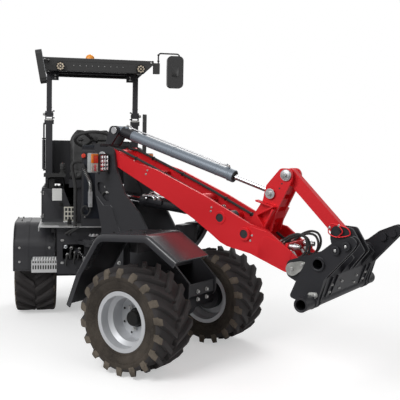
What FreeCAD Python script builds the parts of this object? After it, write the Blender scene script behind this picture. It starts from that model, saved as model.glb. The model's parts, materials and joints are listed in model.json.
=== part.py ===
"""Compact articulated wheel loader: front frame with lift tower, rear frame with operator platform.

Axes: X runs forward along the rear frame, Y to the machine's left, Z up from the ground.
Pieces of the front frame are drawn in the front frame's own axes, which start at the
articulation pivot, and are then turned about the pivot by the steering angle.
"""

import FreeCAD, Part
import Sketcher
import math
import os

doc = FreeCAD.newDocument("CompactWheelLoader")
V = FreeCAD.Vector

# ---------------------------------------------------------------------------------------
# Driving dimensions: millimetres and degrees, one cell each
# ---------------------------------------------------------------------------------------
SIZES = [
    # Places of the two frames
    ("pivot_x", -223.96, "articulation pivot, ahead of the middle of the floor area"),
    ("pivot_y", -673.9, "articulation pivot, left of the middle of the floor area"),
    ("steer_angle", 44.9, "front frame turned to the left of straight ahead"),
    ("fit_gap", 0.3, "gap between pieces that sit on each other"),
    ("pin_gap", 0.05, "running clearance of a pin in its bore, on the radius"),
    ("side_gap", 3, "gap between an eye and the ears beside it"),
    ("pin_head", 12, "head plate of a pin, thickness"),
    ("head_gap", 0.6, "pin head to the plate beside it"),
    ("head_ratio", 1.8, "head plate of a pin over the pin"),
    # Wheels
    ("tyre_radius", 393, "tyre out to the lug tips"),
    ("tyre_width", 385, "tyre across its sidewalls"),
    ("tread_half", 178, "tread, from the middle to its shoulder"),
    ("tyre_facets", 24, "flat facets round a tyre"),
    ("lug_count", 18, "lugs on each side of a tyre"),
    ("lug_slant", 32, "lugs from straight across the tread"),
    ("lug_depth", 34, "lug tips above the tread"),
    ("lug_wide", 44, "lug width"),
    ("lug_block", 58, "lug block, down into the shoulder"),
    ("lug_start", 6, "lugs, inner end from the tread's middle"),
    ("lug_inset", 3, "lugs, outer end inside the shoulder"),
    ("rim_radius", 220, "rim out to its flange"),
    ("rim_half", 165, "rim, from the middle to its edge"),
    ("seat_radius", 197, "bead seat of the rim"),
    ("seat_width", 72, "bead seat of the rim, from its edge"),
    ("well_slope", 24, "slope from the bead seat to the drop centre"),
    ("well_radius", 168, "drop centre of the rim"),
    ("rim_wall", 8, "rim sheet"),
    ("disc_inset", 30, "wheel disc, inboard of the wheel's middle"),
    ("disc_wall", 12, "wheel disc plate"),
    ("hub_radius", 52, "hub that passes through the wheel disc"),
    ("hub_reach", 34, "hub outboard of the wheel disc"),
    ("hub_play", 0.5, "hub to wheel disc on the radius"),
    ("track", 1054, "between the middles of the two wheels of an axle"),
    ("front_axle", 917, "front axle ahead of the pivot"),
    ("rear_axle", 919, "rear axle behind the pivot"),
    ("axle_tube", 62, "axle tube radius"),
    ("axle_drum", 112, "brake drum radius at the axle's end"),
    ("axle_drum_width", 70, "brake drum length"),
    ("axle_case", 100, "drive case radius in the axle's middle"),
    ("axle_case_half", 105, "drive case, half its length"),
    ("floor_rise", 77, "undersides of both frames above the middle of the axles"),
    # Lift tower and front frame
    ("tower_half", 190, "tower plates, outer faces from the middle"),
    ("tower_plate", 20, "tower plate"),
    ("tower_top", 1632, "tower top"),
    ("tower_back", 176, "tower's rear edge ahead of the pivot"),
    ("tower_nose", 383, "tower's front edge near its top"),
    ("tower_cross", 14, "plates between the tower plates"),
    ("doubler", 8, "doubler plate on the lower tower"),
    ("slot_back", 8, "plate behind the tower's slot"),
    ("bracket_top", 1640, "underside of the plate that carries the tilt cylinder's ears"),
    ("chassis_top", 765, "top of the front chassis"),
    ("chassis_front", 1150, "front end of the front chassis"),
    ("lug_plate", 30, "steering lug plate"),
    ("lug_radius", 85, "steering lug round the pivot"),
    ("lug_low", 500, "lower steering lug, middle height"),
    ("lug_high", 815, "upper steering lug, middle height"),
    ("pivot_pin", 32, "steering pivot pin radius"),
    # Boom
    ("boom_pin_x", 275, "boom pivot ahead of the steering pivot"),
    ("boom_pin_z", 1550, "boom pivot height"),
    ("boom_half", 163, "boom plates, outer faces from the middle"),
    ("boom_plate", 20, "boom plate"),
    ("boom_boss", 74, "boom heel round its pivot"),
    ("boom_pin", 30, "boom pivot pin radius"),
    ("lift_pin_x", 1394, "lift cylinder pin on the boom"),
    ("lift_pin_z", 1135, "lift cylinder pin height"),
    ("lift_pin", 24, "lift cylinder pin radius"),
    ("lever_pin_x", 1606, "lever pivot on the boom"),
    ("lever_pin_z", 1036, "lever pivot height"),
    ("lever_pin", 25, "lever pivot pin radius"),
    ("coupler_pin_x", 1999, "coupler pivot at the boom tip"),
    ("coupler_pin_z", 837, "coupler pivot height"),
    ("coupler_pin", 25, "coupler pivot pin radius"),
    ("boom_hose_y", 112, "hoses inside the boom, from the middle"),
    ("quick_radius", 17, "quick coupling radius"),
    ("quick_z", 975, "quick couplings height"),
    ("boom_tip", 52, "boom tip round the coupler pivot"),
    # Lever and link
    ("tilt_base_x", 285, "tilt cylinder pin on the tower"),
    ("tilt_base_z", 1768, "tilt cylinder pin height"),
    ("tilt_eye_x", 1758, "tilt cylinder pin on the lever"),
    ("tilt_eye_z", 1326, "tilt cylinder rod pin height"),
    ("link_top_x", 1875, "link pin on the lever"),
    ("link_top_z", 1461, "link pin on the lever, height"),
    ("link_low_x", 2255, "link pin on the coupler"),
    ("link_low_z", 1090, "link pin on the coupler, height"),
    ("link_pin", 22, "link pin radius"),
    ("lever_half", 78, "lever plates, outer faces from the middle"),
    ("lever_plate", 18, "lever plate"),
    ("lever_boss", 46, "lever ends round their pins"),
    ("link_half", 28, "link, half its thickness"),
    ("link_boss", 44, "link ends round their pins"),
    # Coupler
    ("low_tube_x", 2248, "lower tube of the coupler"),
    ("low_tube_z", 700, "lower tube height"),
    ("low_tube", 45, "lower tube radius"),
    ("low_tube_bore", 33, "lower tube bore radius"),
    ("low_tube_half", 580, "lower tube, half its length"),
    ("top_tube_x", 2300, "upper tube of the coupler"),
    ("top_tube_z", 940, "upper tube height"),
    ("top_tube", 42, "upper tube radius"),
    ("top_tube_bore", 32, "upper tube bore radius"),
    ("cheek_half", 457, "coupler cheeks, outer faces from the middle"),
    ("cheek_plate", 15, "coupler cheek plate"),
    ("cheek_space", 52, "outer cheek to inner cheek"),
    ("ear_half", 190, "coupler ears beside the boom, outer faces"),
    # Cylinders
    ("tilt_barrel", 42, "tilt cylinder barrel radius"),
    ("tilt_rod", 20, "tilt cylinder rod radius"),
    ("tilt_barrel_length", 1176, "tilt cylinder pin to the barrel's end"),
    ("tilt_stroke", 224, "tilt cylinder rod's travel into the barrel"),
    ("lift_base_x", 300, "lift cylinder pin on the tower"),
    ("lift_base_z", 1222, "lift cylinder pin height on the tower"),
    ("lift_barrel", 48, "lift cylinder barrel radius"),
    ("lift_rod", 27, "lift cylinder rod radius"),
    ("lift_barrel_length", 850, "lift cylinder pin to the barrel's end"),
    ("lift_stroke", 108, "lift cylinder rod's travel into the barrel"),
    ("bore_start", 1.6, "start of a cylinder's bore from its pin, over the eye"),
    ("eye_ratio", 1.7, "outside of a cylinder eye over its pin"),
    ("gland_length", 46, "cylinder head at the rod end"),
    ("steer_base_x", -560, "steering cylinder pin on the rear frame"),
    ("steer_base_y", -205, "steering cylinder pin, sideways"),
    ("steer_eye_x", 100, "steering cylinder pin on the front frame"),
    ("steer_eye_y", -200, "steering cylinder pin on the front frame, sideways"),
    ("steer_height", 695, "steering cylinder height"),
    ("steer_pin", 16, "steering cylinder pin radius"),
    ("steer_barrel", 30, "steering cylinder barrel radius"),
    ("steer_rod", 15, "steering cylinder rod radius"),
    ("steer_barrel_length", 445, "steering cylinder pin to the barrel's end"),
    ("steer_stroke", 292, "steering cylinder rod's travel into the barrel"),
    # Front fenders and lamps
    ("fender_in", 335, "fenders, inner edge from the middle"),
    ("fender_out", 727, "fenders, outer edge from the middle"),
    ("fender_wall", 9, "fender wall"),
    ("lamp_low", 1431, "front lamps, lower edge of the case"),
    ("lamp_high", 1576, "front lamps, upper edge of the case"),
    ("lamp_frame", 10, "front lamps, frame round the lens"),
    # Rear frame
    ("rear_half", 290, "rear frame side plates, outer faces"),
    ("rear_plate", 20, "rear frame plate"),
    ("rear_front", 130, "rear frame's front plate behind the pivot"),
    ("rear_end", 1470, "rear frame's end behind the pivot"),
    ("rear_top", 700, "rear frame side plate top"),
    ("front_plate_top", 872, "rear frame's front plate top"),
    ("floor_z", 930, "platform surface"),
    ("floor_plate", 8, "platform sheet"),
    ("floor_half", 475, "platform, half its width"),
    ("floor_front", 62, "platform's front edge behind the pivot"),
    ("floor_back", 640, "platform's rear edge behind the pivot"),
    ("step_z", 500, "underside of the low step"),
    ("step_high", 110, "height of the low step"),
    ("step_in", 300, "low step, inner end from the middle"),
    ("step_out", 540, "low step, outer end from the middle"),
    ("step_front", 210, "low step's front behind the pivot"),
    ("step_deep", 200, "low step, front to back"),
    ("box_in", 262, "side boxes, inner face from the middle"),
    ("box_out", 460, "side boxes, outer face from the middle"),
    ("box_front", 400, "side boxes, front behind the pivot"),
    ("box_back", 785, "side boxes, back behind the pivot"),
    ("box_top", 1245, "side boxes, top"),
    # Engine, hood, counterweight
    ("hood_half", 300, "hood, half its width"),
    ("hood_front", 800, "hood's front behind the pivot"),
    ("hood_end", 1545, "hood's end behind the pivot"),
    ("hood_top", 1300, "hood top"),
    ("hood_tail", 1130, "hood's top at its rear edge"),
    ("hood_low", 700.3, "hood's lower edge"),
    ("hood_hinge", 8, "hood hinge tube radius"),
    ("vent_deep", 4, "hood louvres, depth"),
    ("vent_count", 6, "hood louvres, one above the other"),
    ("vent_pitch", 50, "hood louvres, from one to the next"),
    ("vent_high", 26, "hood louvre, height"),
    ("hood_wall", 12, "hood wall"),
    ("engine_long", 480, "engine, length"),
    ("engine_wide", 420, "engine, width"),
    ("engine_high", 460, "engine, height"),
    ("weight_end", 1600, "counterweight's rear face behind the pivot"),
    ("weight_half", 330, "counterweight, half its width"),
    ("weight_low", 400, "counterweight underside"),
    ("weight_top", 700, "counterweight top"),
    ("hitch_pin", 14, "drawbar pin hole radius"),
    # Operator place
    ("seat_x", 470, "seat, middle of the cushion behind the pivot"),
    ("seat_z", 1330, "underside of the seat cushion"),
    ("seat_wide", 470, "seat width"),
    ("seat_deep", 430, "seat cushion, front to back"),
    ("seat_thick", 90, "seat cushion height"),
    ("back_high", 480, "seat back height"),
    ("back_taper", 70, "seat back, narrower at its top"),
    ("pedestal_half", 140, "seat pedestal, half its width"),
    ("back_thick", 80, "seat back thickness"),
    ("console_front", 40, "steering console, front behind the pivot"),
    ("console_deep", 120, "steering console, front to back"),
    ("console_half", 105, "steering console, half its width"),
    ("console_top", 1640, "steering console top"),
    ("hose_radius", 10, "hydraulic hose radius"),
    ("hose_bend", 45, "hydraulic hose, bend radius"),
    ("conduit_radius", 15, "cable conduit radius"),
    ("wheel_ring", 165, "steering wheel radius"),
    ("wheel_grip", 14, "steering wheel rim radius"),
    ("wheel_x", 240, "steering wheel hub behind the pivot"),
    ("wheel_z", 1690, "steering wheel hub height"),
    ("wheel_lean", 25, "steering wheel plane from level"),
    # Protective frame and roof
    ("hoop_x", 620, "protective frame behind the pivot"),
    ("hoop_half", 404, "protective frame posts from the middle"),
    ("hoop_post", 48, "upper post, square section"),
    ("post_sleeve", 7, "lower post, wider on each side than the upper one"),
    ("strut_radius", 15, "gas strut tube radius"),
    ("strut_rod", 8, "gas strut rod radius"),
    ("hinge_z", 1925, "folding hinge height"),
    ("hinge_pin", 12, "folding hinge pin radius"),
    ("roof_top", 2420, "top of the roof"),
    ("roof_thick", 110, "roof, top to underside"),
    ("roof_front", 300, "roof's front edge behind the pivot"),
    ("roof_back", 960, "roof's rear edge behind the pivot"),
    ("roof_half", 500, "roof, half its width"),
    ("roof_slab", 30, "roof slab"),
    ("rail_half", 30, "roof rails, half the width"),
    ("roof_shift", 40, "roof's middle, left of the machine's"),
    ("fascia_thick", 40, "front beam of the roof, front to back"),
    ("fascia_drop", 10, "front beam of the roof, below the roof's underside"),
    ("fascia_slant", 90, "slanted ends of the roof's front beam"),
    ("beacon_y", -28, "beacon, sideways"),
    ("beacon_radius", 42, "beacon radius"),
    ("beacon_high", 78, "beacon height"),
    ("work_lamp", 40, "work lamp radius"),
    ("work_lamp_up", 29, "work lamps above the roof's underside"),
    ("work_lamp_shift", 61, "work lamps' middle, left of the machine's"),
    ("work_lamp_in", 45, "work lamps inside the posts"),
    ("guard_rear", 784, "guard sheet's rear face behind the pivot"),
    ("guard_top", 1684, "guard sheet's top"),
    ("guard_sheet", 8, "guard sheet behind the seat"),
    ("mirror_reach", 195, "left mirror's middle from the roof's end"),
    ("mirror_wide", 150, "mirror width"),
    ("mirror_high", 290, "mirror height"),
    ("mirror_deep", 55, "mirror housing depth"),
    ("mirror_drop", 98, "mirror's middle below the roof's top"),
    ("mirror_arm", 7, "mirror arm radius"),
    ("mirror_lean", 10, "right mirror leans outwards at its top"),
]


class Tied:
    """A size that knows its number now and the expression that keeps it tied to the sheet."""

    def __init__(self, number, text):
        self.number = number
        self.text = text

    def joined(self, other, sign, number):
        return Tied(number, f"({self.text} {sign} {tied(other).text})")

    def __add__(self, other):
        return self.joined(other, "+", self.number + tied(other).number)

    def __radd__(self, other):
        return tied(other) + self

    def __sub__(self, other):
        return self.joined(other, "-", self.number - tied(other).number)

    def __rsub__(self, other):
        return tied(other) - self

    def __mul__(self, other):
        return self.joined(other, "*", self.number * tied(other).number)

    def __rmul__(self, other):
        return tied(other) * self

    def __rtruediv__(self, other):
        return tied(other) / self

    def __truediv__(self, other):
        return self.joined(other, "/", self.number / tied(other).number)

    def __neg__(self):
        return Tied(-self.number, f"(0 - {self.text})")


def tied(value):
    """Plain numbers join in sums with sizes from the sheet."""
    return value if isinstance(value, Tied) else Tied(value, repr(value))


def cosine(angle):
    return Tied(math.cos(math.radians(angle.number)), f"cos({angle.text})")


def sine(angle):
    return Tied(math.sin(math.radians(angle.number)), f"sin({angle.text})")


def slope(rise, run):
    """Angle in degrees of a line, from its rise and its run."""
    number = math.degrees(math.atan2(rise.number, run.number))
    return Tied(number, f"(atan2({rise.text}; {run.text}) / 1 deg)")


def distance(run, rise):
    return Tied(math.hypot(run.number, rise.number), f"hypot({run.text}; {rise.text})")


class SizeSheet:
    """The spreadsheet of driving dimensions, read as attributes."""

    def __init__(self, rows):
        self.sheet = doc.addObject("Spreadsheet::Sheet", "Sizes")
        self.cells = {}
        for row, (alias, number, meaning) in enumerate(rows, start=1):
            self.sheet.set(f"A{row}", meaning)
            self.sheet.set(f"B{row}", str(number))
            self.sheet.setAlias(f"B{row}", alias)
            self.cells[alias] = Tied(number, f"Sizes.{alias}")
        doc.recompute()

    def __getattr__(self, alias):
        return self.cells[alias]


S = SizeSheet(SIZES)
FRAME_FLOOR = S.tyre_radius + S.floor_rise
ROOF_UNDER = S.roof_top - S.roof_thick
ZERO = tied(0)
NODES = []


# ---------------------------------------------------------------------------------------
# Drawing helpers
# ---------------------------------------------------------------------------------------
def node(piece):
    """Marks an object as a piece of its own, written to its own file."""
    NODES.append(piece)
    return piece


def new_body(label):
    body = doc.addObject("PartDesign::Body", label)
    body.Label = label
    return body


def place(piece, frame, x=ZERO, y=ZERO, z=ZERO, yaw=ZERO, pitch=ZERO):
    """Ties a piece's place to the pivot and to its frame's angle; pitch raises its X axis."""
    x, y, z = tied(x), tied(y), tied(z)
    across = S.pivot_x + x * cosine(frame) - y * sine(frame)
    along = S.pivot_y + x * sine(frame) + y * cosine(frame)
    spot = f"vector({across.text}; {along.text}; {z.text})"
    turn = f"rotation({(frame + yaw).text}; {(-pitch).text}; 0)"
    piece.setExpression("Placement", f"placement({spot}; {turn})")
    return piece


def on_front(piece, x=ZERO, y=ZERO, z=ZERO, pitch=ZERO):
    return place(piece, S.steer_angle, x, y, z, ZERO, pitch)


def on_rear(piece, x=ZERO, y=ZERO, z=ZERO, yaw=ZERO, pitch=ZERO):
    return place(piece, ZERO, x, y, z, yaw, pitch)


def new_sketch(body, name, plane, offset):
    """A sketch on one of the body's own planes, moved along the plane's normal."""
    sketch = body.newObject("Sketcher::SketchObject", name)
    base = next(f for f in body.Origin.OriginFeatures if f.Role == plane)
    sketch.AttachmentSupport = [(base, "")]
    sketch.MapMode = "FlatFace"
    sketch.setExpression(".AttachmentOffset.Base.z", tied(offset).text)
    return sketch


class Rules:
    """Constraints of one sketch, added together, and the expressions that drive their sizes."""

    def __init__(self, sketch):
        self.sketch = sketch
        self.rows = []

    def add(self, *terms, size=None):
        if size is None:
            self.rows.append((Sketcher.Constraint(*terms), None))
        else:
            self.rows.append((Sketcher.Constraint(*terms, size.number), size.text))

    def hold_point(self, geometry, point, across, up):
        """Holds a point of the sketch at tied distances from the origin."""
        self.add("DistanceX", -1, 1, geometry, point, size=across)
        self.add("DistanceY", -1, 1, geometry, point, size=up)

    def apply(self):
        start = self.sketch.ConstraintCount
        self.sketch.addConstraint([row[0] for row in self.rows])
        for index, (_, text) in enumerate(self.rows, start=start):
            if text is not None:
                self.sketch.setExpression(f"Constraints[{index}]", text)


def corner_arc(before, at, after, radius):
    """Centre, tangent points and turning sense of the arc that rounds a corner."""
    back = (before - at).normalize()
    ahead = (after - at).normalize()
    half = back.getAngle(ahead) / 2
    run = radius / math.tan(half)
    centre = at + (back + ahead).normalize() * (radius / math.sin(half))
    left_turn = back.cross(ahead).z < 0
    return centre, at + back * run, at + ahead * run, left_turn


def draw_outline(sketch, corners):
    """A closed outline of lines; a corner with a third value is rounded by that radius."""
    corners = [tuple(tied(value) for value in corner) for corner in corners]
    spots = [V(c[0].number, c[1].number, 0) for c in corners]
    count = len(corners)
    arcs = {}
    for i, corner in enumerate(corners):
        if len(corner) == 3:
            arcs[i] = corner_arc(spots[i - 1], spots[i], spots[(i + 1) % count], corner[2].number)
    lines = []
    for i in range(count):
        start = arcs[i][2] if i in arcs else spots[i]
        following = (i + 1) % count
        end = arcs[following][1] if following in arcs else spots[following]
        lines.append(sketch.addGeometry(Part.LineSegment(start, end), False))
    rules = Rules(sketch)
    for i, corner in enumerate(corners):
        if i not in arcs:
            rules.add("Coincident", lines[i - 1], 2, lines[i], 1)
            rules.hold_point(lines[i], 1, corner[0], corner[1])
            continue
        centre, first, last, left_turn = arcs[i]
        if not left_turn:
            first, last = last, first
        start = math.atan2(first.y - centre.y, first.x - centre.x)
        end = math.atan2(last.y - centre.y, last.x - centre.x)
        circle = Part.Circle(centre, V(0, 0, 1), corner[2].number)
        arc = sketch.addGeometry(Part.ArcOfCircle(circle, start, end), False)
        tip = sketch.addGeometry(Part.Point(spots[i]), True)
        ends = (1, 2) if left_turn else (2, 1)
        rules.add("Tangent", lines[i - 1], 2, arc, ends[0])
        rules.add("Tangent", arc, ends[1], lines[i], 1)
        rules.add("PointOnObject", tip, 1, lines[i - 1])
        rules.add("PointOnObject", tip, 1, lines[i])
        rules.hold_point(tip, 1, corner[0], corner[1])
        rules.add("Radius", arc, size=corner[2])
    rules.apply()


def draw_circle(sketch, across, up, radius):
    across, up, radius = tied(across), tied(up), tied(radius)
    circle = Part.Circle(V(across.number, up.number, 0), V(0, 0, 1), radius.number)
    ring = sketch.addGeometry(circle, False)
    rules = Rules(sketch)
    rules.hold_point(ring, 3, across, up)
    rules.add("Radius", ring, size=radius)
    rules.apply()


def in_order(first, second):
    """Two ends of a stretch, the lower one first."""
    first, second = tied(first), tied(second)
    return (first, second) if first.number < second.number else (second, first)


def pad(body, sketch, length):
    feature = body.newObject("PartDesign::Pad", f"{sketch.Name}_pad")
    feature.Profile = sketch
    feature.Refine = False
    feature.setExpression("Length", tied(length).text)
    sketch.Visibility = False
    return feature


def pocket(body, sketch, length):
    """Cuts along the sketch's own normal."""
    feature = body.newObject("PartDesign::Pocket", f"{sketch.Name}_pocket")
    feature.Profile = sketch
    feature.Reversed = True
    feature.Refine = False
    feature.setExpression("Length", tied(length).text)
    return feature


def revolve(body, sketch, axis):
    feature = body.newObject("PartDesign::Revolution", f"{sketch.Name}_turned")
    feature.Profile = sketch
    feature.ReferenceAxis = (sketch, [axis])
    feature.Angle = 360
    return feature


# Side view: across is forward, up is up, and the pieces run from one Y to another.
def side_plate(body, name, corners, low, high):
    """A plate seen from the side, from Y = low to Y = high."""
    low, high = tied(low), tied(high)
    sketch = new_sketch(body, name, "XZ_Plane", -high)
    draw_outline(sketch, corners)
    return pad(body, sketch, high - low)


def side_plates(body, name, corners, outer, wall):
    """The same plate on the right and on the left."""
    side_plate(body, f"{name}_right", corners, -outer, -(outer - wall))
    side_plate(body, f"{name}_left", corners, outer - wall, outer)


def side_disc(body, name, across, up, radius, low, high):
    """A round bar or boss that lies crosswise."""
    low, high = tied(low), tied(high)
    sketch = new_sketch(body, name, "XZ_Plane", -high)
    draw_circle(sketch, across, up, radius)
    return pad(body, sketch, high - low)


def side_bore(body, name, across, up, radius, low, high):
    low, high = tied(low), tied(high)
    sketch = new_sketch(body, name, "XZ_Plane", -high)
    draw_circle(sketch, across, up, radius)
    return pocket(body, sketch, high - low)


def side_window(body, name, corners, low, high):
    low, high = tied(low), tied(high)
    sketch = new_sketch(body, name, "XZ_Plane", -high)
    draw_outline(sketch, corners)
    return pocket(body, sketch, high - low)


# Front view: across is to the left, up is up, and the pieces run from one X to another.
def front_plate(body, name, corners, low, high):
    sketch = new_sketch(body, name, "YZ_Plane", low)
    draw_outline(sketch, corners)
    return pad(body, sketch, tied(high) - tied(low))


def front_window(body, name, corners, low, high):
    sketch = new_sketch(body, name, "YZ_Plane", low)
    draw_outline(sketch, corners)
    return pocket(body, sketch, tied(high) - tied(low))


def front_disc(body, name, across, up, radius, low, high):
    sketch = new_sketch(body, name, "YZ_Plane", low)
    draw_circle(sketch, across, up, radius)
    return pad(body, sketch, tied(high) - tied(low))


# Plan view: across is forward, up is to the left, and the pieces run from one Z to another.
def flat_plate(body, name, corners, low, high):
    sketch = new_sketch(body, name, "XY_Plane", low)
    draw_outline(sketch, corners)
    return pad(body, sketch, tied(high) - tied(low))


def flat_disc(body, name, across, up, radius, low, high):
    sketch = new_sketch(body, name, "XY_Plane", low)
    draw_circle(sketch, across, up, radius)
    return pad(body, sketch, tied(high) - tied(low))


def flat_bore(body, name, across, up, radius, low, high):
    sketch = new_sketch(body, name, "XY_Plane", low)
    draw_circle(sketch, across, up, radius)
    return pocket(body, sketch, tied(high) - tied(low))


def rectangle(low_across, high_across, low_up, high_up, radius=None):
    corners = [(low_across, low_up), (high_across, low_up), (high_across, high_up), (low_across, high_up)]
    if radius is None:
        return corners
    return [(across, up, radius) for across, up in corners]


def box(body, name, low, high):
    """A block between two opposite corners."""
    return flat_plate(body, name, rectangle(low[0], high[0], low[1], high[1]), low[2], high[2])


def bent_tube(label, corners, radius, bend):
    """A hose or bar of round section: straight runs between corners, joined by arcs."""
    spots = [V(*(tied(value).number for value in corner)) for corner in corners]
    edges = []
    start = spots[0]
    for before, at, after in zip(spots, spots[1:], spots[2:]):
        back = (before - at).normalize()
        ahead = (after - at).normalize()
        half = back.getAngle(ahead) / 2
        middle = at + (back + ahead).normalize() * (bend.number / math.sin(half) - bend.number)
        reach = bend.number / math.tan(half)
        edges.append(Part.LineSegment(start, at + back * reach).toShape())
        edges.append(Part.Arc(at + back * reach, middle, at + ahead * reach).toShape())
        start = at + ahead * reach
    edges.append(Part.LineSegment(start, spots[-1]).toShape())
    section = Part.Wire([Part.Circle(spots[0], spots[1] - spots[0], radius.number).toShape()])
    tube = doc.addObject("Part::Feature", label)
    tube.Label = label
    tube.Shape = Part.Wire(edges).makePipeShell([section], True, False)
    return tube


def gather(label, pieces):
    """Like pieces of one body that share a node and don't touch."""
    group = doc.addObject("Part::Compound", label)
    group.Label = label
    group.Links = pieces
    return node(group)


# ---------------------------------------------------------------------------------------
# Wheels and axles
# ---------------------------------------------------------------------------------------
def turn_outline(label, corners):
    """A body turned about the Y axis, from an outline of (along the axle, radius) corners."""
    body = new_body(label)
    sketch = new_sketch(body, f"{label}_section", "YZ_Plane", ZERO)
    draw_outline(sketch, corners)
    revolve(body, sketch, "H_Axis")
    return body


def tyre_ring():
    """The tyre without its lugs: a ring of flat facets from bead to tread and back."""
    half = S.tyre_width.number / 2
    bead = S.rim_half.number - S.rim_wall.number - S.fit_gap.number
    flange = S.rim_radius.number + S.rim_wall.number / 2
    seat = (S.seat_radius.number + S.fit_gap.number) / math.cos(math.pi / S.tyre_facets.number)
    carcass = S.tyre_radius.number - S.lug_depth.number
    upper = [
        (bead, seat), (bead, flange), (half, (flange + carcass) / 2), (S.tread_half.number, carcass),
    ]
    outline = upper + [(-across, radius) for across, radius in reversed(upper)]
    count = int(S.tyre_facets.number)
    faces = []
    for (start, start_radius), (end, end_radius) in zip(outline, outline[1:] + outline[:1]):
        for index in range(count):
            corners = []
            for across, radius, step in (
                (start, start_radius, index), (end, end_radius, index),
                (end, end_radius, index + 1), (start, start_radius, index + 1),
            ):
                angle = 2 * math.pi * step / count
                corners.append(V(radius * math.sin(angle), across, radius * math.cos(angle)))
            faces.append(Part.Face(Part.makePolygon(corners + corners[:1])))
    ring = doc.addObject("Part::Feature", "tyre_ring")
    ring.Shape = Part.Solid(Part.Shell(faces))
    return ring


def tyre_lugs():
    """Bars from the middle of the tread to each shoulder, their inner ends leading."""
    slant = S.lug_slant
    start, end = S.lug_start, S.tread_half - S.lug_inset
    length = (end - start) / cosine(slant)
    half_along = length * sine(slant) / 2 + S.lug_wide * cosine(slant) / 2
    top = Tied(
        math.sqrt(S.tyre_radius.number ** 2 - half_along.number ** 2),
        f"sqrt({S.tyre_radius.text} * {S.tyre_radius.text} - {half_along.text} * {half_along.text})")
    lugs = []
    for side in (1, -1):
        turn = slant if side > 0 else 180 - slant
        for index in range(int(S.lug_count.number)):
            lug = doc.addObject("Part::Box", f"lug_{'left' if side > 0 else 'right'}_{index}")
            lug.setExpression("Length", S.lug_wide.text)
            lug.setExpression("Width", length.text)
            lug.setExpression("Height", S.lug_block.text)
            step = 360 / S.lug_count * (index + (0 if side > 0 else 0.5))
            spot = f"vector(0; {((start + end) / 2 * side).text}; {(top - S.lug_block).text})"
            corner = f"vector({(-S.lug_wide / 2).text}; {(-length / 2).text}; 0)"
            lug.setExpression("Placement", (
                f"placement(vector(0; 0; 0); rotation(vector(0; 1; 0); {step.text}))"
                f" * placement({spot}; rotation({turn.text}; 0; 0))"
                f" * placement({corner}; rotation(0; 0; 0))"))
            lugs.append(lug)
    return lugs


def lugged_tyre():
    """The shape that the four tyres share."""
    shape = doc.addObject("Part::MultiFuse", "lugged_tyre")
    shape.Shapes = [tyre_ring()] + tyre_lugs()
    shape.Refine = True
    return shape


def tyre(label, shared):
    piece = doc.addObject("Part::Compound", label)
    piece.Label = label
    piece.Links = [shared]
    return piece


def rim(label, side):
    """Wheel rim with its disc; side is the outboard direction along Y."""
    edge = S.rim_half * side
    wall = S.rim_wall * side
    seat_end = (S.rim_half - S.seat_width) * side
    well_end = (S.rim_half - S.seat_width - S.well_slope) * side
    disc = -S.disc_inset * side
    disc_back = disc - S.disc_wall * side
    return turn_outline(label, [
        (edge, S.rim_radius), (edge - wall, S.rim_radius), (edge - wall, S.seat_radius),
        (seat_end, S.seat_radius), (well_end, S.well_radius), (-well_end, S.well_radius),
        (-seat_end, S.seat_radius), (-(edge - wall), S.seat_radius), (-(edge - wall), S.rim_radius),
        (-edge, S.rim_radius), (-edge, S.seat_radius - S.rim_wall),
        (-seat_end, S.seat_radius - S.rim_wall), (-well_end, S.well_radius - S.rim_wall),
        (disc_back, S.well_radius - S.rim_wall), (disc_back, S.hub_radius + S.hub_play),
        (disc, S.hub_radius + S.hub_play), (disc, S.well_radius - S.rim_wall),
        (well_end, S.well_radius - S.rim_wall), (seat_end, S.seat_radius - S.rim_wall),
        (edge, S.seat_radius - S.rim_wall),
    ])


def wheels():
    shared = lugged_tyre()
    for end, along, put in (("front", S.front_axle, on_front), ("rear", -S.rear_axle, on_rear)):
        for hand, side in (("left", 1), ("right", -1)):
            across = S.track / 2 * side
            node(put(tyre(f"tyre_{end}_{hand}", shared), along, across, S.tyre_radius))
            node(put(rim(f"rim_{end}_{hand}", side), along, across, S.tyre_radius))


def axle(label, seat_height):
    """Axle beam with drums and hubs, its drive case, and the pad that it is bolted under."""
    body = new_body(label)
    disc_back = S.track / 2 - S.disc_inset - S.disc_wall
    drum_end = disc_back - S.side_gap / 6
    hub_end = S.track / 2 - S.disc_inset + S.hub_reach
    side_disc(body, f"{label}_tube", ZERO, ZERO, S.axle_tube, -drum_end, drum_end)
    side_disc(body, f"{label}_hubs", ZERO, ZERO, S.hub_radius, -hub_end, hub_end)
    for hand, side in (("left", 1), ("right", -1)):
        ends = in_order(drum_end * side, (drum_end - S.axle_drum_width) * side)
        side_disc(body, f"{label}_drum_{hand}", ZERO, ZERO, S.axle_drum, ends[0], ends[1])
    side_disc(body, f"{label}_case", ZERO, ZERO, S.axle_case, -S.axle_case_half, S.axle_case_half)
    box(body, f"{label}_saddle", (-S.axle_tube, -S.axle_case_half, ZERO),
        (S.axle_tube, S.axle_case_half, seat_height - S.tyre_radius - S.fit_gap))
    return node(body)


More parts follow.
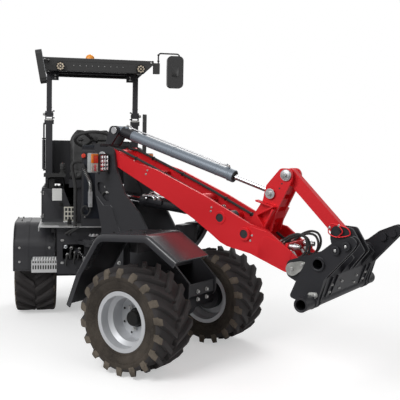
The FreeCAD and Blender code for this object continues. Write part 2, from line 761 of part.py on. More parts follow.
# ---------------------------------------------------------------------------------------
# Front frame: lift tower, chassis, fenders and lamps
# ---------------------------------------------------------------------------------------
def front_frame():
    body = new_body("front_frame")
    outer, wall = S.tower_half, S.tower_plate
    inner = outer - wall
    side_plates(body, "tower", [
        (S.tower_back, S.tower_top), (S.tower_nose, S.tower_top, 60),
        (S.tower_nose + 30, 1460), (509, 1260), (664, 1108), (743, 989), (990, S.chassis_top),
        (S.chassis_front, 620), (S.chassis_front, FRAME_FLOOR, 60), (180, FRAME_FLOOR, 20),
        (180, S.lug_high + 25, 40), (270, 930, 60), (192, 1242, 100),
    ], outer, wall)
    box(body, "belly_plate", (320, -inner, FRAME_FLOOR + 30), (1100, inner, FRAME_FLOOR + 50))
    box(body, "deck_plate", (330, -inner, S.chassis_top - 60), (930, inner, S.chassis_top - 40))
    front_plate(body, "bulkhead", rectangle(-inner, inner, FRAME_FLOOR, S.lug_high + 20), 230, 250)
    front_plate(body, "nose_plate", rectangle(-inner, inner, FRAME_FLOOR + 40, 600), 1120, 1140)
    side_plate(body, "tower_back_plate", [
        (S.tower_back + 60, 1080), (S.tower_back + 80, 1080), (S.tower_back + 40, 1250),
        (S.tower_back + 20, 1250)], -inner, inner)
    # Slot over the lift cylinder's pin, closed behind by a plate that holds the pin
    side_plates(body, "slot_back", [
        (200, 1385), (320, 1385), (392, 1262), (392, 1140), (290, 1150), (212, 1255),
    ], inner + 0.5, S.slot_back)
    slot = [(209, 1348, 20), (276, 1335, 20), (343, 1249, 20), (355, 1176, 20), (300, 1197, 20), (221, 1275, 20)]
    for hand, side in (("left", 1), ("right", -1)):
        ends = in_order(inner * side, (outer + 1) * side)
        side_window(body, f"tower_slot_{hand}", slot, ends[0], ends[1])
        ends = in_order((outer - 1) * side, (outer + S.doubler) * side)
        side_plate(body, f"doubler_{hand}", [
            (212, 1222), (288, 1150), (360, 1158), (384, 1140), (443, 996), (560, 800), (560, 640, 40),
            (330, 640, 40), (205, 800, 40), (290, 930, 60),
        ], ends[0], ends[1])
    # Pivot pins of the boom and of the lift cylinder
    side_disc(body, "boom_pivot_pin", S.boom_pin_x, S.boom_pin_z, S.boom_pin, -inner, inner)
    for hand, side in (("left", 1), ("right", -1)):
        ends = in_order((S.lift_barrel - 6 + S.side_gap) * side, (inner - 1) * side)
        side_disc(body, f"lift_base_pin_{hand}", S.lift_base_x, S.lift_base_z, S.lift_pin, ends[0], ends[1])
    side_disc(body, "boom_pin_heads", S.boom_pin_x, S.boom_pin_z, S.boom_pin + 14, inner, outer + 12)
    side_disc(body, "boom_pin_heads_right", S.boom_pin_x, S.boom_pin_z, S.boom_pin + 14,
              -outer - 12, -inner)
    # Ears of the tilt cylinder on their carrier plate
    ear_in = S.tilt_barrel + S.side_gap
    box(body, "bracket_plate", (S.tower_back, -outer, S.bracket_top),
        (S.tower_back + 64, outer, S.bracket_top + S.tower_cross))
    box(body, "bracket_foot", (S.tower_back, -outer, S.tower_top - 20),
        (S.tower_back + 60, -inner, S.bracket_top + S.tower_cross))
    box(body, "bracket_foot_left", (S.tower_back, inner, S.tower_top - 20),
        (S.tower_back + 60, outer, S.bracket_top + S.tower_cross))
    side_plates(body, "tilt_ear", [
        (S.tower_back, S.bracket_top), (S.tower_back + 64, S.bracket_top),
        (S.tilt_base_x + 40, S.tilt_base_z - 20, 30), (S.tilt_base_x + 34, S.tilt_base_z + 38, 30),
        (S.tilt_base_x - 50, S.tilt_base_z + 38, 40),
    ], ear_in + 20, tied(20))
    side_disc(body, "tilt_base_pin", S.tilt_base_x, S.tilt_base_z, S.link_pin, -ear_in - 28, ear_in + 28)
    # Steering lugs
    for name, middle in (("low", S.lug_low), ("high", S.lug_high)):
        flat_plate(body, f"lug_{name}", [
            (-S.lug_radius, -S.lug_radius, 70), (60, -S.lug_radius - 10), (235, -inner), (235, inner),
            (60, S.lug_radius + 10), (-S.lug_radius, S.lug_radius, 70),
        ], middle - S.lug_plate / 2, middle + S.lug_plate / 2)
        flat_bore(body, f"lug_{name}_bore", ZERO, ZERO, S.pivot_pin + S.pin_gap,
                  middle - S.lug_plate, middle + S.lug_plate)
    # Steering cylinder's pin
    box(body, "steer_bracket", (S.steer_eye_x - 22, S.steer_eye_y - 24, S.steer_height - 48),
        (240, S.steer_eye_y + 26, S.steer_height - 33))
    flat_disc(body, "steer_eye_pin", S.steer_eye_x, S.steer_eye_y, S.steer_pin,
              S.steer_height - 48, S.steer_height - 18 - S.side_gap)
    on_front(body)
    return node(body)


def front_fender(side):
    hand = "left" if side > 0 else "right"
    body = new_body(f"front_fender_{hand}")
    low, high = in_order(S.fender_in * side, S.fender_out * side)
    wall = S.fender_wall
    side_plate(body, f"fender_{hand}", [
        (1419, 887), (1163, 1042, 90), (704, 1007, 120), (500, 700, 400), (396, 450),
        (396 + wall * 3, 450), (500 + wall * 1.5, 690, 400), (704 + wall, 1007 - wall, 112),
        (1163 - wall, 1042 - wall, 82), (1419 - wall, 887 - wall),
    ], low, high)
    ends = in_order(S.tower_half * side, (S.fender_in + 60) * side)
    side_plate(body, f"fender_arm_{hand}", [
        (740, 840), (820, 840), (820, 1011), (740, 1005)], ends[0] + 0.3, ends[1])
    return on_front(body)


def front_lamps():
    """Work lamp and light cluster on each side of the tower."""
    lamps = []
    lenses = []
    clusters = []
    for hand, side in (("left", 1), ("right", -1)):
        lamp = new_body(f"head_lamp_{hand}")
        ends = in_order((S.tower_half + 12.5) * side, (S.tower_half + 122) * side)
        front_plate(lamp, f"lamp_case_{hand}", rectangle(ends[0], ends[1], S.lamp_low, S.lamp_high, 14),
                    300, 350)
        edge = S.lamp_frame
        front_window(lamp, f"lamp_recess_{hand}", rectangle(
            ends[0] + edge, ends[1] - edge, S.lamp_low + edge, S.lamp_high - edge, 8), 343, 351)
        lamps.append(on_front(lamp))
        lens = new_body(f"head_lens_{hand}")
        edge = S.lamp_frame + S.fit_gap
        front_plate(lens, f"lens_{hand}", rectangle(
            ends[0] + edge, ends[1] - edge, S.lamp_low + edge, S.lamp_high - edge, 7.7), 343 + S.fit_gap, 348)
        lenses.append(on_front(lens))
        cluster = new_body(f"light_cluster_{hand}")
        ends = in_order((S.tower_half + 122.3) * side, (S.tower_half + 205) * side)
        front_plate(cluster, f"cluster_case_{hand}", rectangle(
            ends[0], ends[1], S.lamp_low - 5, S.lamp_high + 5, 10), 295, 340)
        clusters.append(on_front(cluster))
    gather("head_lamps", lamps)
    gather("head_lenses", lenses)
    gather("light_clusters", clusters)


# ---------------------------------------------------------------------------------------
# Boom, lever, link and coupler
# ---------------------------------------------------------------------------------------
def boom():
    body = new_body("boom")
    outer, wall = S.boom_half, S.boom_plate
    inner = outer - wall
    side_plates(body, "boom_side", [
        (S.boom_pin_x - S.boom_boss, S.boom_pin_z + S.boom_boss, 60), (330, 1628), (590, 1515),
        (806, 1460), (1266, 1281), (1647, 1107), (1777, 1078),
        (S.coupler_pin_x + S.boom_tip, S.coupler_pin_z + S.boom_tip - 5, 40),
        (S.coupler_pin_x + S.boom_tip, S.coupler_pin_z - S.boom_tip, 45),
        (1920, 805), (1652, 900), (1457, 934), (1402, 956), (1289, 1030), (1173, 1102), (933, 1230),
        (745, 1313), (483, 1436), (366, 1490), (S.boom_pin_x - S.boom_boss, S.boom_pin_z - S.boom_boss, 60),
    ], outer, wall)
    side_disc(body, "boom_heel_tube", S.boom_pin_x, S.boom_pin_z, S.boom_boss - 12, -inner, inner)
    side_disc(body, "boom_tip_tube", S.coupler_pin_x, S.coupler_pin_z, S.boom_tip - 4, -inner, inner)
    side_disc(body, "boom_mid_tube", 1150, 1258, 32, -inner, inner)
    side_plate(body, "boom_web", [
        (S.coupler_pin_x - 110, S.coupler_pin_z), (S.coupler_pin_x - 94, S.coupler_pin_z - 5),
        (S.coupler_pin_x - 64, S.coupler_pin_z + 100), (S.coupler_pin_x - 80, S.coupler_pin_z + 104)],
        -inner, inner)
    side_plate(body, "boom_floor", [(1660, 912), (1905, 828), (1910, 842), (1665, 926)], -inner, inner)
    side_plate(body, "coupling_plate", [(1916, 930), (1932, 930), (1932, 996), (1916, 996)], -inner, inner)
    side_plate(body, "boom_rear_web", [(640, 1400), (655, 1392), (720, 1440), (708, 1450)], -inner, inner)
    # Ears and pin of the lift cylinder
    side_disc(body, "lift_pin", S.lift_pin_x, S.lift_pin_z, S.lift_pin, -inner, inner)
    # Bores
    for name, x, z, radius in (
        ("heel", S.boom_pin_x, S.boom_pin_z, S.boom_pin), ("tip", S.coupler_pin_x, S.coupler_pin_z, S.coupler_pin),
        ("lever", S.lever_pin_x, S.lever_pin_z, S.lever_pin),
    ):
        side_bore(body, f"{name}_bore", x, z, radius + S.pin_gap, -outer - 1, outer + 1)
    on_front(body)
    return node(body)


def boom_hoses():
    """A hose along each side of the boom's inside, with the quick coupling that it feeds."""
    pair = []
    couplings = []
    for hand, side in (("left", 1), ("right", -1)):
        across = S.boom_hose_y * side
        pair.append(on_front(bent_tube(f"boom_hose_{hand}", [
            (290, across, S.boom_pin_z + S.boom_boss - 11.7 + S.hose_radius), (400, across, 1606),
            (720, across, 1484), (1150, across, 1306), (1394, across, 1197), (1606, across, 1104),
            (1800, across, S.quick_z), (1915.7, across, S.quick_z),
        ], S.hose_radius, S.hose_bend)))
        quick = new_body(f"quick_coupling_{hand}")
        front_disc(quick, f"quick_socket_{hand}", across, S.quick_z, S.quick_radius, 1932.3, 2000)
        front_disc(quick, f"quick_sleeve_{hand}", across, S.quick_z, S.quick_radius + 4, 1965, 1990)
        couplings.append(on_front(quick))
    gather("boom_hoses", pair)
    gather("quick_couplings", couplings)


def lever():
    body = new_body("lever")
    outer, wall = S.lever_half, S.lever_plate
    inner = outer - wall
    boss = S.lever_boss
    side_disc(body, "lever_hub", S.lever_pin_x, S.lever_pin_z, S.lever_pin + 18,
              -(S.boom_half - S.boom_plate - S.side_gap), S.boom_half - S.boom_plate - S.side_gap)
    side_plates(body, "lever_side", [
        (S.lever_pin_x - boss, S.lever_pin_z - boss, 40), (S.lever_pin_x + boss, S.lever_pin_z - boss, 40),
        (1770, 1062), (1800, 1190, 80), (S.link_top_x + boss, S.link_top_z - 30, 40),
        (S.link_top_x + boss - 10, S.link_top_z + boss, 40), (S.link_top_x - boss, S.link_top_z + boss, 40),
        (S.tilt_eye_x - 40, S.tilt_eye_z + 55, 60), (S.tilt_eye_x - 62, S.tilt_eye_z - 50, 60),
        (1600, 1130),
    ], outer, wall)
    side_plate(body, "lever_web", [(1650, 1115), (1740, 1085), (1755, 1105), (1662, 1140)], -inner, inner)
    for hand, side in (("left", 1), ("right", -1)):
        ends = in_order((S.tilt_barrel - 5 + S.side_gap) * side, (outer + 14) * side)
        side_disc(body, f"tilt_eye_pin_{hand}", S.tilt_eye_x, S.tilt_eye_z, S.link_pin, ends[0], ends[1])
    side_bore(body, "link_top_bore", S.link_top_x, S.link_top_z, S.link_pin + S.pin_gap, -outer - 1, outer + 1)
    side_bore(body, "lever_hub_bore", S.lever_pin_x, S.lever_pin_z, S.lever_pin + S.pin_gap,
              -S.boom_half, S.boom_half)
    on_front(body)
    return node(body)


def crosswise_pin(label, x, z, radius, half):
    """A pin with a head plate at each end, outside the plates that hold it."""
    body = new_body(label)
    side_disc(body, f"{label}_bar", x, z, radius, -half - S.head_gap, half + S.head_gap)
    for hand, side in (("left", 1), ("right", -1)):
        ends = in_order((half + S.head_gap) * side, (half + S.head_gap + S.pin_head) * side)
        side_disc(body, f"{label}_head_{hand}", x, z, radius * S.head_ratio, ends[0], ends[1])
    on_front(body)
    return node(body)


def strap(body, name, x1, z1, x2, z2, radius, half):
    """A flat bar with round ends between two pins."""
    rise, run = z2 - z1, x2 - x1
    length = distance(run, rise)
    along_x, along_z = run / length, rise / length
    corners = []
    for x, z, ahead in ((x1, z1, -1), (x2, z2, 1)):
        for side in (-1, 1):
            turn = side * ahead
            corners.append((
                x + along_x * radius * ahead - along_z * radius * turn,
                z + along_z * radius * ahead + along_x * radius * turn, radius * 0.98))
    side_plate(body, name, corners, -half, half)


def tilt_link():
    body = new_body("tilt_link")
    strap(body, "link_bar", S.link_top_x, S.link_top_z, S.link_low_x, S.link_low_z, S.link_boss, S.link_half)
    for name, x, z in (("top", S.link_top_x, S.link_top_z), ("low", S.link_low_x, S.link_low_z)):
        side_bore(body, f"link_{name}_bore", x, z, S.link_pin + S.pin_gap, -S.link_half - 1, S.link_half + 1)
    on_front(body)
    return node(body)


def coupler():
    body = new_body("coupler")
    half = S.low_tube_half
    wall = S.cheek_plate
    low_x, low_z, top_x, top_z = S.low_tube_x, S.low_tube_z, S.top_tube_x, S.top_tube_z
    side_disc(body, "low_tube", low_x, low_z, S.low_tube, -half, half)
    cheek = [
        (low_x - 20, low_z - 20, 20), (low_x + 46, low_z - 14, 20), (low_x + 92, low_z + 150),
        (2511, 1044), (2545, 1095, 30), (2500, 1130, 30), (2416, 1092), (2380, 1075), (2301, 1010),
        (2230, 980), (2156, 826), (2107, 710, 20),
    ]
    side_plates(body, "outer_cheek", cheek, S.cheek_half, wall)
    side_plates(body, "inner_cheek", cheek, S.cheek_half - S.cheek_space, wall)
    side_disc(body, "top_tube", top_x, top_z, S.top_tube, -S.cheek_half - 12, S.cheek_half + 12)
    for name, x, z in (("low_boss", 2412, 1037), ("high_boss", 2477, 1068)):
        for hand, side in (("left", 1), ("right", -1)):
            ends = in_order((S.cheek_half + 16) * side, (S.cheek_half - S.cheek_space - 40) * side)
            side_disc(body, f"{name}_{hand}", x, z, 28, ends[0], ends[1])
    side_plates(body, "boom_ear", [
        (S.coupler_pin_x - 48, S.coupler_pin_z - 48, 46), (low_x - 60, low_z - 20), (low_x + 30, low_z),
        (low_x + 90, low_z + 150), (2420, 960), (2380, 1000), (top_x - 30, top_z + 60),
        (S.coupler_pin_x - 48, S.coupler_pin_z + 50, 46),
    ], S.ear_half, tied(20))
    side_plates(body, "link_ear", [
        (low_x - 40, low_z), (low_x + 40, low_z), (low_x + 90, low_z + 150), (2440, 985, 20),
        (2350, 1130, 30), (S.link_low_x - 50, S.link_low_z + 46, 40), (S.link_low_x - 56, S.link_low_z - 40, 40),
        (2230, 930),
    ], S.link_half + S.side_gap + 20, tied(20))
    side_plate(body, "face_plate", [
        (low_x + 34, low_z + 20), (low_x + 46, low_z + 16), (low_x + 92, low_z + 150),
        (top_x + 44, top_z + 10), (top_x + 32, top_z + 14), (low_x + 80, low_z + 156)],
        -S.cheek_half + wall, S.cheek_half - wall)
    side_bore(body, "low_tube_bore", low_x, low_z, S.low_tube_bore, -half - 1, half + 1)
    side_bore(body, "top_tube_bore", top_x, top_z, S.top_tube_bore, -half, half)
    side_bore(body, "ear_bore", S.coupler_pin_x, S.coupler_pin_z, S.coupler_pin + S.pin_gap,
              -S.ear_half - 1, S.ear_half + 1)
    for hand, side in (("left", 1), ("right", -1)):
        ear_in, ear_out = S.link_half + S.side_gap, S.link_half + S.side_gap + 34
        ends = in_order(ear_in * side, ear_out * side)
        side_disc(body, f"link_low_pin_{hand}", S.link_low_x, S.link_low_z, S.link_pin, ends[0], ends[1])
    on_front(body)
    return node(body)


# ---------------------------------------------------------------------------------------
# Cylinders: each is drawn along its own X axis from its base pin
# ---------------------------------------------------------------------------------------
def barrel(label, pin, radius, rod, length, half):
    """Cylinder barrel with its eye at the start and its head at the rod's end."""
    body = new_body(label)
    eye = pin * S.eye_ratio
    side_disc(body, f"{label}_eye", ZERO, ZERO, eye, -half, half)
    front_disc(body, f"{label}_tube", ZERO, ZERO, radius, eye * 0.7, length)
    front_disc(body, f"{label}_head", ZERO, ZERO, radius + 4, length - S.gland_length, length)
    side_bore(body, f"{label}_pin_bore", ZERO, ZERO, pin + S.pin_gap, -half - 1, half + 1)
    sketch = new_sketch(body, f"{label}_rod_bore", "YZ_Plane", length)
    draw_circle(sketch, ZERO, ZERO, rod + S.pin_gap)
    feature = body.newObject("PartDesign::Pocket", f"{label}_rod_pocket")
    feature.Profile = sketch
    feature.setExpression("Length", (length - eye * S.bore_start).text)
    return body


def rod(label, pin, radius, half, length, stroke):
    """Cylinder rod drawn from its eye back into the barrel, short of the bore's end by its stroke."""
    body = new_body(label)
    eye = pin * S.eye_ratio
    front_disc(body, f"{label}_bar", ZERO, ZERO, radius, eye * S.bore_start + stroke - length, -eye * 0.7)
    side_disc(body, f"{label}_eye", ZERO, ZERO, eye, -half, half)
    side_bore(body, f"{label}_pin_bore", ZERO, ZERO, pin + S.pin_gap, -half - 1, half + 1)
    return body


def cylinders():
    run, rise = S.tilt_eye_x - S.tilt_base_x, S.tilt_eye_z - S.tilt_base_z
    tilt_length = distance(run, rise)
    tilt_half = S.tilt_barrel - 5
    pitch = slope(rise, run)
    body = barrel("tilt_barrel", S.link_pin, S.tilt_barrel, S.tilt_rod, S.tilt_barrel_length, tilt_half)
    node(on_front(body, S.tilt_base_x, ZERO, S.tilt_base_z, pitch))
    body = rod("tilt_rod", S.link_pin, S.tilt_rod, tilt_half, tilt_length, S.tilt_stroke)
    node(on_front(body, S.tilt_eye_x, ZERO, S.tilt_eye_z, pitch))
    run, rise = S.lift_base_x - S.lift_pin_x, S.lift_base_z - S.lift_pin_z
    lift_length = distance(run, rise)
    lift_half = S.lift_barrel - 6
    pitch = slope(rise, run)
    body = barrel("lift_barrel", S.lift_pin, S.lift_barrel, S.lift_rod, S.lift_barrel_length, lift_half)
    node(on_front(body, S.lift_pin_x, ZERO, S.lift_pin_z, pitch))
    body = rod("lift_rod", S.lift_pin, S.lift_rod, lift_half, lift_length, S.lift_stroke)
    node(on_front(body, S.lift_base_x, ZERO, S.lift_base_z, pitch))


# ---------------------------------------------------------------------------------------
# Rear frame, counterweight, hood and engine
# ---------------------------------------------------------------------------------------
def rear_frame():
    body = new_body("rear_frame")
    outer, wall = S.rear_half, S.rear_plate
    inner = outer - wall
    front, end = -S.rear_front, -S.rear_end
    front_plate(body, "front_plate", rectangle(-outer - 26, outer + 26, FRAME_FLOOR + 30, S.front_plate_top),
                front - wall, front)
    for hand, side in (("left", 1), ("right", -1)):
        ends = in_order(80 * side, (inner - 4) * side)
        front_window(body, f"front_window_{hand}", rectangle(ends[0], ends[1], 628, 764, 12),
                     front - wall - 5, front + 5)
    side_plates(body, "rear_side", [
        (front - 5, S.front_plate_top), (-300, S.front_plate_top), (-420, S.rear_top), (end, S.rear_top),
        (end, FRAME_FLOOR + 60), (-1200, FRAME_FLOOR + 20), (-600, FRAME_FLOOR), (front - 5, FRAME_FLOOR + 30),
    ], outer, wall)
    box(body, "rear_deck", (end, -inner, FRAME_FLOOR + 110), (-420, inner, FRAME_FLOOR + 122))
    front_plate(body, "rear_bulkhead", rectangle(-inner, inner, FRAME_FLOOR + 60, S.rear_top), end, end + wall)
    box(body, "floor_beam", (-390, -outer - 26, S.front_plate_top),
        (front - 5, outer + 26, S.floor_z - S.floor_plate - S.fit_gap))
    # Steering lugs, inside those of the front frame, and the pivot pin
    gap = S.side_gap / 10
    for name, middle, turn in (("low", S.lug_low, 1), ("high", S.lug_high, -1)):
        centre = middle + (S.lug_plate + gap) * turn
        flat_plate(body, f"rear_lug_{name}", [
            (front - 5, -150), (-40, -S.lug_radius), (S.lug_radius - 8, -S.lug_radius + 8, 60),
            (S.lug_radius - 8, S.lug_radius - 8, 60), (-40, S.lug_radius), (front - 5, 150),
        ], centre - S.lug_plate / 2, centre + S.lug_plate / 2)
    flat_disc(body, "pivot_pin", ZERO, ZERO, S.pivot_pin, S.lug_low - 40, S.lug_high + 40)
    # Steering cylinder's pin on a bracket
    box(body, "steer_bracket", (S.steer_base_x - 30, -inner, S.steer_height - 48),
        (S.steer_base_x + 30, S.steer_base_y + 30, S.steer_height - 33))
    flat_disc(body, "steer_base_pin", S.steer_base_x, S.steer_base_y, S.steer_pin,
              S.steer_height - 48, S.steer_height + 30)
    on_rear(body)
    return node(body)


def counterweight():
    body = new_body("counterweight")
    end = -S.rear_end - S.fit_gap
    flat_plate(body, "weight_block", [
        (end, -S.weight_half), (end, S.weight_half), (-S.weight_end, S.weight_half, 60),
        (-S.weight_end, -S.weight_half, 60)], S.weight_low, S.weight_top)
    flat_plate(body, "hitch_jaw", [
        (-S.weight_end + 2, -55), (-S.weight_end + 2, 55), (-S.weight_end - 70, 45, 30),
        (-S.weight_end - 70, -45, 30)], 500, 590)
    side_window(body, "jaw_slot", rectangle(-S.weight_end - 90, -S.weight_end - 5, 525, 565), -80, 80)
    flat_bore(body, "hitch_bore", -S.weight_end - 40, ZERO, S.hitch_pin, 480, 610)
    on_rear(body)
    return node(body)


def engine():
    body = new_body("engine")
    middle = -(S.hood_front + S.hood_end) / 2
    low = FRAME_FLOOR + 122 + S.fit_gap
    box(body, "engine_block", (middle - S.engine_long / 2, -S.engine_wide / 2, low),
        (middle + S.engine_long / 2, S.engine_wide / 2, low + S.engine_high))
    on_rear(body)
    return node(body)


def hood():
    """Engine hood, open below and at its front, hinged at its front top edge."""
    body = new_body("hood")
    half, wall = S.hood_half, S.hood_wall
    front, end = -S.hood_front, -S.hood_end
    outline = [
        (front, S.hood_low), (front, S.hood_top, 14), (-1180, S.hood_top, 160), (end, S.hood_tail, 90),
        (end, S.hood_low)]
    side_plate(body, "hood_skin", outline, -half, half)
    inside = [
        (front + 5, S.hood_low - 5), (front + 5, S.hood_top - wall), (-1180, S.hood_top - wall, 150),
        (end + wall, S.hood_tail - wall, 80), (end + wall, S.hood_low - 5)]
    side_window(body, "hood_hollow", inside, -half + wall, half - wall)
    side_disc(body, "hood_hinge", front, S.hood_top, S.hood_hinge, -half + wall, half - wall)
    for index in range(int(S.vent_count.number)):
        low = S.hood_low + 60 + S.vent_pitch * index
        for hand, side in (("left", 1), ("right", -1)):
            ends = in_order((half - S.vent_deep) * side, (half + 1) * side)
            side_window(body, f"louvre_{hand}_{index}", rectangle(-1440, -1120, low, low + S.vent_high, 10),
                        ends[0], ends[1])
        front_window(body, f"tail_louvre_{index}", rectangle(-200, 200, low, low + S.vent_high, 10),
                     end - 1, end + S.vent_deep)
    on_rear(body)
    return node(body)


def tail_lamps():
    lamps = []
    for hand, side in (("left", 1), ("right", -1)):
        lamp = new_body(f"tail_lamp_{hand}")
        ends = in_order((S.weight_half - 40) * side, (S.weight_half - 160) * side)
        front_plate(lamp, f"tail_case_{hand}", rectangle(ends[0], ends[1], S.weight_top - 90, S.weight_top - 30, 8),
                    -S.weight_end - 30, -S.weight_end - S.fit_gap)
        lamps.append(on_rear(lamp))
    gather("tail_lamps", lamps)


def rear_fenders():
    """Ribbed covers over the front upper quarter of the rear wheels."""
    fenders = []
    for hand, side in (("left", 1), ("right", -1)):
        body = new_body(f"rear_fender_{hand}")
        ends = in_order(S.fender_in * side, (S.fender_out - 10) * side)
        wall = S.fender_wall
        axle_x = -S.rear_axle
        side_plate(body, f"rear_cover_{hand}", [
            (-430, 474), (-430, 760, 150), (-600, 905, 160), (axle_x - 150, 905, 160), (-1300, 760),
            (-1300 + wall, 760 - wall), (axle_x - 150 + wall, 905 - wall, 150), (-600 - wall, 905 - wall, 150),
            (-430 - wall, 760 - wall, 140), (-430 - wall, 474),
        ], ends[0], ends[1])
        for index, start in enumerate((S.fender_in + 90, S.fender_out - 150)):
            ends = in_order(start * side, (start + 34) * side)
            side_plate(body, f"rear_cover_rib_{hand}_{index}", [
                (-423, 490), (-423, 764, 150), (-597, 912, 160), (axle_x - 60, 912), (axle_x - 60, 900),
                (-604, 900, 150), (-436, 755, 140), (-436, 490),
            ], ends[0], ends[1])
        ends = in_order((S.rear_half + 0.3) * side, (S.fender_in + 40) * side)
        side_plate(body, f"rear_cover_arm_{hand}", rectangle(-560, -500, 640, 868), ends[0], ends[1])
        fenders.append(on_rear(body))
    gather("rear_fenders", fenders)


# ---------------------------------------------------------------------------------------
# Operator platform
# ---------------------------------------------------------------------------------------
def platform():
    body = new_body("floor_plate")
    box(body, "floor_sheet", (-S.floor_back, -S.floor_half, S.floor_z - S.floor_plate),
        (-S.floor_front, S.floor_half, S.floor_z))
    box(body, "floor_lip_right", (-S.box_front - 20, -S.floor_half, S.floor_z - 40),
        (-S.floor_front, -S.floor_half + 8, S.floor_z - 4))
    box(body, "floor_lip_left", (-S.box_front - 20, S.floor_half - 8, S.floor_z - 40),
        (-S.floor_front, S.floor_half, S.floor_z - 4))
    on_rear(body)
    node(body)


def steps():
    pair = []
    for hand, side in (("left", 1), ("right", -1)):
        body = new_body(f"step_{hand}")
        ends = in_order((S.rear_half + 26.3) * side, S.step_out * side)
        back = -S.step_front - S.step_deep
        box(body, f"tread_{hand}", (back, ends[0], S.step_z + S.step_high - 6),
            (-S.step_front, ends[1], S.step_z + S.step_high))
        box(body, f"tread_face_{hand}", (-S.step_front - 6, ends[0], S.step_z),
            (-S.step_front, ends[1], S.step_z + S.step_high))
        box(body, f"tread_back_{hand}", (back, ends[0], S.step_z), (back + 6, ends[1], S.step_z + S.step_high))
        ends = in_order((S.rear_half + 0.3) * side, (S.rear_half + 40) * side)
        box(body, f"tread_arm_{hand}", (back, ends[0], S.step_z), (-S.step_front - 20, ends[1], S.step_z + S.step_high))
        pair.append(on_rear(body))
    gather("steps", pair)


def side_boxes():
    """Closed cases beside the seat: controls on the right, fuel on the left."""
    for hand, side in (("left", 1), ("right", -1)):
        body = new_body(f"side_box_{hand}")
        ends = in_order(S.box_in * side, S.box_out * side)
        low = S.floor_z + S.fit_gap
        side_plate(body, f"case_{hand}", [
            (-S.box_front, low), (-S.box_front, S.box_top, 20), (-S.box_back, S.box_top, 20), (-S.box_back, low),
        ], ends[0], ends[1])
        inner = (S.box_in + 1) * side
        toe = (S.pedestal_half + 4) * side
        gusset = [(inner, low), (inner, S.box_top - 10), (toe, low)]
        front_plate(body, f"gusset_{hand}", gusset, -S.box_front - 16, -S.box_front)
        on_rear(body)
        node(body)


def seat():
    base = new_body("seat_base")
    middle = -S.seat_x
    box(base, "seat_pedestal", (middle - 180, -S.pedestal_half, S.floor_z + S.fit_gap),
        (middle + 170, S.pedestal_half, S.seat_z - 70))
    box(base, "seat_pan", (middle - S.seat_deep / 2 + 10, -S.seat_wide / 2 + 20, S.seat_z - 71),
        (middle + S.seat_deep / 2 - 10, S.seat_wide / 2 - 20, S.seat_z - S.fit_gap))
    on_rear(base)
    node(base)
    cushion = new_body("seat_cushion")
    side_plate(cushion, "cushion", rectangle(middle - S.seat_deep / 2 + S.back_thick, middle + S.seat_deep / 2,
               S.seat_z, S.seat_z + S.seat_thick, 30), -S.seat_wide / 2, S.seat_wide / 2)
    on_rear(cushion)
    node(cushion)
    back = new_body("seat_back")
    rear = middle - S.seat_deep / 2
    side_plate(back, "backrest", [
        (rear + S.back_thick - S.fit_gap, S.seat_z + 10, 20),
        (rear + S.back_thick - S.fit_gap, S.seat_z + S.seat_thick), (rear + S.back_thick - 60, S.seat_z + S.back_high, 35),
        (rear - 62, S.seat_z + S.back_high, 35), (rear - 2, S.seat_z + 10, 20)], -S.seat_wide / 2, S.seat_wide / 2)
    top = S.seat_z + S.back_high
    for hand, side in (("left", 1), ("right", -1)):
        edge = (S.seat_wide / 2 + 1) * side
        shoulder = (S.seat_wide / 2 - S.back_taper) * side
        front_window(back, f"back_shoulder_{hand}", [(edge, top + 1), (shoulder, top + 1), (edge, top - 150)],
                     rear - 90, rear + S.back_thick)
    on_rear(back)
    node(back)


def armrests():
    """Right armrest with the lever that works the boom, left one folded up."""
    pair = []
    right = new_body("armrest_right")
    box(right, "rest_right", (-530, -440, 1350), (-300, -245, 1380))
    box(right, "rest_leg_right", (-470, -385, S.box_top + S.fit_gap), (-430, -345, 1360))
    flat_disc(right, "lever_stick", -335, -272, 9, 1378, 1425)
    flat_disc(right, "lever_knob", -335, -272, 24, 1420, 1470)
    pair.append(on_rear(right))
    left = new_body("armrest_left")
    side_plate(left, "rest_left", rectangle(-470, -420, S.box_top + S.fit_gap, 1940, 24), 462, 496)
    box(left, "rest_foot_left", (-470, 440, S.box_top + S.fit_gap), (-420, 470, 1270))
    pair.append(on_rear(left))
    gather("armrests", pair)


def console():
    body = new_body("console")
    front = -S.console_front - 30
    side_plate(body, "console_case", [
        (front, S.floor_z + S.fit_gap), (front, S.console_top - 40, 30), (front - 70, S.console_top, 30),
        (front - S.console_deep, S.console_top - 30, 20), (front - S.console_deep, S.floor_z + S.fit_gap),
    ], -S.console_half, S.console_half)
    # Steering column, square to the wheel and ending under its hub
    along, up = sine(S.wheel_lean), cosine(S.wheel_lean)
    side_plate(body, "steering_column", [
        (-S.wheel_x + along * reach - up * wide, S.wheel_z - up * reach - along * wide)
        for reach, wide in ((22.3, 18), (150, 18), (150, -18), (22.3, -18))], -18, 18)
    on_rear(body)
    node(body)


def console_hoses():
    """Cable conduit and hose from the steering console down to the floor."""
    face = -S.console_front - 30
    edge = -S.console_half - S.fit_gap
    floor = S.floor_z + S.fit_gap
    conduit = bent_tube("console_conduit", [
        (face - 20, edge, 1497), (face - 20, -200, 1497), (face - 16, -160, 1280), (face - 16, -160, floor),
    ], S.conduit_radius, S.hose_bend)
    front = face + S.fit_gap
    hose = bent_tube("guarded_hose", [
        (front, -95, 1470), (front + 35, -95, 1470), (front + 35, -32, 1330), (front + 35, -32, 1240),
    ], S.hose_radius + 2, S.hose_bend / 3)
    fitting = new_body("hose_fitting")
    box(fitting, "fitting_block", (front, -50, 1105), (front + 50, -14, 1239.7))
    gather("console_hoses", [on_rear(conduit), on_rear(hose)])
    on_rear(fitting)
    node(fitting)


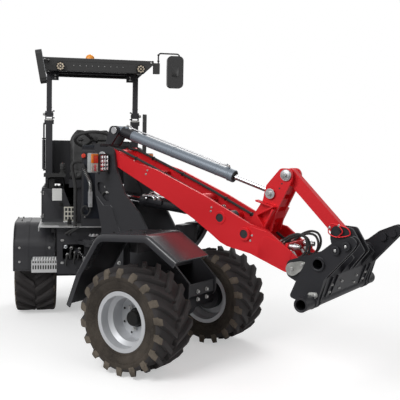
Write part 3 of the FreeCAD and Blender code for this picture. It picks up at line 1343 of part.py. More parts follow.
def steering_wheel():
    """Ring, hub and three spokes, drawn level and then leaned towards the seat."""
    body = new_body("steering_wheel")
    sketch = new_sketch(body, "ring_section", "XZ_Plane", ZERO)
    draw_circle(sketch, S.wheel_ring, ZERO, S.wheel_grip)
    revolve(body, sketch, "V_Axis")
    for index in range(3):
        spoke = new_sketch(body, f"spoke_{index}", "XY_Plane", -S.wheel_grip / 2)
        turn = math.radians(90 + 120 * index)
        across, up = math.cos(turn), math.sin(turn)
        reach = S.wheel_ring - 4
        wide = 16
        draw_outline(spoke, [
            (-up * wide, across * wide), (up * wide, -across * wide),
            (reach * across + up * wide, reach * up - across * wide),
            (reach * across - up * wide, reach * up + across * wide)])
        pad(body, spoke, S.wheel_grip * 0.8)
    flat_disc(body, "wheel_hub", ZERO, ZERO, 38, -22, 16)
    return body


def protective_frame():
    """Lower posts on the side boxes, and the part above the hinges that folds back."""
    lower = new_body("rops_lower")
    half, post = S.hoop_half, S.hoop_post
    middle = -S.hoop_x
    for hand, side in (("left", 1), ("right", -1)):
        ends = in_order((half - post / 2 - S.post_sleeve) * side, (half + post / 2 + S.post_sleeve) * side)
        box(lower, f"post_{hand}", (middle - post / 2 - S.post_sleeve, ends[0], S.box_top + S.fit_gap),
            (middle + post / 2 + S.post_sleeve, ends[1], S.hinge_z - 40))
        box(lower, f"hinge_seat_{hand}", (middle - post / 2, ends[0] - 12, S.hinge_z - 90),
            (middle + post / 2, ends[1] + 12, S.hinge_z - 50))
        for name, add in (("a", post / 2 + 2), ("b", -post / 2 - 12)):
            start = (half * side) + add
            box(lower, f"hinge_{name}_{hand}", (middle - post / 2, start, S.hinge_z - 90),
                (middle + post / 2, start + 10, S.hinge_z + 30))
        box(lower, f"post_foot_{hand}", (middle - 70, ends[0] - 10, S.box_top + S.fit_gap),
            (middle + 70, ends[1] + 10, S.box_top + 14))
        pin_ends = ((half * side) - post / 2 - 16, (half * side) + post / 2 + 16)
        side_disc(lower, f"hinge_pin_{hand}", middle, S.hinge_z, S.hinge_pin, pin_ends[0], pin_ends[1])
    # Gas strut beside the right post
    out = half + post / 2 + S.post_sleeve
    side = out + S.strut_radius + 2
    for name, low in (("low", S.hinge_z - 530), ("high", S.hinge_z - 96)):
        box(lower, f"strut_lug_{name}", (middle - 9, -side - 6, low), (middle + 9, -out + 2, low + 16))
    flat_disc(lower, "strut_tube", middle, -side, S.strut_radius, S.hinge_z - 515, S.hinge_z - 240)
    flat_disc(lower, "strut_rod", middle, -side, S.strut_rod, S.hinge_z - 245, S.hinge_z - 95)
    on_rear(lower)
    node(lower)

    upper = new_body("rops_upper")
    top = ROOF_UNDER - S.fit_gap
    for hand, side in (("left", 1), ("right", -1)):
        ends = in_order((half - post / 2) * side, (half + post / 2) * side)
        side_plate(upper, f"upper_post_{hand}", rectangle(middle - post / 2, middle + post / 2,
                   S.hinge_z - 24, top), ends[0], ends[1])
        ends = in_order((half - post / 2 - 62) * side, (half - post / 2 + 1) * side)
        box(upper, f"beam_box_{hand}", (middle - post / 2, ends[0], top - 62), (middle + post / 2, ends[1], top))
    between = half - S.rail_half - S.fit_gap
    box(upper, "upper_beam", (middle - post / 2, -between, top - 1), (middle + post / 2, between, top - 1 + post))
    side_bore(upper, "hinge_bore", middle, S.hinge_z, S.hinge_pin + S.pin_gap, -half - post, half + post)
    on_rear(upper)
    node(upper)


def seat_guard():
    """Sheet behind the seat, folded forward to the inner faces of the lower posts."""
    body = new_body("seat_guard")
    reach = S.hoop_half - S.hoop_post / 2 - S.post_sleeve - S.fit_gap
    rear, low = -S.guard_rear, S.box_top + 17
    front_plate(body, "guard_back", rectangle(-reach, reach, low, S.guard_top, 12), rear, rear + S.guard_sheet)
    for hand, side in (("left", 1), ("right", -1)):
        ends = in_order((reach - S.guard_sheet) * side, reach * side)
        side_plate(body, f"guard_wing_{hand}", [
            (rear + 1, low + 14), (-S.hoop_x, low), (-S.hoop_x, S.guard_top, 24), (rear + 1, S.guard_top - 14)],
            ends[0], ends[1])
    on_rear(body)
    return node(body)


def roof():
    body = new_body("roof")
    front, back, half = -S.roof_front, -S.roof_back, S.roof_half
    right, left = S.roof_shift - half, S.roof_shift + half
    slab = S.roof_top - S.roof_slab
    side_plate(body, "roof_slab", [
        (front, slab), (front, S.roof_top, 12), (back, S.roof_top, 25), (back, slab)], right, left)
    low = ROOF_UNDER - S.fascia_drop
    front_plate(body, "roof_fascia", [
        (right + S.fascia_slant / 2, low), (left - S.fascia_slant, low), (left, slab - 5), (left, slab + 5),
        (right, slab + 5), (right, slab - 5)], front - S.fascia_thick, front)
    front_plate(body, "roof_tail", [
        (right + S.fascia_slant, ROOF_UNDER), (left - S.fascia_slant, ROOF_UNDER), (left, slab + 5), (right, slab + 5)],
        back, back + S.fascia_thick)
    for hand, side in (("left", 1), ("right", -1)):
        ends = in_order((S.hoop_half - S.rail_half) * side, (S.hoop_half + S.rail_half) * side)
        box(body, f"roof_rail_{hand}", (back + 10, ends[0], ROOF_UNDER), (front - 10, ends[1], slab + 5))
    on_rear(body)
    return node(body)


def beacon():
    body = new_body("beacon")
    flat_disc(body, "beacon_foot", -S.hoop_x, S.beacon_y, S.beacon_radius + 6,
              S.roof_top + S.fit_gap, S.roof_top + 16)
    flat_disc(body, "beacon_dome", -S.hoop_x, S.beacon_y, S.beacon_radius,
              S.roof_top + 15, S.roof_top + S.beacon_high)
    on_rear(body)
    return node(body)


def work_lamps():
    lamps = []
    for hand, side in (("left", 1), ("right", -1)):
        lamp = new_body(f"work_lamp_{hand}")
        front_disc(lamp, f"work_lamp_case_{hand}", S.work_lamp_shift + (S.hoop_half - S.work_lamp_in) * side,
                   ROOF_UNDER + S.work_lamp_up, S.work_lamp, -S.roof_front + S.fit_gap, -S.roof_front + 30)
        lamps.append(on_rear(lamp))
    gather("work_lamps", lamps)


def mirrors():
    """Left mirror on a bent arm beside the roof, right one turned close to the roof's front."""
    front = -S.roof_front
    left_end = S.roof_shift + S.roof_half
    right_end = S.roof_shift - S.roof_half
    middle = S.roof_top - S.mirror_drop
    half_high, half_wide, arm = S.mirror_high / 2, S.mirror_wide / 2, S.mirror_arm
    bend = tied(24)

    bracket = new_body("mirror_bracket_left")
    box(bracket, "bracket_block_left", (front - 70, left_end + S.fit_gap, middle - 15),
        (front - 15, left_end + 58, middle + 80))
    case = new_body("mirror_left")
    across = left_end + S.mirror_reach
    front_plate(case, "mirror_case_left", rectangle(across - half_wide, across + half_wide, middle - half_high,
                middle + half_high, 40), front - 20, front - 20 + S.mirror_deep)
    back = front - 20 - S.fit_gap - arm
    post = left_end + 45
    arm_left = bent_tube("mirror_arm_left", [
        (back, post, middle + 80 + S.fit_gap), (back, post, middle + 171), (back, across + 45, middle + 171),
        (back, across + 45, middle + 50),
    ], arm, bend)

    turned = new_body("mirror_right")
    side_plate(turned, "mirror_case_right", rectangle(-half_wide, half_wide, -half_high, half_high, 40),
               -S.mirror_deep / 2, S.mirror_deep / 2)
    spot_x = front + half_wide + 12
    spot_y = right_end - 2
    lean = f"rotation(0; 0; {S.mirror_lean.text})"
    x = (S.pivot_x + spot_x).text
    y = (S.pivot_y + spot_y).text
    turned.setExpression("Placement", f"placement(vector({x}; {y}; {middle.text}); {lean})")
    arm_right = bent_tube("mirror_arm_right", [
        (front + S.fit_gap, right_end + 60, middle + 60), (spot_x, right_end + 60, middle + 60),
        (spot_x, right_end + 17, middle + 60),
    ], arm, bend)
    gather("mirrors", [on_rear(bracket), on_rear(case), on_rear(arm_left), turned, on_rear(arm_right)])


def steering_cylinder():
    run, rise = S.steer_eye_x, S.steer_eye_y
    eye_x = run * cosine(S.steer_angle) - rise * sine(S.steer_angle)
    eye_y = run * sine(S.steer_angle) + rise * cosine(S.steer_angle)
    run, rise = eye_x - S.steer_base_x, eye_y - S.steer_base_y
    length = distance(run, rise)
    heading = slope(rise, run)
    pieces = []
    for label, x, y in (("steer_barrel", S.steer_base_x, S.steer_base_y), ("steer_rod", eye_x, eye_y)):
        body = new_body(label)
        eye = S.steer_pin * S.eye_ratio
        flat_disc(body, f"{label}_eye", ZERO, ZERO, eye, -18, 18)
        if label == "steer_barrel":
            front_disc(body, f"{label}_tube", ZERO, ZERO, S.steer_barrel, eye * 0.8, S.steer_barrel_length)
            sketch = new_sketch(body, f"{label}_rod_bore", "YZ_Plane", S.steer_barrel_length)
            draw_circle(sketch, ZERO, ZERO, S.steer_rod + S.pin_gap)
            feature = body.newObject("PartDesign::Pocket", f"{label}_rod_pocket")
            feature.Profile = sketch
            feature.setExpression("Length", (S.steer_barrel_length - eye * S.bore_start).text)
        else:
            front_disc(body, f"{label}_bar", ZERO, ZERO, S.steer_rod,
                       eye * S.bore_start + S.steer_stroke - length, -eye * 0.7)
        flat_bore(body, f"{label}_pin_bore", ZERO, ZERO, S.steer_pin + S.pin_gap, -19, 19)
        on_rear(body, x, y, S.steer_height, heading)
        node(body)


# ---------------------------------------------------------------------------------------
# Build, check and write
# ---------------------------------------------------------------------------------------
def build():
    wheels()
    on_front(axle("front_axle", FRAME_FLOOR + 30), S.front_axle, ZERO, S.tyre_radius)
    on_rear(axle("rear_axle", FRAME_FLOOR + 110), -S.rear_axle, ZERO, S.tyre_radius)
    front_frame()
    gather("front_fenders", [front_fender(1), front_fender(-1)])
    front_lamps()
    boom()
    boom_hoses()
    lever()
    crosswise_pin("lever_pin", S.lever_pin_x, S.lever_pin_z, S.lever_pin, S.boom_half)
    crosswise_pin("link_pin", S.link_top_x, S.link_top_z, S.link_pin, S.lever_half)
    tilt_link()
    coupler()
    crosswise_pin("coupler_pin", S.coupler_pin_x, S.coupler_pin_z, S.coupler_pin, S.ear_half)
    cylinders()
    rear_frame()
    counterweight()
    engine()
    hood()
    tail_lamps()
    rear_fenders()
    platform()
    steps()
    side_boxes()
    seat()
    armrests()
    console()
    console_hoses()
    node(on_rear(steering_wheel(), -S.wheel_x, ZERO, S.wheel_z, ZERO, S.wheel_lean))
    protective_frame()
    seat_guard()
    roof()
    beacon()
    work_lamps()
    mirrors()
    steering_cylinder()


def check_and_write():
    doc.recompute()
    faults = [item.Label for item in doc.Objects if "Invalid" in item.State or "Error" in item.State]
    for piece in NODES:
        if piece.Shape.isNull() or not piece.Shape.isValid() or not piece.Shape.Solids:
            faults.append(piece.Label)
    if faults:
        raise SystemExit(f"faulty objects: {faults}")
    os.makedirs("parts", exist_ok=True)
    for piece in NODES:
        piece.Shape.exportStep(f"parts/{piece.Label}.step")


build()
check_and_write()
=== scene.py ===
"""Compact articulated wheel loader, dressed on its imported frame.

Sizes inside the classes are millimetres in the axes of the frame they belong to:
X ahead of the steering pivot, Y to the machine's left, Z up from the ground.
"""
import json
import logging
import math
from collections.abc import Iterable, Sequence
from dataclasses import dataclass
from enum import Enum

import bmesh
import bpy
from mathutils import Matrix, Vector


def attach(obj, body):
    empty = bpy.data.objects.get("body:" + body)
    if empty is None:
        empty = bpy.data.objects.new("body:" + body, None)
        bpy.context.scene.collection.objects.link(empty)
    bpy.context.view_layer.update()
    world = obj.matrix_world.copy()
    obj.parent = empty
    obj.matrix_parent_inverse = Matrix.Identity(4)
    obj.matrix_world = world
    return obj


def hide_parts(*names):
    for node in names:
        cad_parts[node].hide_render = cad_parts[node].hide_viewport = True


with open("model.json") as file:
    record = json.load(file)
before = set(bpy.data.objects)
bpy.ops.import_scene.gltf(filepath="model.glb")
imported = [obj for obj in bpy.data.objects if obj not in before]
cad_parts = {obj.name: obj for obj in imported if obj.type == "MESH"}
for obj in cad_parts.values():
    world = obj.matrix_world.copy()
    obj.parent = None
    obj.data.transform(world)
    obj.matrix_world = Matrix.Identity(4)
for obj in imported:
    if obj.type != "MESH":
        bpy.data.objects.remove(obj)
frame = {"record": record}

LOG = logging.getLogger("loader")
MM = 0.001
TAU = 2.0 * math.pi
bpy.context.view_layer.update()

Point = tuple[float, float, float]
Flat = tuple[float, float]
Colour = tuple[float, float, float]


# ---------------------------------------------------------------------------
# Places
# ---------------------------------------------------------------------------
@dataclass(frozen=True)
class Placement:
    """Axes of a sub-assembly in the machine's frame.

    Args:
        origin: Start of the axes, in metres.
        heading: Turn about the vertical, in degrees.
        pitch: Raise of the X axis, in degrees.
    """

    origin: Point
    heading: float = 0.0
    pitch: float = 0.0

    def matrix(self) -> Matrix:
        """Return the matrix from millimetres in these axes to metres in the machine's frame."""
        turn = Matrix.Rotation(math.radians(self.heading), 4, "Z")
        rise = Matrix.Rotation(-math.radians(self.pitch), 4, "Y")
        return Matrix.Translation(self.origin) @ turn @ rise @ Matrix.Scale(MM, 4)

    def shifted(self, along: float, across: float, up: float, pitch: float = 0.0) -> "Placement":
        """Return axes that start at a point of these ones.

        Args:
            along: X of the new start, in millimetres.
            across: Y of the new start.
            up: Z of the new start.
            pitch: Extra raise of the X axis, in degrees.

        Returns:
            The new placement.
        """
        start = self.matrix() @ Vector((along, across, up))
        return Placement(tuple(start), self.heading, self.pitch + pitch)


PIVOT: Point = (-0.22396, -0.6739, 0.0)
FRONT = Placement(PIVOT, heading=44.9)
REAR = Placement(PIVOT)


class Side(Enum):
    """Hand of a paired piece, with its sign along Y."""

    LEFT = 1
    RIGHT = -1

    @property
    def word(self) -> str:
        """Return the hand in lower case, for names."""
        return self.name.lower()


class Plane(Enum):
    """Which way a flat outline is thickened."""

    SIDE = "outline in X and Z, thick along Y"
    FACE = "outline in Y and Z, thick along X"
    LEVEL = "outline in X and Y, thick along Z"

    def place(self, first: float, second: float, depth: float) -> Vector:
        """Return the point of an outline's corner at a depth.

        Args:
            first: First coordinate of the corner.
            second: Second coordinate.
            depth: Place along the thickness.

        Returns:
            The corner in the sub-assembly's axes.
        """
        if self is Plane.SIDE:
            return Vector((first, depth, second))
        if self is Plane.FACE:
            return Vector((depth, first, second))
        return Vector((first, second, depth))


# ---------------------------------------------------------------------------
# Shader effects shared by the finishes
# ---------------------------------------------------------------------------
class Effect:
    """A shader node group with named sockets, built once."""

    _made: dict[str, bpy.types.NodeTree] = {}

    @classmethod
    def tree(cls, name: str, inputs: Sequence[tuple[str, str, object]],
             outputs: Sequence[tuple[str, str]]) -> tuple[bpy.types.NodeTree, bool]:
        """Return a group by name, new or made before.

        Args:
            name: Name of the group.
            inputs: Name, socket type and default of each input.
            outputs: Name and socket type of each output.

        Returns:
            The group and whether it is new and still empty.
        """
        if name in cls._made:
            return cls._made[name], False
        tree = bpy.data.node_groups.new(name, "ShaderNodeTree")
        for label, kind, default in inputs:
            socket = tree.interface.new_socket(label, in_out="INPUT", socket_type=kind)
            if default is not None:
                socket.default_value = default
        for label, kind in outputs:
            tree.interface.new_socket(label, in_out="OUTPUT", socket_type=kind)
        cls._made[name] = tree
        return tree, True


class Nodes:
    """Short hand for adding and linking nodes in one tree."""

    def __init__(self, tree: bpy.types.NodeTree) -> None:
        """Keep the tree that the nodes go into."""
        self.tree = tree

    def add(self, kind: str, values: dict[str | int, object] | None = None,
            **settings: object) -> bpy.types.Node:
        """Add a node.

        Args:
            kind: Blender's type name of the node.
            values: Plain values, or sockets to link, by input name.
            **settings: Properties of the node itself.

        Returns:
            The new node.
        """
        node = self.tree.nodes.new(kind)
        for key, value in settings.items():
            setattr(node, key, value)
        for key, value in (values or {}).items():
            self.put(node, key, value)
        return node

    def put(self, node: bpy.types.Node, key: str | int, value: object) -> None:
        """Set an input of a node to a plain value, or link it to a socket.

        Args:
            node: Node whose input is set.
            key: Name or number of the input.
            value: Plain value, or a socket to link.
        """
        socket = node.inputs[key]
        if isinstance(value, bpy.types.NodeSocket):
            self.tree.links.new(value, socket)
        else:
            socket.default_value = value

    def math(self, kind: str, first: object, second: object = 0.0,
             clamp: bool = False) -> bpy.types.NodeSocket:
        """Return the result of a Math node on two values or sockets.

        Args:
            kind: Blender's name of the operation.
            first: First value or socket.
            second: Second value or socket.
            clamp: Whether the result is held between 0 and 1.

        Returns:
            The socket of the result.
        """
        node = self.add("ShaderNodeMath", operation=kind, use_clamp=clamp)
        self.put(node, 0, first)
        self.put(node, 1, second)
        return node.outputs[0]

    def blend(self, factor: object, first: object, second: object) -> bpy.types.NodeSocket:
        """Return the colour between two colours at a factor.

        Args:
            factor: Share of the second colour, value or socket.
            first: First colour or socket.
            second: Second colour or socket.

        Returns:
            The socket of the colour between them.
        """
        node = self.add("ShaderNodeMix", data_type="RGBA")
        self.put(node, 0, factor)
        self.put(node, 6, first)
        self.put(node, 7, second)
        return node.outputs[2]

    def span(self, value: object, low: float, high: float, start: float = 0.0,
             end: float = 1.0) -> bpy.types.NodeSocket:
        """Return a value mapped from one range to another, held inside it.

        Args:
            value: Value or socket to map.
            low: Start of the range it comes from.
            high: End of that range.
            start: Start of the range it goes to.
            end: End of that range.

        Returns:
            The socket of the mapped value.
        """
        node = self.add("ShaderNodeMapRange")
        node.clamp = True
        self.put(node, 0, value)
        for key, number in ((1, low), (2, high), (3, start), (4, end)):
            self.put(node, key, number)
        return node.outputs[0]

    def noise(self, where: object, scale: object, detail: float = 4.0,
              rough: float = 0.5) -> bpy.types.NodeSocket:
        """Return noise between 0 and 1 at a place."""
        node = self.add("ShaderNodeTexNoise",
                        {"Vector": where, "Scale": scale, "Detail": detail, "Roughness": rough})
        return node.outputs["Fac"]


def dust_effect() -> bpy.types.NodeTree:
    """Return the group that gives a mask of settled dust, more on faces that look up."""
    tree, fresh = Effect.tree(
        "settled_dust",
        [("Amount", "NodeSocketFloat", 0.3), ("Scale", "NodeSocketFloat", 6.0),
         ("Rise", "NodeSocketFloat", 0.5)],
        [("Mask", "NodeSocketFloat")])
    if fresh:
        kit = Nodes(tree)
        given = kit.add("NodeGroupInput")
        place = kit.add("ShaderNodeTexCoord").outputs["Object"]
        facing = kit.add("ShaderNodeSeparateXYZ",
                         {0: kit.add("ShaderNodeNewGeometry").outputs["Normal"]}).outputs[2]
        height = kit.add("ShaderNodeSeparateXYZ", {0: place}).outputs[2]
        broad = kit.noise(place, given.outputs["Scale"])
        fine = kit.noise(place, kit.math("MULTIPLY", given.outputs["Scale"], 14.0), 6.0, 0.7)
        grain = kit.math("ADD", kit.math("MULTIPLY", broad, 0.6), kit.math("MULTIPLY", fine, 0.4))
        low = kit.span(height, 0.0, given.outputs["Rise"], 1.0, 0.0)
        up = kit.span(facing, 0.2, 0.95, 0.25, 1.0)
        cover = kit.math("MULTIPLY", kit.math("MAXIMUM", low, up), kit.span(grain, 0.42, 0.66))
        kit.add("NodeGroupOutput", {"Mask": kit.math("MULTIPLY", cover, given.outputs["Amount"], clamp=True)})
    return tree


def wear_effect() -> bpy.types.NodeTree:
    """Return the group that gives a mask of paint rubbed off along edges and in scratches."""
    tree, fresh = Effect.tree(
        "edge_wear", [("Amount", "NodeSocketFloat", 0.3), ("Scale", "NodeSocketFloat", 30.0)],
        [("Mask", "NodeSocketFloat")])
    if fresh:
        kit = Nodes(tree)
        given = kit.add("NodeGroupInput")
        place = kit.add("ShaderNodeTexCoord").outputs["Object"]
        bend = kit.add("ShaderNodeNewGeometry").outputs["Pointiness"]
        edge = kit.span(bend, 0.53, 0.62)
        patch = kit.span(kit.noise(place, given.outputs["Scale"], 8.0, 0.7), 0.45, 0.62)
        stretched = kit.add("ShaderNodeMapping", {"Vector": place, "Scale": (6.0, 90.0, 40.0)}).outputs[0]
        scratch = kit.span(kit.noise(stretched, 1.6, 3.0, 0.8), 0.7, 0.76)
        mask = kit.math("MAXIMUM", kit.math("MULTIPLY", edge, patch), kit.math("MULTIPLY", scratch, 0.25))
        kit.add("NodeGroupOutput", {"Mask": kit.math("MULTIPLY", mask, given.outputs["Amount"], clamp=True)})
    return tree


def grain_effect() -> bpy.types.NodeTree:
    """Return the group that gives a fine moulded or leathery grain as a normal and a value."""
    tree, fresh = Effect.tree(
        "moulded_grain",
        [("Scale", "NodeSocketFloat", 700.0), ("Depth", "NodeSocketFloat", 0.2),
         ("Distance", "NodeSocketFloat", 0.001)],
        [("Value", "NodeSocketFloat"), ("Normal", "NodeSocketVector")])
    if fresh:
        kit = Nodes(tree)
        given = kit.add("NodeGroupInput")
        place = kit.add("ShaderNodeTexCoord").outputs["Object"]
        cells = kit.add("ShaderNodeTexVoronoi", {"Vector": place, "Scale": given.outputs["Scale"]})
        fine = kit.noise(place, kit.math("MULTIPLY", given.outputs["Scale"], 0.6), 3.0, 0.6)
        value = kit.math("ADD", kit.math("MULTIPLY", cells.outputs["Distance"], 0.6),
                         kit.math("MULTIPLY", fine, 0.5))
        bump = kit.add("ShaderNodeBump", {
            "Strength": given.outputs["Depth"], "Distance": given.outputs["Distance"], "Height": value})
        kit.add("NodeGroupOutput", {"Value": value, "Normal": bump.outputs[0]})
    return tree


def raised_bars_effect() -> bpy.types.NodeTree:
    """Return the group for floor plate with short raised bars, laid one way and the other by turns."""
    tree, fresh = Effect.tree(
        "raised_bars", [("Pitch", "NodeSocketFloat", 0.03), ("Depth", "NodeSocketFloat", 0.8)],
        [("Mask", "NodeSocketFloat"), ("Normal", "NodeSocketVector")])
    if fresh:
        kit = Nodes(tree)
        given = kit.add("NodeGroupInput")
        place = kit.add("ShaderNodeTexCoord").outputs["Object"]
        turned = kit.add("ShaderNodeVectorRotate", {"Vector": place, "Angle": math.radians(45.0)},
                         rotation_type="Z_AXIS").outputs[0]
        parts = kit.add("ShaderNodeSeparateXYZ", {0: turned})
        across = kit.math("DIVIDE", parts.outputs[0], given.outputs["Pitch"])
        along = kit.math("DIVIDE", parts.outputs[1], given.outputs["Pitch"])
        odd = kit.math("MODULO", kit.math("ADD", kit.math("FLOOR", across), kit.math("FLOOR", along)), 2.0)
        odd = kit.math("ABSOLUTE", odd)
        first = kit.math("SUBTRACT", kit.math("FRACT", across), 0.5)
        second = kit.math("SUBTRACT", kit.math("FRACT", along), 0.5)
        masks = []
        for long_way, short_way in ((first, second), (second, first)):
            long_part = kit.math("POWER", kit.math("ABSOLUTE", kit.math("DIVIDE", long_way, 0.44)), 2.0)
            short_part = kit.math("POWER", kit.math("ABSOLUTE", kit.math("DIVIDE", short_way, 0.13)), 2.0)
            masks.append(kit.span(kit.math("ADD", long_part, short_part), 0.5, 1.0, 1.0, 0.0))
        mask = kit.math("ADD", kit.math("MULTIPLY", masks[0], kit.math("SUBTRACT", 1.0, odd)),
                        kit.math("MULTIPLY", masks[1], odd))
        bump = kit.add("ShaderNodeBump",
                       {"Strength": given.outputs["Depth"], "Distance": 0.002, "Height": mask})
        kit.add("NodeGroupOutput", {"Mask": mask, "Normal": bump.outputs[0]})
    return tree


# ---------------------------------------------------------------------------
# Finishes
# ---------------------------------------------------------------------------
@dataclass(frozen=True)
class Finish:
    """A surface as it is made and used.

    Args:
        name: Name of the material.
        colour: Colour of the clean surface.
        rough: Roughness of the clean surface.
        metal: 1 for uncoated metal, 0 for paint, plastic and rubber.
        coat: Weight of a clear coat.
        gloss: Specular level under the coat.
        mottle: How far the colour varies over the surface.
        dust: Amount of settled dust.
        dust_colour: Colour of that dust.
        dust_rise: Height up to which dust is thrown, in metres.
        wear: Amount of wear along edges.
        wear_colour: Colour that shows where it is worn.
        grain: Depth of a moulded grain.
        grain_scale: Cells of that grain per metre.
    """

    name: str
    colour: Colour
    rough: float = 0.35
    metal: float = 0.0
    coat: float = 0.0
    gloss: float = 0.5
    mottle: float = 0.12
    dust: float = 0.15
    dust_colour: Colour = (0.30, 0.27, 0.23)
    dust_rise: float = 0.5
    wear: float = 0.0
    wear_colour: Colour = (0.35, 0.35, 0.36)
    grain: float = 0.0
    grain_scale: float = 700.0

    def material(self) -> bpy.types.Material:
        """Return the material of this finish, made the first time it is asked for."""
        known = bpy.data.materials.get(self.name)
        if known is not None:
            return known
        made = bpy.data.materials.new(self.name)
        made.use_nodes = True
        made.node_tree.nodes.clear()
        kit = Nodes(made.node_tree)
        shader = kit.add("ShaderNodeBsdfPrincipled")
        kit.add("ShaderNodeOutputMaterial", {"Surface": shader.outputs[0]})
        shader.inputs["Coat Weight"].default_value = self.coat
        shader.inputs["Coat Roughness"].default_value = 0.06
        shader.inputs["Specular IOR Level"].default_value = self.gloss
        made.diffuse_color = (*self.colour, 1.0)
        self.shade(kit, shader)
        return made

    def base(self, kit: Nodes) -> tuple[bpy.types.NodeSocket, bpy.types.NodeSocket]:
        """Return the colour and the roughness before dust and wear.

        Args:
            kit: Nodes of the material.

        Returns:
            The sockets of the colour and of the roughness.
        """
        place = kit.add("ShaderNodeTexCoord").outputs["Object"]
        cloud = kit.noise(place, 9.0, 6.0, 0.6)
        light = tuple(min(1.0, part * (1.0 + self.mottle)) for part in self.colour)
        dark = tuple(part * (1.0 - self.mottle) for part in self.colour)
        colour = kit.blend(kit.span(cloud, 0.3, 0.7), (*dark, 1.0), (*light, 1.0))
        rough = kit.span(kit.noise(place, 40.0, 5.0, 0.6), 0.3, 0.7, self.rough * 0.8,
                         min(1.0, self.rough * 1.2))
        return colour, rough

    def shade(self, kit: Nodes, shader: bpy.types.Node) -> None:
        """Link the surface into its shader.

        Args:
            kit: Nodes of the material.
            shader: The Principled shader of the material.
        """
        colour, rough = self.base(kit)
        kit.put(shader, "Metallic", self.metal)
        if self.wear > 0.0:
            worn = kit.add("ShaderNodeGroup", node_tree=wear_effect())
            worn.inputs["Amount"].default_value = self.wear
            colour = kit.blend(worn.outputs["Mask"], colour, (*self.wear_colour, 1.0))
        if self.dust > 0.0:
            dusty = kit.add("ShaderNodeGroup", node_tree=dust_effect())
            dusty.inputs["Amount"].default_value = self.dust
            dusty.inputs["Rise"].default_value = self.dust_rise
            colour = kit.blend(dusty.outputs["Mask"], colour, (*self.dust_colour, 1.0))
            rough = kit.math("MAXIMUM", rough, kit.math("MULTIPLY", dusty.outputs["Mask"], 0.85))
        kit.put(shader, "Base Color", colour)
        kit.put(shader, "Roughness", rough)
        if self.grain > 0.0:
            grained = kit.add("ShaderNodeGroup", node_tree=grain_effect())
            grained.inputs["Scale"].default_value = self.grain_scale
            grained.inputs["Depth"].default_value = self.grain
            kit.put(shader, "Normal", grained.outputs["Normal"])


@dataclass(frozen=True)
class BarPlate(Finish):
    """Aluminium floor plate with raised bars, darker between them.

    Args:
        pitch: Distance from bar to bar, in metres.
    """

    pitch: float = 0.03

    def shade(self, kit: Nodes, shader: bpy.types.Node) -> None:
        """Link the bars, rubbed bright on top, into the shader.

        Args:
            kit: Nodes of the material.
            shader: The Principled shader of the material.
        """
        colour, rough = self.base(kit)
        bars = kit.add("ShaderNodeGroup", node_tree=raised_bars_effect())
        bars.inputs["Pitch"].default_value = self.pitch
        dull = tuple(part * 0.55 for part in self.colour)
        colour = kit.blend(bars.outputs["Mask"], (*dull, 1.0), colour)
        dusty = kit.add("ShaderNodeGroup", node_tree=dust_effect())
        dusty.inputs["Amount"].default_value = self.dust
        colour = kit.blend(dusty.outputs["Mask"], colour, (*self.dust_colour, 1.0))
        kit.put(shader, "Base Color", colour)
        kit.put(shader, "Roughness", rough)
        kit.put(shader, "Metallic",
                kit.math("SUBTRACT", self.metal, kit.math("MULTIPLY", dusty.outputs["Mask"], 0.8)))
        kit.put(shader, "Normal", bars.outputs["Normal"])


@dataclass(frozen=True)
class Lens(Finish):
    """Clear or coloured lamp cover.

    Args:
        glow: Strength of the light inside it.
        clear: Share of light that passes through.
    """

    glow: float = 0.0
    clear: float = 0.0

    def shade(self, kit: Nodes, shader: bpy.types.Node) -> None:
        """Link the ribbed lens into the shader.

        Args:
            kit: Nodes of the material.
            shader: The Principled shader of the material.
        """
        colour, rough = self.base(kit)
        kit.put(shader, "Base Color", colour)
        kit.put(shader, "Roughness", rough)
        shader.inputs["Transmission Weight"].default_value = self.clear
        shader.inputs["Emission Strength"].default_value = self.glow
        kit.put(shader, "Emission Color", colour)
        place = kit.add("ShaderNodeTexCoord").outputs["Object"]
        ribs = kit.add("ShaderNodeTexWave", {"Vector": place, "Scale": 60.0}, bands_direction="Z")
        bump = kit.add("ShaderNodeBump", {"Strength": 0.25, "Distance": 0.001, "Height": ribs.outputs["Fac"]})
        kit.put(shader, "Normal", bump.outputs[0])


@dataclass(frozen=True)
class Vinyl(Finish):
    """Seat cover with a leathery grain and darker creases."""

    def base(self, kit: Nodes) -> tuple[bpy.types.NodeSocket, bpy.types.NodeSocket]:
        """Return a colour that lightens where the cover is stretched.

        Args:
            kit: Nodes of the material.

        Returns:
            The sockets of the colour and of the roughness.
        """
        colour, rough = super().base(kit)
        bend = kit.add("ShaderNodeNewGeometry").outputs["Pointiness"]
        polished = tuple(min(1.0, part * 1.7) for part in self.colour)
        return kit.blend(kit.span(bend, 0.5, 0.56, 0.0, 0.6), colour, (*polished, 1.0)), rough


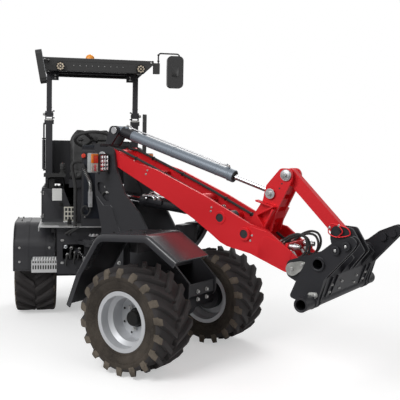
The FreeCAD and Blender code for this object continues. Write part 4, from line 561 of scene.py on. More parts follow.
@dataclass(frozen=True)
class PaintWithPaintedReflection(Finish):
    """Paint with a painted reflection of the pale tan ground, drawn as dull metal, on the faces that look one
    way.

    Args:
        toward: Direction of the faces that get the painted reflection, in the machine's frame.
        bare: Tan colour of the painted reflection of the ground on those faces.
    """

    toward: Point = (0.670, 0.668, -0.325)
    bare: Colour = (0.66, 0.57, 0.44)

    def shade(self, kit: Nodes, shader: bpy.types.Node) -> None:
        """Link the paint, and the painted ground reflection on the faces that look one way, into the shader.

        Args:
            kit: Nodes of the material.
            shader: The Principled shader of the material.
        """
        super().shade(kit, shader)
        facing = kit.add("ShaderNodeTexCoord").outputs["Normal"]
        along = kit.add("ShaderNodeVectorMath", {0: facing, 1: self.toward},
                        operation="DOT_PRODUCT").outputs["Value"]
        place = kit.add("ShaderNodeTexCoord").outputs["Object"]
        # Painted reflection: faces that look along toward get a tan colour, rougher and part metal, in noisy
        # patches.
        patchy = kit.span(kit.noise(place, 30.0, 7.0, 0.7), 0.25, 0.5, 0.72, 1.0)
        mask = kit.math("MULTIPLY", kit.span(along, 0.90, 0.965), patchy)
        painted = shader.inputs["Base Color"].links[0].from_socket
        kit.put(shader, "Base Color", kit.blend(mask, painted, (*self.bare, 1.0)))
        dull = shader.inputs["Roughness"].links[0].from_socket
        kit.put(shader, "Roughness", kit.math("MAXIMUM", dull, kit.math("MULTIPLY", mask, 0.34)))
        kit.put(shader, "Metallic", kit.math("MULTIPLY", mask, 0.75))


class Finishes:
    """Every finish on the machine."""

    frame_black = Finish("frame_black", (0.007, 0.008, 0.0095), rough=0.34, coat=0.06, gloss=0.22, dust=0.10,
                         wear=0.22)
    hood_black = Finish("hood_black", (0.0045, 0.005, 0.0065), rough=0.22, coat=0.12, gloss=0.25, dust=0.05,
                        grain=0.04)
    boom_red = Finish("boom_red", (0.60, 0.0012, 0.006), rough=0.30, coat=0.12, gloss=0.22, mottle=0.04,
                      dust=0.02,
                      dust_colour=(0.45, 0.30, 0.26), dust_rise=0.1, wear=0.12,
                      wear_colour=(0.30, 0.10, 0.10))
    # Coupler faces that look forward and down get a painted tan reflection of the ground.
    coupler_black = PaintWithPaintedReflection("coupler_black", (0.008, 0.0085, 0.009), rough=0.2, coat=0.2, gloss=0.3,
                                dust=0.04,
                                wear=0.35)
    pin_steel = Finish("pin_steel", (0.50, 0.50, 0.52), rough=0.28, metal=1.0, mottle=0.2, dust=0.05)
    galvanised = Finish("galvanised", (0.46, 0.46, 0.44), rough=0.42, metal=0.75, mottle=0.3, dust=0.12)
    zinc = Finish("zinc_bolt", (0.55, 0.55, 0.54), rough=0.35, metal=1.0, mottle=0.15, dust=0.1)
    tyre_rubber = Finish("tyre_rubber", (0.009, 0.0085, 0.008), rough=0.72, gloss=0.2, mottle=0.3, dust=0.38,
                         dust_colour=(0.085, 0.068, 0.052), dust_rise=0.9, grain=0.25, grain_scale=420.0)
    tyre_wall = Finish("tyre_wall", (0.036, 0.030, 0.025), rough=0.8, gloss=0.2, mottle=0.35, dust=0.45,
                       dust_colour=(0.13, 0.108, 0.085), dust_rise=1.2, grain=0.3, grain_scale=300.0)
    # Lug shoulders and sidewall ends: tan dust, made lighter still as a painted highlight.
    tyre_shoulder = Finish("tyre_shoulder", (0.105, 0.088, 0.070), rough=0.85, gloss=0.2, mottle=0.45,
                           dust=0.5,
                           dust_colour=(0.26, 0.22, 0.175), dust_rise=1.4, grain=0.3, grain_scale=300.0)
    rim_silver = Finish("rim_silver", (0.44, 0.45, 0.47), rough=0.30, metal=0.8, coat=0.1, dust=0.12,
                        dust_colour=(0.30, 0.29, 0.27), wear=0.1, wear_colour=(0.2, 0.2, 0.2))
    fender_plastic = Finish("fender_plastic", (0.008, 0.009, 0.013), rough=0.30, coat=0.25, gloss=0.35,
                            dust=0.22,
                            dust_colour=(0.20, 0.18, 0.16), dust_rise=0.95, grain=0.06, grain_scale=500.0)
    checker_plate = BarPlate("checker_plate", (0.72, 0.67, 0.61), rough=0.38, metal=0.75, dust=0.2)
    barrel_grey = Finish("barrel_grey", (0.036, 0.046, 0.064), rough=0.24, coat=0.35, gloss=0.4, dust=0.04)
    barrel_black = Finish("barrel_black", (0.006, 0.006, 0.008), rough=0.18, coat=0.4, gloss=0.3, dust=0.03)
    rod_chrome = Finish("rod_chrome", (0.80, 0.80, 0.82), rough=0.07, metal=1.0, mottle=0.03, dust=0.0)
    seat_vinyl = Vinyl("seat_vinyl", (0.008, 0.008, 0.009), rough=0.42, gloss=0.3, dust=0.05, grain=0.35,
                       grain_scale=900.0)
    wheel_plastic = Finish("wheel_plastic", (0.008, 0.008, 0.008), rough=0.4, gloss=0.4, dust=0.03, grain=0.3,
                           grain_scale=1100.0)
    console_plastic = Finish("console_plastic", (0.008, 0.011, 0.018), rough=0.42, gloss=0.3, dust=0.1,
                             grain=0.2)
    lamp_lens = Lens("lamp_lens", (0.72, 0.76, 0.80), rough=0.08, mottle=0.2, dust=0.0)
    reflector = Finish("reflector", (0.66, 0.68, 0.70), rough=0.2, metal=0.9, mottle=0.25, dust=0.03)
    warm_chip = Finish("warm_chip", (0.44, 0.37, 0.29), rough=0.3, coat=0.3, mottle=0.25, dust=0.0)
    led_chip = Finish("led_chip", (0.80, 0.72, 0.35), rough=0.3, coat=0.6, mottle=0.1, dust=0.0)
    cluster_case = Finish("cluster_case", (0.34, 0.35, 0.35), rough=0.4, dust=0.1)
    cluster_clear = Lens("cluster_clear", (0.55, 0.53, 0.47), rough=0.1, coat=0.6, mottle=0.25, dust=0.0)
    cluster_red = Lens("cluster_red", (0.60, 0.012, 0.008), rough=0.12, coat=0.6, dust=0.0)
    cluster_amber = Lens("cluster_amber", (0.85, 0.22, 0.012), rough=0.12, coat=0.6, dust=0.0)
    beacon_amber = Lens("beacon_amber", (0.90, 0.27, 0.015), rough=0.10, coat=0.6, dust=0.0)
    mirror_glass = Finish("mirror_glass", (0.85, 0.87, 0.90), rough=0.02, metal=1.0, mottle=0.02, dust=0.0)
    hose_rubber = Finish("hose_rubber", (0.008, 0.008, 0.008), rough=0.5, gloss=0.25, dust=0.15, grain=0.15)
    label_white = Finish("label_white", (0.78, 0.78, 0.76), rough=0.45, mottle=0.03, dust=0.08)
    cream_plate = Finish("cream_plate", (0.62, 0.60, 0.52), rough=0.5, dust=0.1)
    cap_black = Finish("cap_black", (0.007, 0.007, 0.007), rough=0.4, gloss=0.25, dust=0.12, grain=0.1)

    @classmethod
    def of_slot(cls, slot: str) -> Finish:
        """Return the finish of one of the record's material slots."""
        return getattr(cls, slot)


# ---------------------------------------------------------------------------
# Making meshes
# ---------------------------------------------------------------------------
def rounded(outline: Sequence[tuple[float, ...]], steps: int = 5) -> list[Flat]:
    """Round the corners of an outline that give a radius.

    Args:
        outline: Corners as (first, second) or (first, second, radius).
        steps: Pieces of each arc.

    Returns:
        The corners with the arcs put in.
    """
    done: list[Flat] = []
    count = len(outline)
    for index, corner in enumerate(outline):
        here = Vector(corner[:2])
        if len(corner) == 2:
            done.append(tuple(here))
            continue
        before = (Vector(outline[index - 1][:2]) - here)
        after = (Vector(outline[(index + 1) % count][:2]) - here)
        half = before.angle(after, math.pi) / 2.0
        if half > math.radians(89.0):
            done.append(tuple(here))
            continue
        reach = min(corner[2] / math.tan(half), before.length * 0.49, after.length * 0.49)
        start, end = here + before.normalized() * reach, here + after.normalized() * reach
        for step in range(steps + 1):
            part = step / steps
            point = start * (1 - part) ** 2 + here * 2 * part * (1 - part) + end * part ** 2
            done.append(tuple(point))
    return done


def ring(radius: float, count: int, centre: Flat = (0.0, 0.0), start: float = 0.0) -> list[Flat]:
    """Return points evenly round a circle, the first at an angle from the first axis, in degrees."""
    return [(centre[0] + radius * math.cos(math.radians(start) + TAU * step / count),
             centre[1] + radius * math.sin(math.radians(start) + TAU * step / count))
            for step in range(count)]


def smooth_line(points: Sequence[Point], steps: int = 8) -> list[Vector]:
    """Return points along a smooth curve through the given ones.

    Args:
        points: Points that the curve passes.
        steps: Pieces between two of them.

    Returns:
        The points of the curve.
    """
    given = [Vector(point) for point in points]
    if len(given) < 3:
        return given
    ends = [given[0] * 2 - given[1]] + given + [given[-1] * 2 - given[-2]]
    line: list[Vector] = []
    for index in range(1, len(ends) - 2):
        before, start, end, after = ends[index - 1:index + 3]
        for step in range(steps):
            part = step / steps
            line.append(0.5 * ((2 * start) + (end - before) * part
                               + (2 * before - 5 * start + 4 * end - after) * part ** 2
                               + (3 * start - before - 3 * end + after) * part ** 3))
    line.append(given[-1])
    return line


class Piece:
    """One named piece, built shape by shape in its sub-assembly's axes.

    Args:
        name: Name of the piece.
        place: Axes that its shapes are given in.
        finish: Finish of the shapes that name none.
    """

    def __init__(self, name: str, place: Placement, finish: Finish) -> None:
        """Start an empty piece."""
        self.name = name
        self.place = place
        self.mesh = bmesh.new()
        self.finishes: list[Finish] = [finish]

    def paint(self, faces: Iterable[bmesh.types.BMFace], finish: Finish | None) -> None:
        """Give new faces the index of their finish.

        Args:
            faces: Faces to give a finish.
            finish: Their finish, or none for the piece's own.
        """
        if finish is None:
            finish = self.finishes[0]
        if finish not in self.finishes:
            self.finishes.append(finish)
        index = self.finishes.index(finish)
        for face in faces:
            face.material_index = index

    def loft(self, rings: Sequence[Sequence[Vector]], finish: Finish | None = None, closed: bool = False,
             capped: bool = True) -> list[bmesh.types.BMFace]:
        """Skin a row of rings that have the same number of points.

        Args:
            rings: The rings, each a closed loop of points.
            finish: Finish of the faces.
            closed: Whether the last ring joins the first.
            capped: Whether the two ends are closed.

        Returns:
            The new faces.
        """
        rows = [[self.mesh.verts.new(point) for point in loop] for loop in rings]
        pairs = list(zip(rows, rows[1:])) + ([(rows[-1], rows[0])] if closed else [])
        faces = []
        for first, second in pairs:
            count = len(first)
            for index in range(count):
                after = (index + 1) % count
                faces.append(self.mesh.faces.new((first[index], first[after], second[after], second[index])))
        if capped and not closed:
            faces.append(self.mesh.faces.new(list(reversed(rows[0]))))
            faces.append(self.mesh.faces.new(rows[-1]))
        self.paint(faces, finish)
        return faces

    def slab(self, outline: Sequence[tuple[float, ...]], near: float, far: float, plane: Plane = Plane.SIDE,
             soft: float = 1.5, finish: Finish | None = None, steps: int = 5) -> None:
        """Thicken an outline into a plate with softened edges.

        Args:
            outline: Corners as (first, second) or (first, second, radius).
            near: Depth of one face.
            far: Depth of the other face.
            plane: Which way the outline lies.
            soft: Width of the bevel along both faces.
            finish: Finish of the plate.
            steps: Pieces of each rounded corner.
        """
        corners = rounded(outline, steps)
        loops = [[plane.place(*corner, near) for corner in corners],
                 [plane.place(*corner, far) for corner in corners]]
        faces = self.loft(loops, finish)
        if soft > 0.0:
            edges = {edge for face in faces[-2:] for edge in face.edges}
            made = bmesh.ops.bevel(self.mesh, geom=list(edges), offset=soft, segments=2, affect="EDGES",
                                   profile=0.6, clamp_overlap=True)
            self.paint(made["faces"], finish)

    def turned(self, profile: Sequence[Flat], centre: Point = (0.0, 0.0, 0.0), axis: str = "Y",
               sides: int = 32,
               finish: Finish | None = None, start: float = 0.0) -> None:
        """Turn a profile about an axis.

        Args:
            profile: Corners as (along the axis, radius), open at both ends.
            centre: Start of the axis.
            axis: X, Y or Z.
            sides: Points round the axis.
            finish: Finish of the faces.
            start: Angle of the first point, in degrees.
        """
        loops = []
        for along, radius in profile:
            loop = []
            for first, second in ring(max(radius, 0.01), sides, start=start):
                spot = {"X": (along, first, second), "Y": (first, along, second),
                        "Z": (first, second, along)}[axis]
                loop.append(Vector(centre) + Vector(spot))
            loops.append(loop)
        self.loft(loops, finish)

    def tube(self, points: Sequence[Point], radius: float, sides: int = 12, smooth: bool = True,
             finish: Finish | None = None, section: Sequence[Flat] | None = None) -> list[Vector]:
        """Sweep a round or given section along a line.

        Args:
            points: Points of the line.
            radius: Radius of the section, or its scale.
            sides: Points round a round section.
            smooth: Whether the line curves through its points.
            finish: Finish of the faces.
            section: Another section, as points about its middle.

        Returns:
            The points of the line.
        """
        line = smooth_line(points) if smooth else [Vector(point) for point in points]
        shape = list(section) if section is not None else ring(1.0, sides)
        loops = []
        aside: Vector | None = None
        for index, here in enumerate(line):
            ahead = (line[min(index + 1, len(line) - 1)] - line[max(index - 1, 0)]).normalized()
            if aside is None:
                aside = ahead.cross(Vector((0, 0, 1)) if abs(ahead.z) < 0.9 else Vector((0, 1,
                                                                                         0))).normalized()
            aside = (aside - ahead * aside.dot(ahead)).normalized()
            up = ahead.cross(aside)
            loops.append([here + (aside * first + up * second) * radius for first, second in shape])
        self.loft(loops, finish)
        return line

    def bolt(self, centre: Point, axis: str = "Y", size: float = 16.0, out: float = 1.0,
             finish: Finish | None = None) -> None:
        """Add a bolt head with its washer.

        Args:
            centre: Middle of the washer's seat.
            axis: Axis that the head stands along.
            size: Width of the head across its flats.
            out: 1 or -1, the way that the head stands.
            finish: Finish of the bolt.
        """
        flat, height = size / 2.0, size * 0.62 * out
        self.turned([(0.0, flat * 1.45), (height * 0.22, flat * 1.45), (height * 0.24, flat * 1.3)],
                    centre, axis, 20, finish)
        spot = Vector(centre)
        shift = {"X": Vector((1, 0, 0)), "Y": Vector((0, 1, 0)), "Z": Vector((0, 0, 1))}[axis] * height * 0.22
        self.turned([(0.0, flat * 1.15), (height * 0.85, flat * 1.15), (height, flat * 1.0),
                     (height * 1.01, 0.2)],
                    tuple(spot + shift), axis, 6, finish)

    def bead(self, points: Sequence[Point], radius: float = 3.5, finish: Finish | None = None) -> None:
        """Lay a weld bead along straight runs between points.

        Args:
            points: Corners of the run.
            radius: Radius of the bead.
            finish: Its finish, or none for the piece's own.
        """
        for start, end in zip(points, points[1:]):
            run = Vector(end) - Vector(start)
            count = max(3, int(run.length / (radius * 1.6)))
            line = [Vector(start) + run * step / count for step in range(count + 1)]
            aside = run.cross(
                Vector((0, 0, 1)) if abs(run.normalized().z) < 0.9 else Vector((0, 1, 0))).normalized()
            up = run.normalized().cross(aside)
            loops = [[here + (aside * first + up * second) * radius * (0.82 if index % 2 else 1.08)
                      for first, second in ring(1.0, 6)] for index, here in enumerate(line)]
            self.loft(loops, finish)

    def done(self, body: str, slot: str, replaces: Sequence[str] = (),
             crease: float = 32.0) -> bpy.types.Object:
        """Turn the shapes into an object that rides on a body.

        Args:
            body: Body of the frame that the piece moves with.
            slot: Material slot of the record. Not used.
            replaces: Nodes of the frame that it stands for.
            crease: Edges sharper than this stay sharp, in degrees.

        Returns:
            The new object.
        """
        bmesh.ops.recalc_face_normals(self.mesh, faces=self.mesh.faces[:])
        bmesh.ops.transform(self.mesh, matrix=self.place.matrix(), verts=self.mesh.verts[:])
        for face in self.mesh.faces:
            face.smooth = True
        for edge in self.mesh.edges:
            if len(edge.link_faces) == 2:
                edge.smooth = edge.calc_face_angle(0.0) < math.radians(crease)
        data = bpy.data.meshes.new(self.name)
        self.mesh.to_mesh(data)
        self.mesh.free()
        for finish in self.finishes:
            data.materials.append(finish.material())
        made = bpy.data.objects.new(self.name, data)
        bpy.context.scene.collection.objects.link(made)
        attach(made, body)
        if replaces:
            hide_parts(*replaces)
        LOG.info("%s rides on %s, %d faces", self.name, body, len(data.polygons))
        return made


# ---------------------------------------------------------------------------
# Stage
# ---------------------------------------------------------------------------
@dataclass
class Stage:
    """Floor, light and camera.

    Args:
        eye: Place of the camera, in metres.
        heading: Direction of view about the vertical, in radians.
        dip: Rise of the view, in radians.
        roll: Turn about the view, in radians.
        lens: Focal length on a 36 mm film.
        shift: Shift of the picture, in widths.
        floor_colour: Colour of the floor.
        floor_lift: Extra level of the floor where the camera sees it.
        floor_near: Distance at which the floor starts to fade into the background, in metres.
        floor_far: Distance at which it has become the background.
        backdrop: Level of the white background.
    """

    eye: Point = (5.58194, -0.8776, 1.6462)
    heading: float = 2.973
    dip: float = -0.062
    roll: float = 0.018
    lens: float = 60.0
    shift: Flat = (0.04125, -0.0305)
    floor_colour: Colour = (0.80, 0.80, 0.80)
    floor_lift: float = 0.42
    floor_near: float = 2.6
    floor_far: float = 5.5
    backdrop: float = 1.0

    def build(self) -> None:
        """Lay the floor, light the world, hang the lamps and set up the camera."""
        bpy.context.scene.view_settings.view_transform = "Standard"
        self.floor()
        self.world()
        self.lamps()
        self.camera()
        LOG.info("stage is set")

    def floor(self) -> None:
        """Lay a large pale floor that shows white to the camera where nothing shades it."""
        mesh = bmesh.new()
        bmesh.ops.create_grid(mesh, x_segments=8, y_segments=8, size=30.0)
        data = bpy.data.meshes.new("floor")
        mesh.to_mesh(data)
        mesh.free()
        piece = bpy.data.objects.new("floor", data)
        bpy.context.scene.collection.objects.link(piece)
        made = bpy.data.materials.new("floor_paper")
        made.use_nodes = True
        made.node_tree.nodes.clear()
        kit = Nodes(made.node_tree)
        shader = kit.add("ShaderNodeBsdfPrincipled")
        place = kit.add("ShaderNodeTexCoord").outputs["Object"]
        away = kit.add("ShaderNodeVectorMath", {0: place}, operation="LENGTH").outputs["Value"]
        far = kit.span(away, self.floor_near, self.floor_far)
        kit.put(shader, "Base Color", kit.blend(far, (*self.floor_colour, 1.0), (0.0, 0.0, 0.0, 1.0)))
        shader.inputs["Roughness"].default_value = 0.9
        seen = kit.add("ShaderNodeLightPath").outputs["Is Camera Ray"]
        shader.inputs["Emission Color"].default_value = (1.0, 1.0, 1.0, 1.0)
        kit.put(shader, "Emission Strength",
                kit.math("MULTIPLY", seen, kit.span(far, 0.0, 1.0, self.floor_lift, 1.0)))
        shader.inputs["Specular IOR Level"].default_value = 0.0
        kit.add("ShaderNodeOutputMaterial", {"Surface": shader.outputs[0]})
        data.materials.append(made)

    def world(self) -> None:
        """Light the world softly, and show it white behind the machine."""
        world = bpy.data.worlds.new("studio")
        bpy.context.scene.world = world
        world.use_nodes = True
        world.node_tree.nodes.clear()
        kit = Nodes(world.node_tree)
        path = kit.add("ShaderNodeLightPath")
        seen = kit.math("MAXIMUM", path.outputs["Is Camera Ray"], path.outputs["Is Transmission Ray"])
        seen = kit.math("MAXIMUM", seen, kit.math("MULTIPLY", path.outputs["Is Glossy Ray"], 0.55))
        level = kit.span(seen, 0.0, 1.0, 0.36, self.backdrop)
        light = kit.add("ShaderNodeBackground", {"Color": (1.0, 1.0, 1.0, 1.0), "Strength": level})
        kit.add("ShaderNodeOutputWorld", {"Surface": light.outputs[0]})

    def lamps(self) -> None:
        """Hang a broad key lamp to the right of the view, a fill to its left and a rim behind."""
        for name, spot, size, power, target in (
            ("key", (4.2, -4.6, 5.2), 3.2, 300.0, (0.3, 0.2, 0.9)),
            ("fill", (5.2, 4.2, 3.0), 3.5, 70.0, (0.3, 0.2, 0.9)),
            ("rim", (-4.5, 1.5, 5.5), 3.0, 110.0, (-0.3, -0.2, 1.0)),
        ):
            data = bpy.data.lights.new(name, "AREA")
            data.size = size
            data.energy = power
            lamp = bpy.data.objects.new(name, data)
            lamp.location = spot
            lamp.rotation_euler = (Vector(target) - Vector(spot)).to_track_quat("-Z", "Y").to_euler()
            bpy.context.scene.collection.objects.link(lamp)

    def camera(self) -> None:
        """Set the camera where the machine is seen from."""
        ahead = Vector((math.cos(self.heading) * math.cos(self.dip),
                        math.sin(self.heading) * math.cos(self.dip),
                        math.sin(self.dip)))
        level = Vector((math.sin(self.heading), -math.cos(self.heading), 0.0))
        up = level.cross(ahead)
        aside = level * math.cos(self.roll) + up * math.sin(self.roll)
        rise = aside.cross(ahead)
        data = bpy.data.cameras.new("camera")
        data.lens = self.lens
        data.sensor_width = 36.0
        data.shift_x, data.shift_y = self.shift
        data.clip_end = 100.0
        camera = bpy.data.objects.new("camera", data)
        turn = Matrix((aside, rise, -ahead)).transposed().to_4x4()
        camera.matrix_world = Matrix.Translation(self.eye) @ turn
        bpy.context.scene.collection.objects.link(camera)
        bpy.context.scene.camera = camera


# ---------------------------------------------------------------------------
# The frame's own pieces
# ---------------------------------------------------------------------------
@dataclass
class FramePieces:
    """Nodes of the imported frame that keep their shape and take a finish."""

    def dress(self) -> None:
        """Give every node the finish of its slot."""
        for row in frame["record"]["subparts"]:
            piece = bpy.data.objects.get(row["node"])
            if piece is None:
                continue
            finish = Finishes.of_slot(row["material_slot"])
            if not piece.data.materials:
                piece.data.materials.append(finish.material())
            for index in range(len(piece.material_slots)):
                piece.material_slots[index].material = finish.material()
            LOG.info("%s is finished as %s", row["node"], finish.name)


# ---------------------------------------------------------------------------
# Wheels
# ---------------------------------------------------------------------------
@dataclass
class Wheels:
    """Four wheels: carcass, slanted lugs, wheel bolts, hub cap and valve.

    Args:
        radius: Radius over the lugs.
        half: Half the width of the tyre.
        carcass: Radius of the tread between the lugs.
        tread: Half the width of the tread.
        bead: Radius of the tyre's bead.
        bead_half: Half the width between the beads.
        lugs: Lugs on each side.
        lean: Angle by which a lug's inner end leads, in degrees.
        lug_wide: Width of a lug at its top.
        track: Distance between the wheels of an axle.
        ahead: Distance of the axles from the pivot, front and rear.
        bolts: Bolts of a wheel.
        bolt_ring: Radius of the ring of bolts.
    """

    radius: float = 392.5
    half: float = 191.5
    carcass: float = 357.0
    tread: float = 176.0
    bead: float = 205.0
    bead_half: float = 158.0
    lugs: int = 18
    lean: float = 15.5
    lug_wide: float = 40.0
    track: float = 1054.0
    ahead: Flat = (917.0, -919.0)
    bolts: int = 6
    bolt_ring: float = 92.0

    def build(self) -> None:
        """Build the four wheels, each on its own body."""
        for end, place, along in (("front", FRONT, self.ahead[0]), ("rear", REAR, self.ahead[1])):
            for side in Side:
                spot = place.shifted(along, side.value * self.track / 2.0, 393.0)
                body = f"wheel_{end}_{side.word}"
                self.tyre(f"tyre_{end}_{side.word}_dressed", spot, body, f"tyre_{end}_{side.word}")
                self.hub(f"hub_{end}_{side.word}", spot, side, body)

    def skin(self) -> list[Flat]:
        """Return the profile of the carcass from one bead to the other, as (across, radius)."""
        side = [
            (self.bead_half - 6, self.bead), (self.bead_half + 4, self.bead + 12), (self.bead_half + 7, 222),
            (self.bead_half + 13, 232), (self.bead_half + 12, 240), (self.bead_half + 20, 252),
            (self.half - 9, 272),
            (self.half - 3, 292), (self.half - 4.5, 296), (self.half - 1, 300), (self.half, 316),
            (self.half - 3, 330),
            (self.half - 6, 334), (self.tread + 2, 346), (self.tread - 12, 354),
            (self.tread - 40, self.carcass),
            (self.tread / 2, self.carcass + 1.5),
        ]
        return [(across, radius) for across, radius in side] + [(0.0, self.carcass + 2)] + [
            (-across, radius) for across, radius in reversed(side)]

    def tyre(self, name: str, place: Placement, body: str, node: str) -> None:
        """Build one tyre.

        Args:
            name: Name of the piece.
            place: Axes at the wheel's middle.
            body: Body that the wheel turns with.
            node: Node of the frame that it stands for.
        """
        piece = Piece(name, place, Finishes.tyre_rubber)
        profile = self.skin()
        inner = [(-(self.bead_half - 14), self.bead + 2), (0.0, self.bead + 26),
                 (self.bead_half - 14, self.bead + 2)]
        loop = profile + inner
        steps = 96
        rings = []
        for step in range(steps):
            turn = TAU * step / steps
            rings.append([Vector((radius * math.sin(turn), across, radius * math.cos(turn)))
                          for across, radius in loop])
        faces = piece.loft(rings, closed=True)
        piece.paint([face for face in faces if self.on_wall(face.calc_center_median())], Finishes.tyre_wall)
        for side in Side:
            for index in range(self.lugs):
                start = 360.0 / self.lugs * (index + (0.0 if side is Side.LEFT else 0.5))
                self.lug(piece, side, start)
        piece.done(body, "tyre_rubber", (node,), crease=38.0)

    def on_wall(self, point: Vector) -> bool:
        """Return whether a point of the carcass lies on a sidewall."""
        return abs(point.y) > self.bead_half - 4 and math.hypot(point.x, point.z) < self.radius - 62

    def lug(self, piece: Piece, side: Side, start: float) -> None:
        """Build one lug from the middle of the tread to the shoulder and down the sidewall.

        Args:
            piece: The tyre.
            side: Which half of the tread it lies on.
            start: Angle of the lug's middle, in degrees.
        """
        rings = []
        stations = (
            (4.0, 1.0, self.radius - 0.5, 0.86), (22.0, 0.88, self.radius, 1.0),
            (70.0, 0.52, self.radius, 1.0),
            (120.0, 0.12, self.radius, 1.03), (158.0, -0.16, self.radius - 1.0, 1.1),
            (self.tread - 1.0, -0.27, self.radius - 5.0, 1.14),
            (self.tread + 9.0, -0.34, self.radius - 22.0, 1.12),
            (self.half - 1.5, -0.38, 340.0, 1.02), (self.half - 0.6, -0.41, 322.0, 0.9),
        )
        for across, lead, top, wide in stations:
            middle = math.radians(start + self.lean * (lead - 0.35) * 1.0)
            half_top = self.lug_wide * wide / 2.0
            floor = min(self.carcass - 6.0, top - 12.0)
            half_low = half_top + 7.0
            on_wall = across > self.tread + 5.0
            inward = 14.0 if on_wall else 0.0
            ring_points = []
            for radius, half, shift in (
                (floor, -half_low, inward), (floor + (top - floor) * 0.25, -(half_top + 3.5), 0.0),
                (top - 2.2, -half_top, 0.0), (top, -(half_top - 2.5), 0.0), (top, half_top - 2.5, 0.0),
                (top - 2.2, half_top, 0.0), (floor + (top - floor) * 0.25, half_top + 3.5, 0.0),
                (floor, half_low, inward),
            ):
                angle = middle + half / radius
                ring_points.append(Vector((radius * math.sin(angle), (across - shift) * side.value,
                                           radius * math.cos(angle))))
            rings.append(ring_points)
        piece.loft(rings[:6])
        # Shoulder end of each lug takes the lighter tan: dust and a painted highlight.
        piece.loft(rings[5:], Finishes.tyre_shoulder)

    def hub(self, name: str, place: Placement, side: Side, body: str) -> None:
        """Build the wheel's bolts, hub cap, rim lip and valve.

        Args:
            name: Name of the piece.
            place: Axes at the wheel's middle.
            side: Side of the machine.
            body: Body that the wheel turns with.
        """
        out = side.value
        face = -30.0 + 12.0
        piece = Piece(name, place, Finishes.rim_silver)
        for first, second in ring(self.bolt_ring, self.bolts, start=15.0):
            piece.bolt((first, face * out + out * 0.5, second), "Y", 22.0, out, Finishes.zinc)
        cap = [(0.0, 70.0), (10.0, 70.0), (14.0, 66.0), (20.0, 60.0), (52.0, 56.0), (60.0, 50.0),
               (63.0, 40.0),
               (63.5, 0.2)]
        piece.turned([(along * out, radius) for along, radius in cap], (0.0, (face + 0.5) * out, 0.0), "Y",
                     48,
                     Finishes.cap_black)
        lip = [(150.0, 206.0), (157.0, 212.0), (164.0, 219.5), (164.8, 214.0), (158.0, 205.0), (150.0, 199.5)]
        rings = []
        for step in range(96):
            turn = TAU * step / 96
            rings.append([Vector((radius * math.sin(turn), across * out, radius * math.cos(turn)))
                          for across, radius in lip])
        piece.loft(rings, closed=True)
        for step in range(8):
            turn = math.radians(22.5 + 45.0 * step)
            first, second = math.sin(turn), math.cos(turn)
            piece.turned([(0.0, 9.0), (1.2 * out, 9.0), (1.3 * out, 0.2)],
                         (first * 130.0, (face + 0.3) * out, second * 130.0), "Y", 16, Finishes.cap_black)
        stem = [(70.0, 40.0 * out, 172.0), (74.0, 60.0 * out, 166.0), (76.0, 82.0 * out, 158.0)]
        piece.tube(stem, 4.5, 10, finish=Finishes.zinc)
        piece.tube([stem[-1], (76.8, 96.0 * out, 153.0)], 6.0, 10, finish=Finishes.cap_black)
        piece.done(body, "rim_silver")


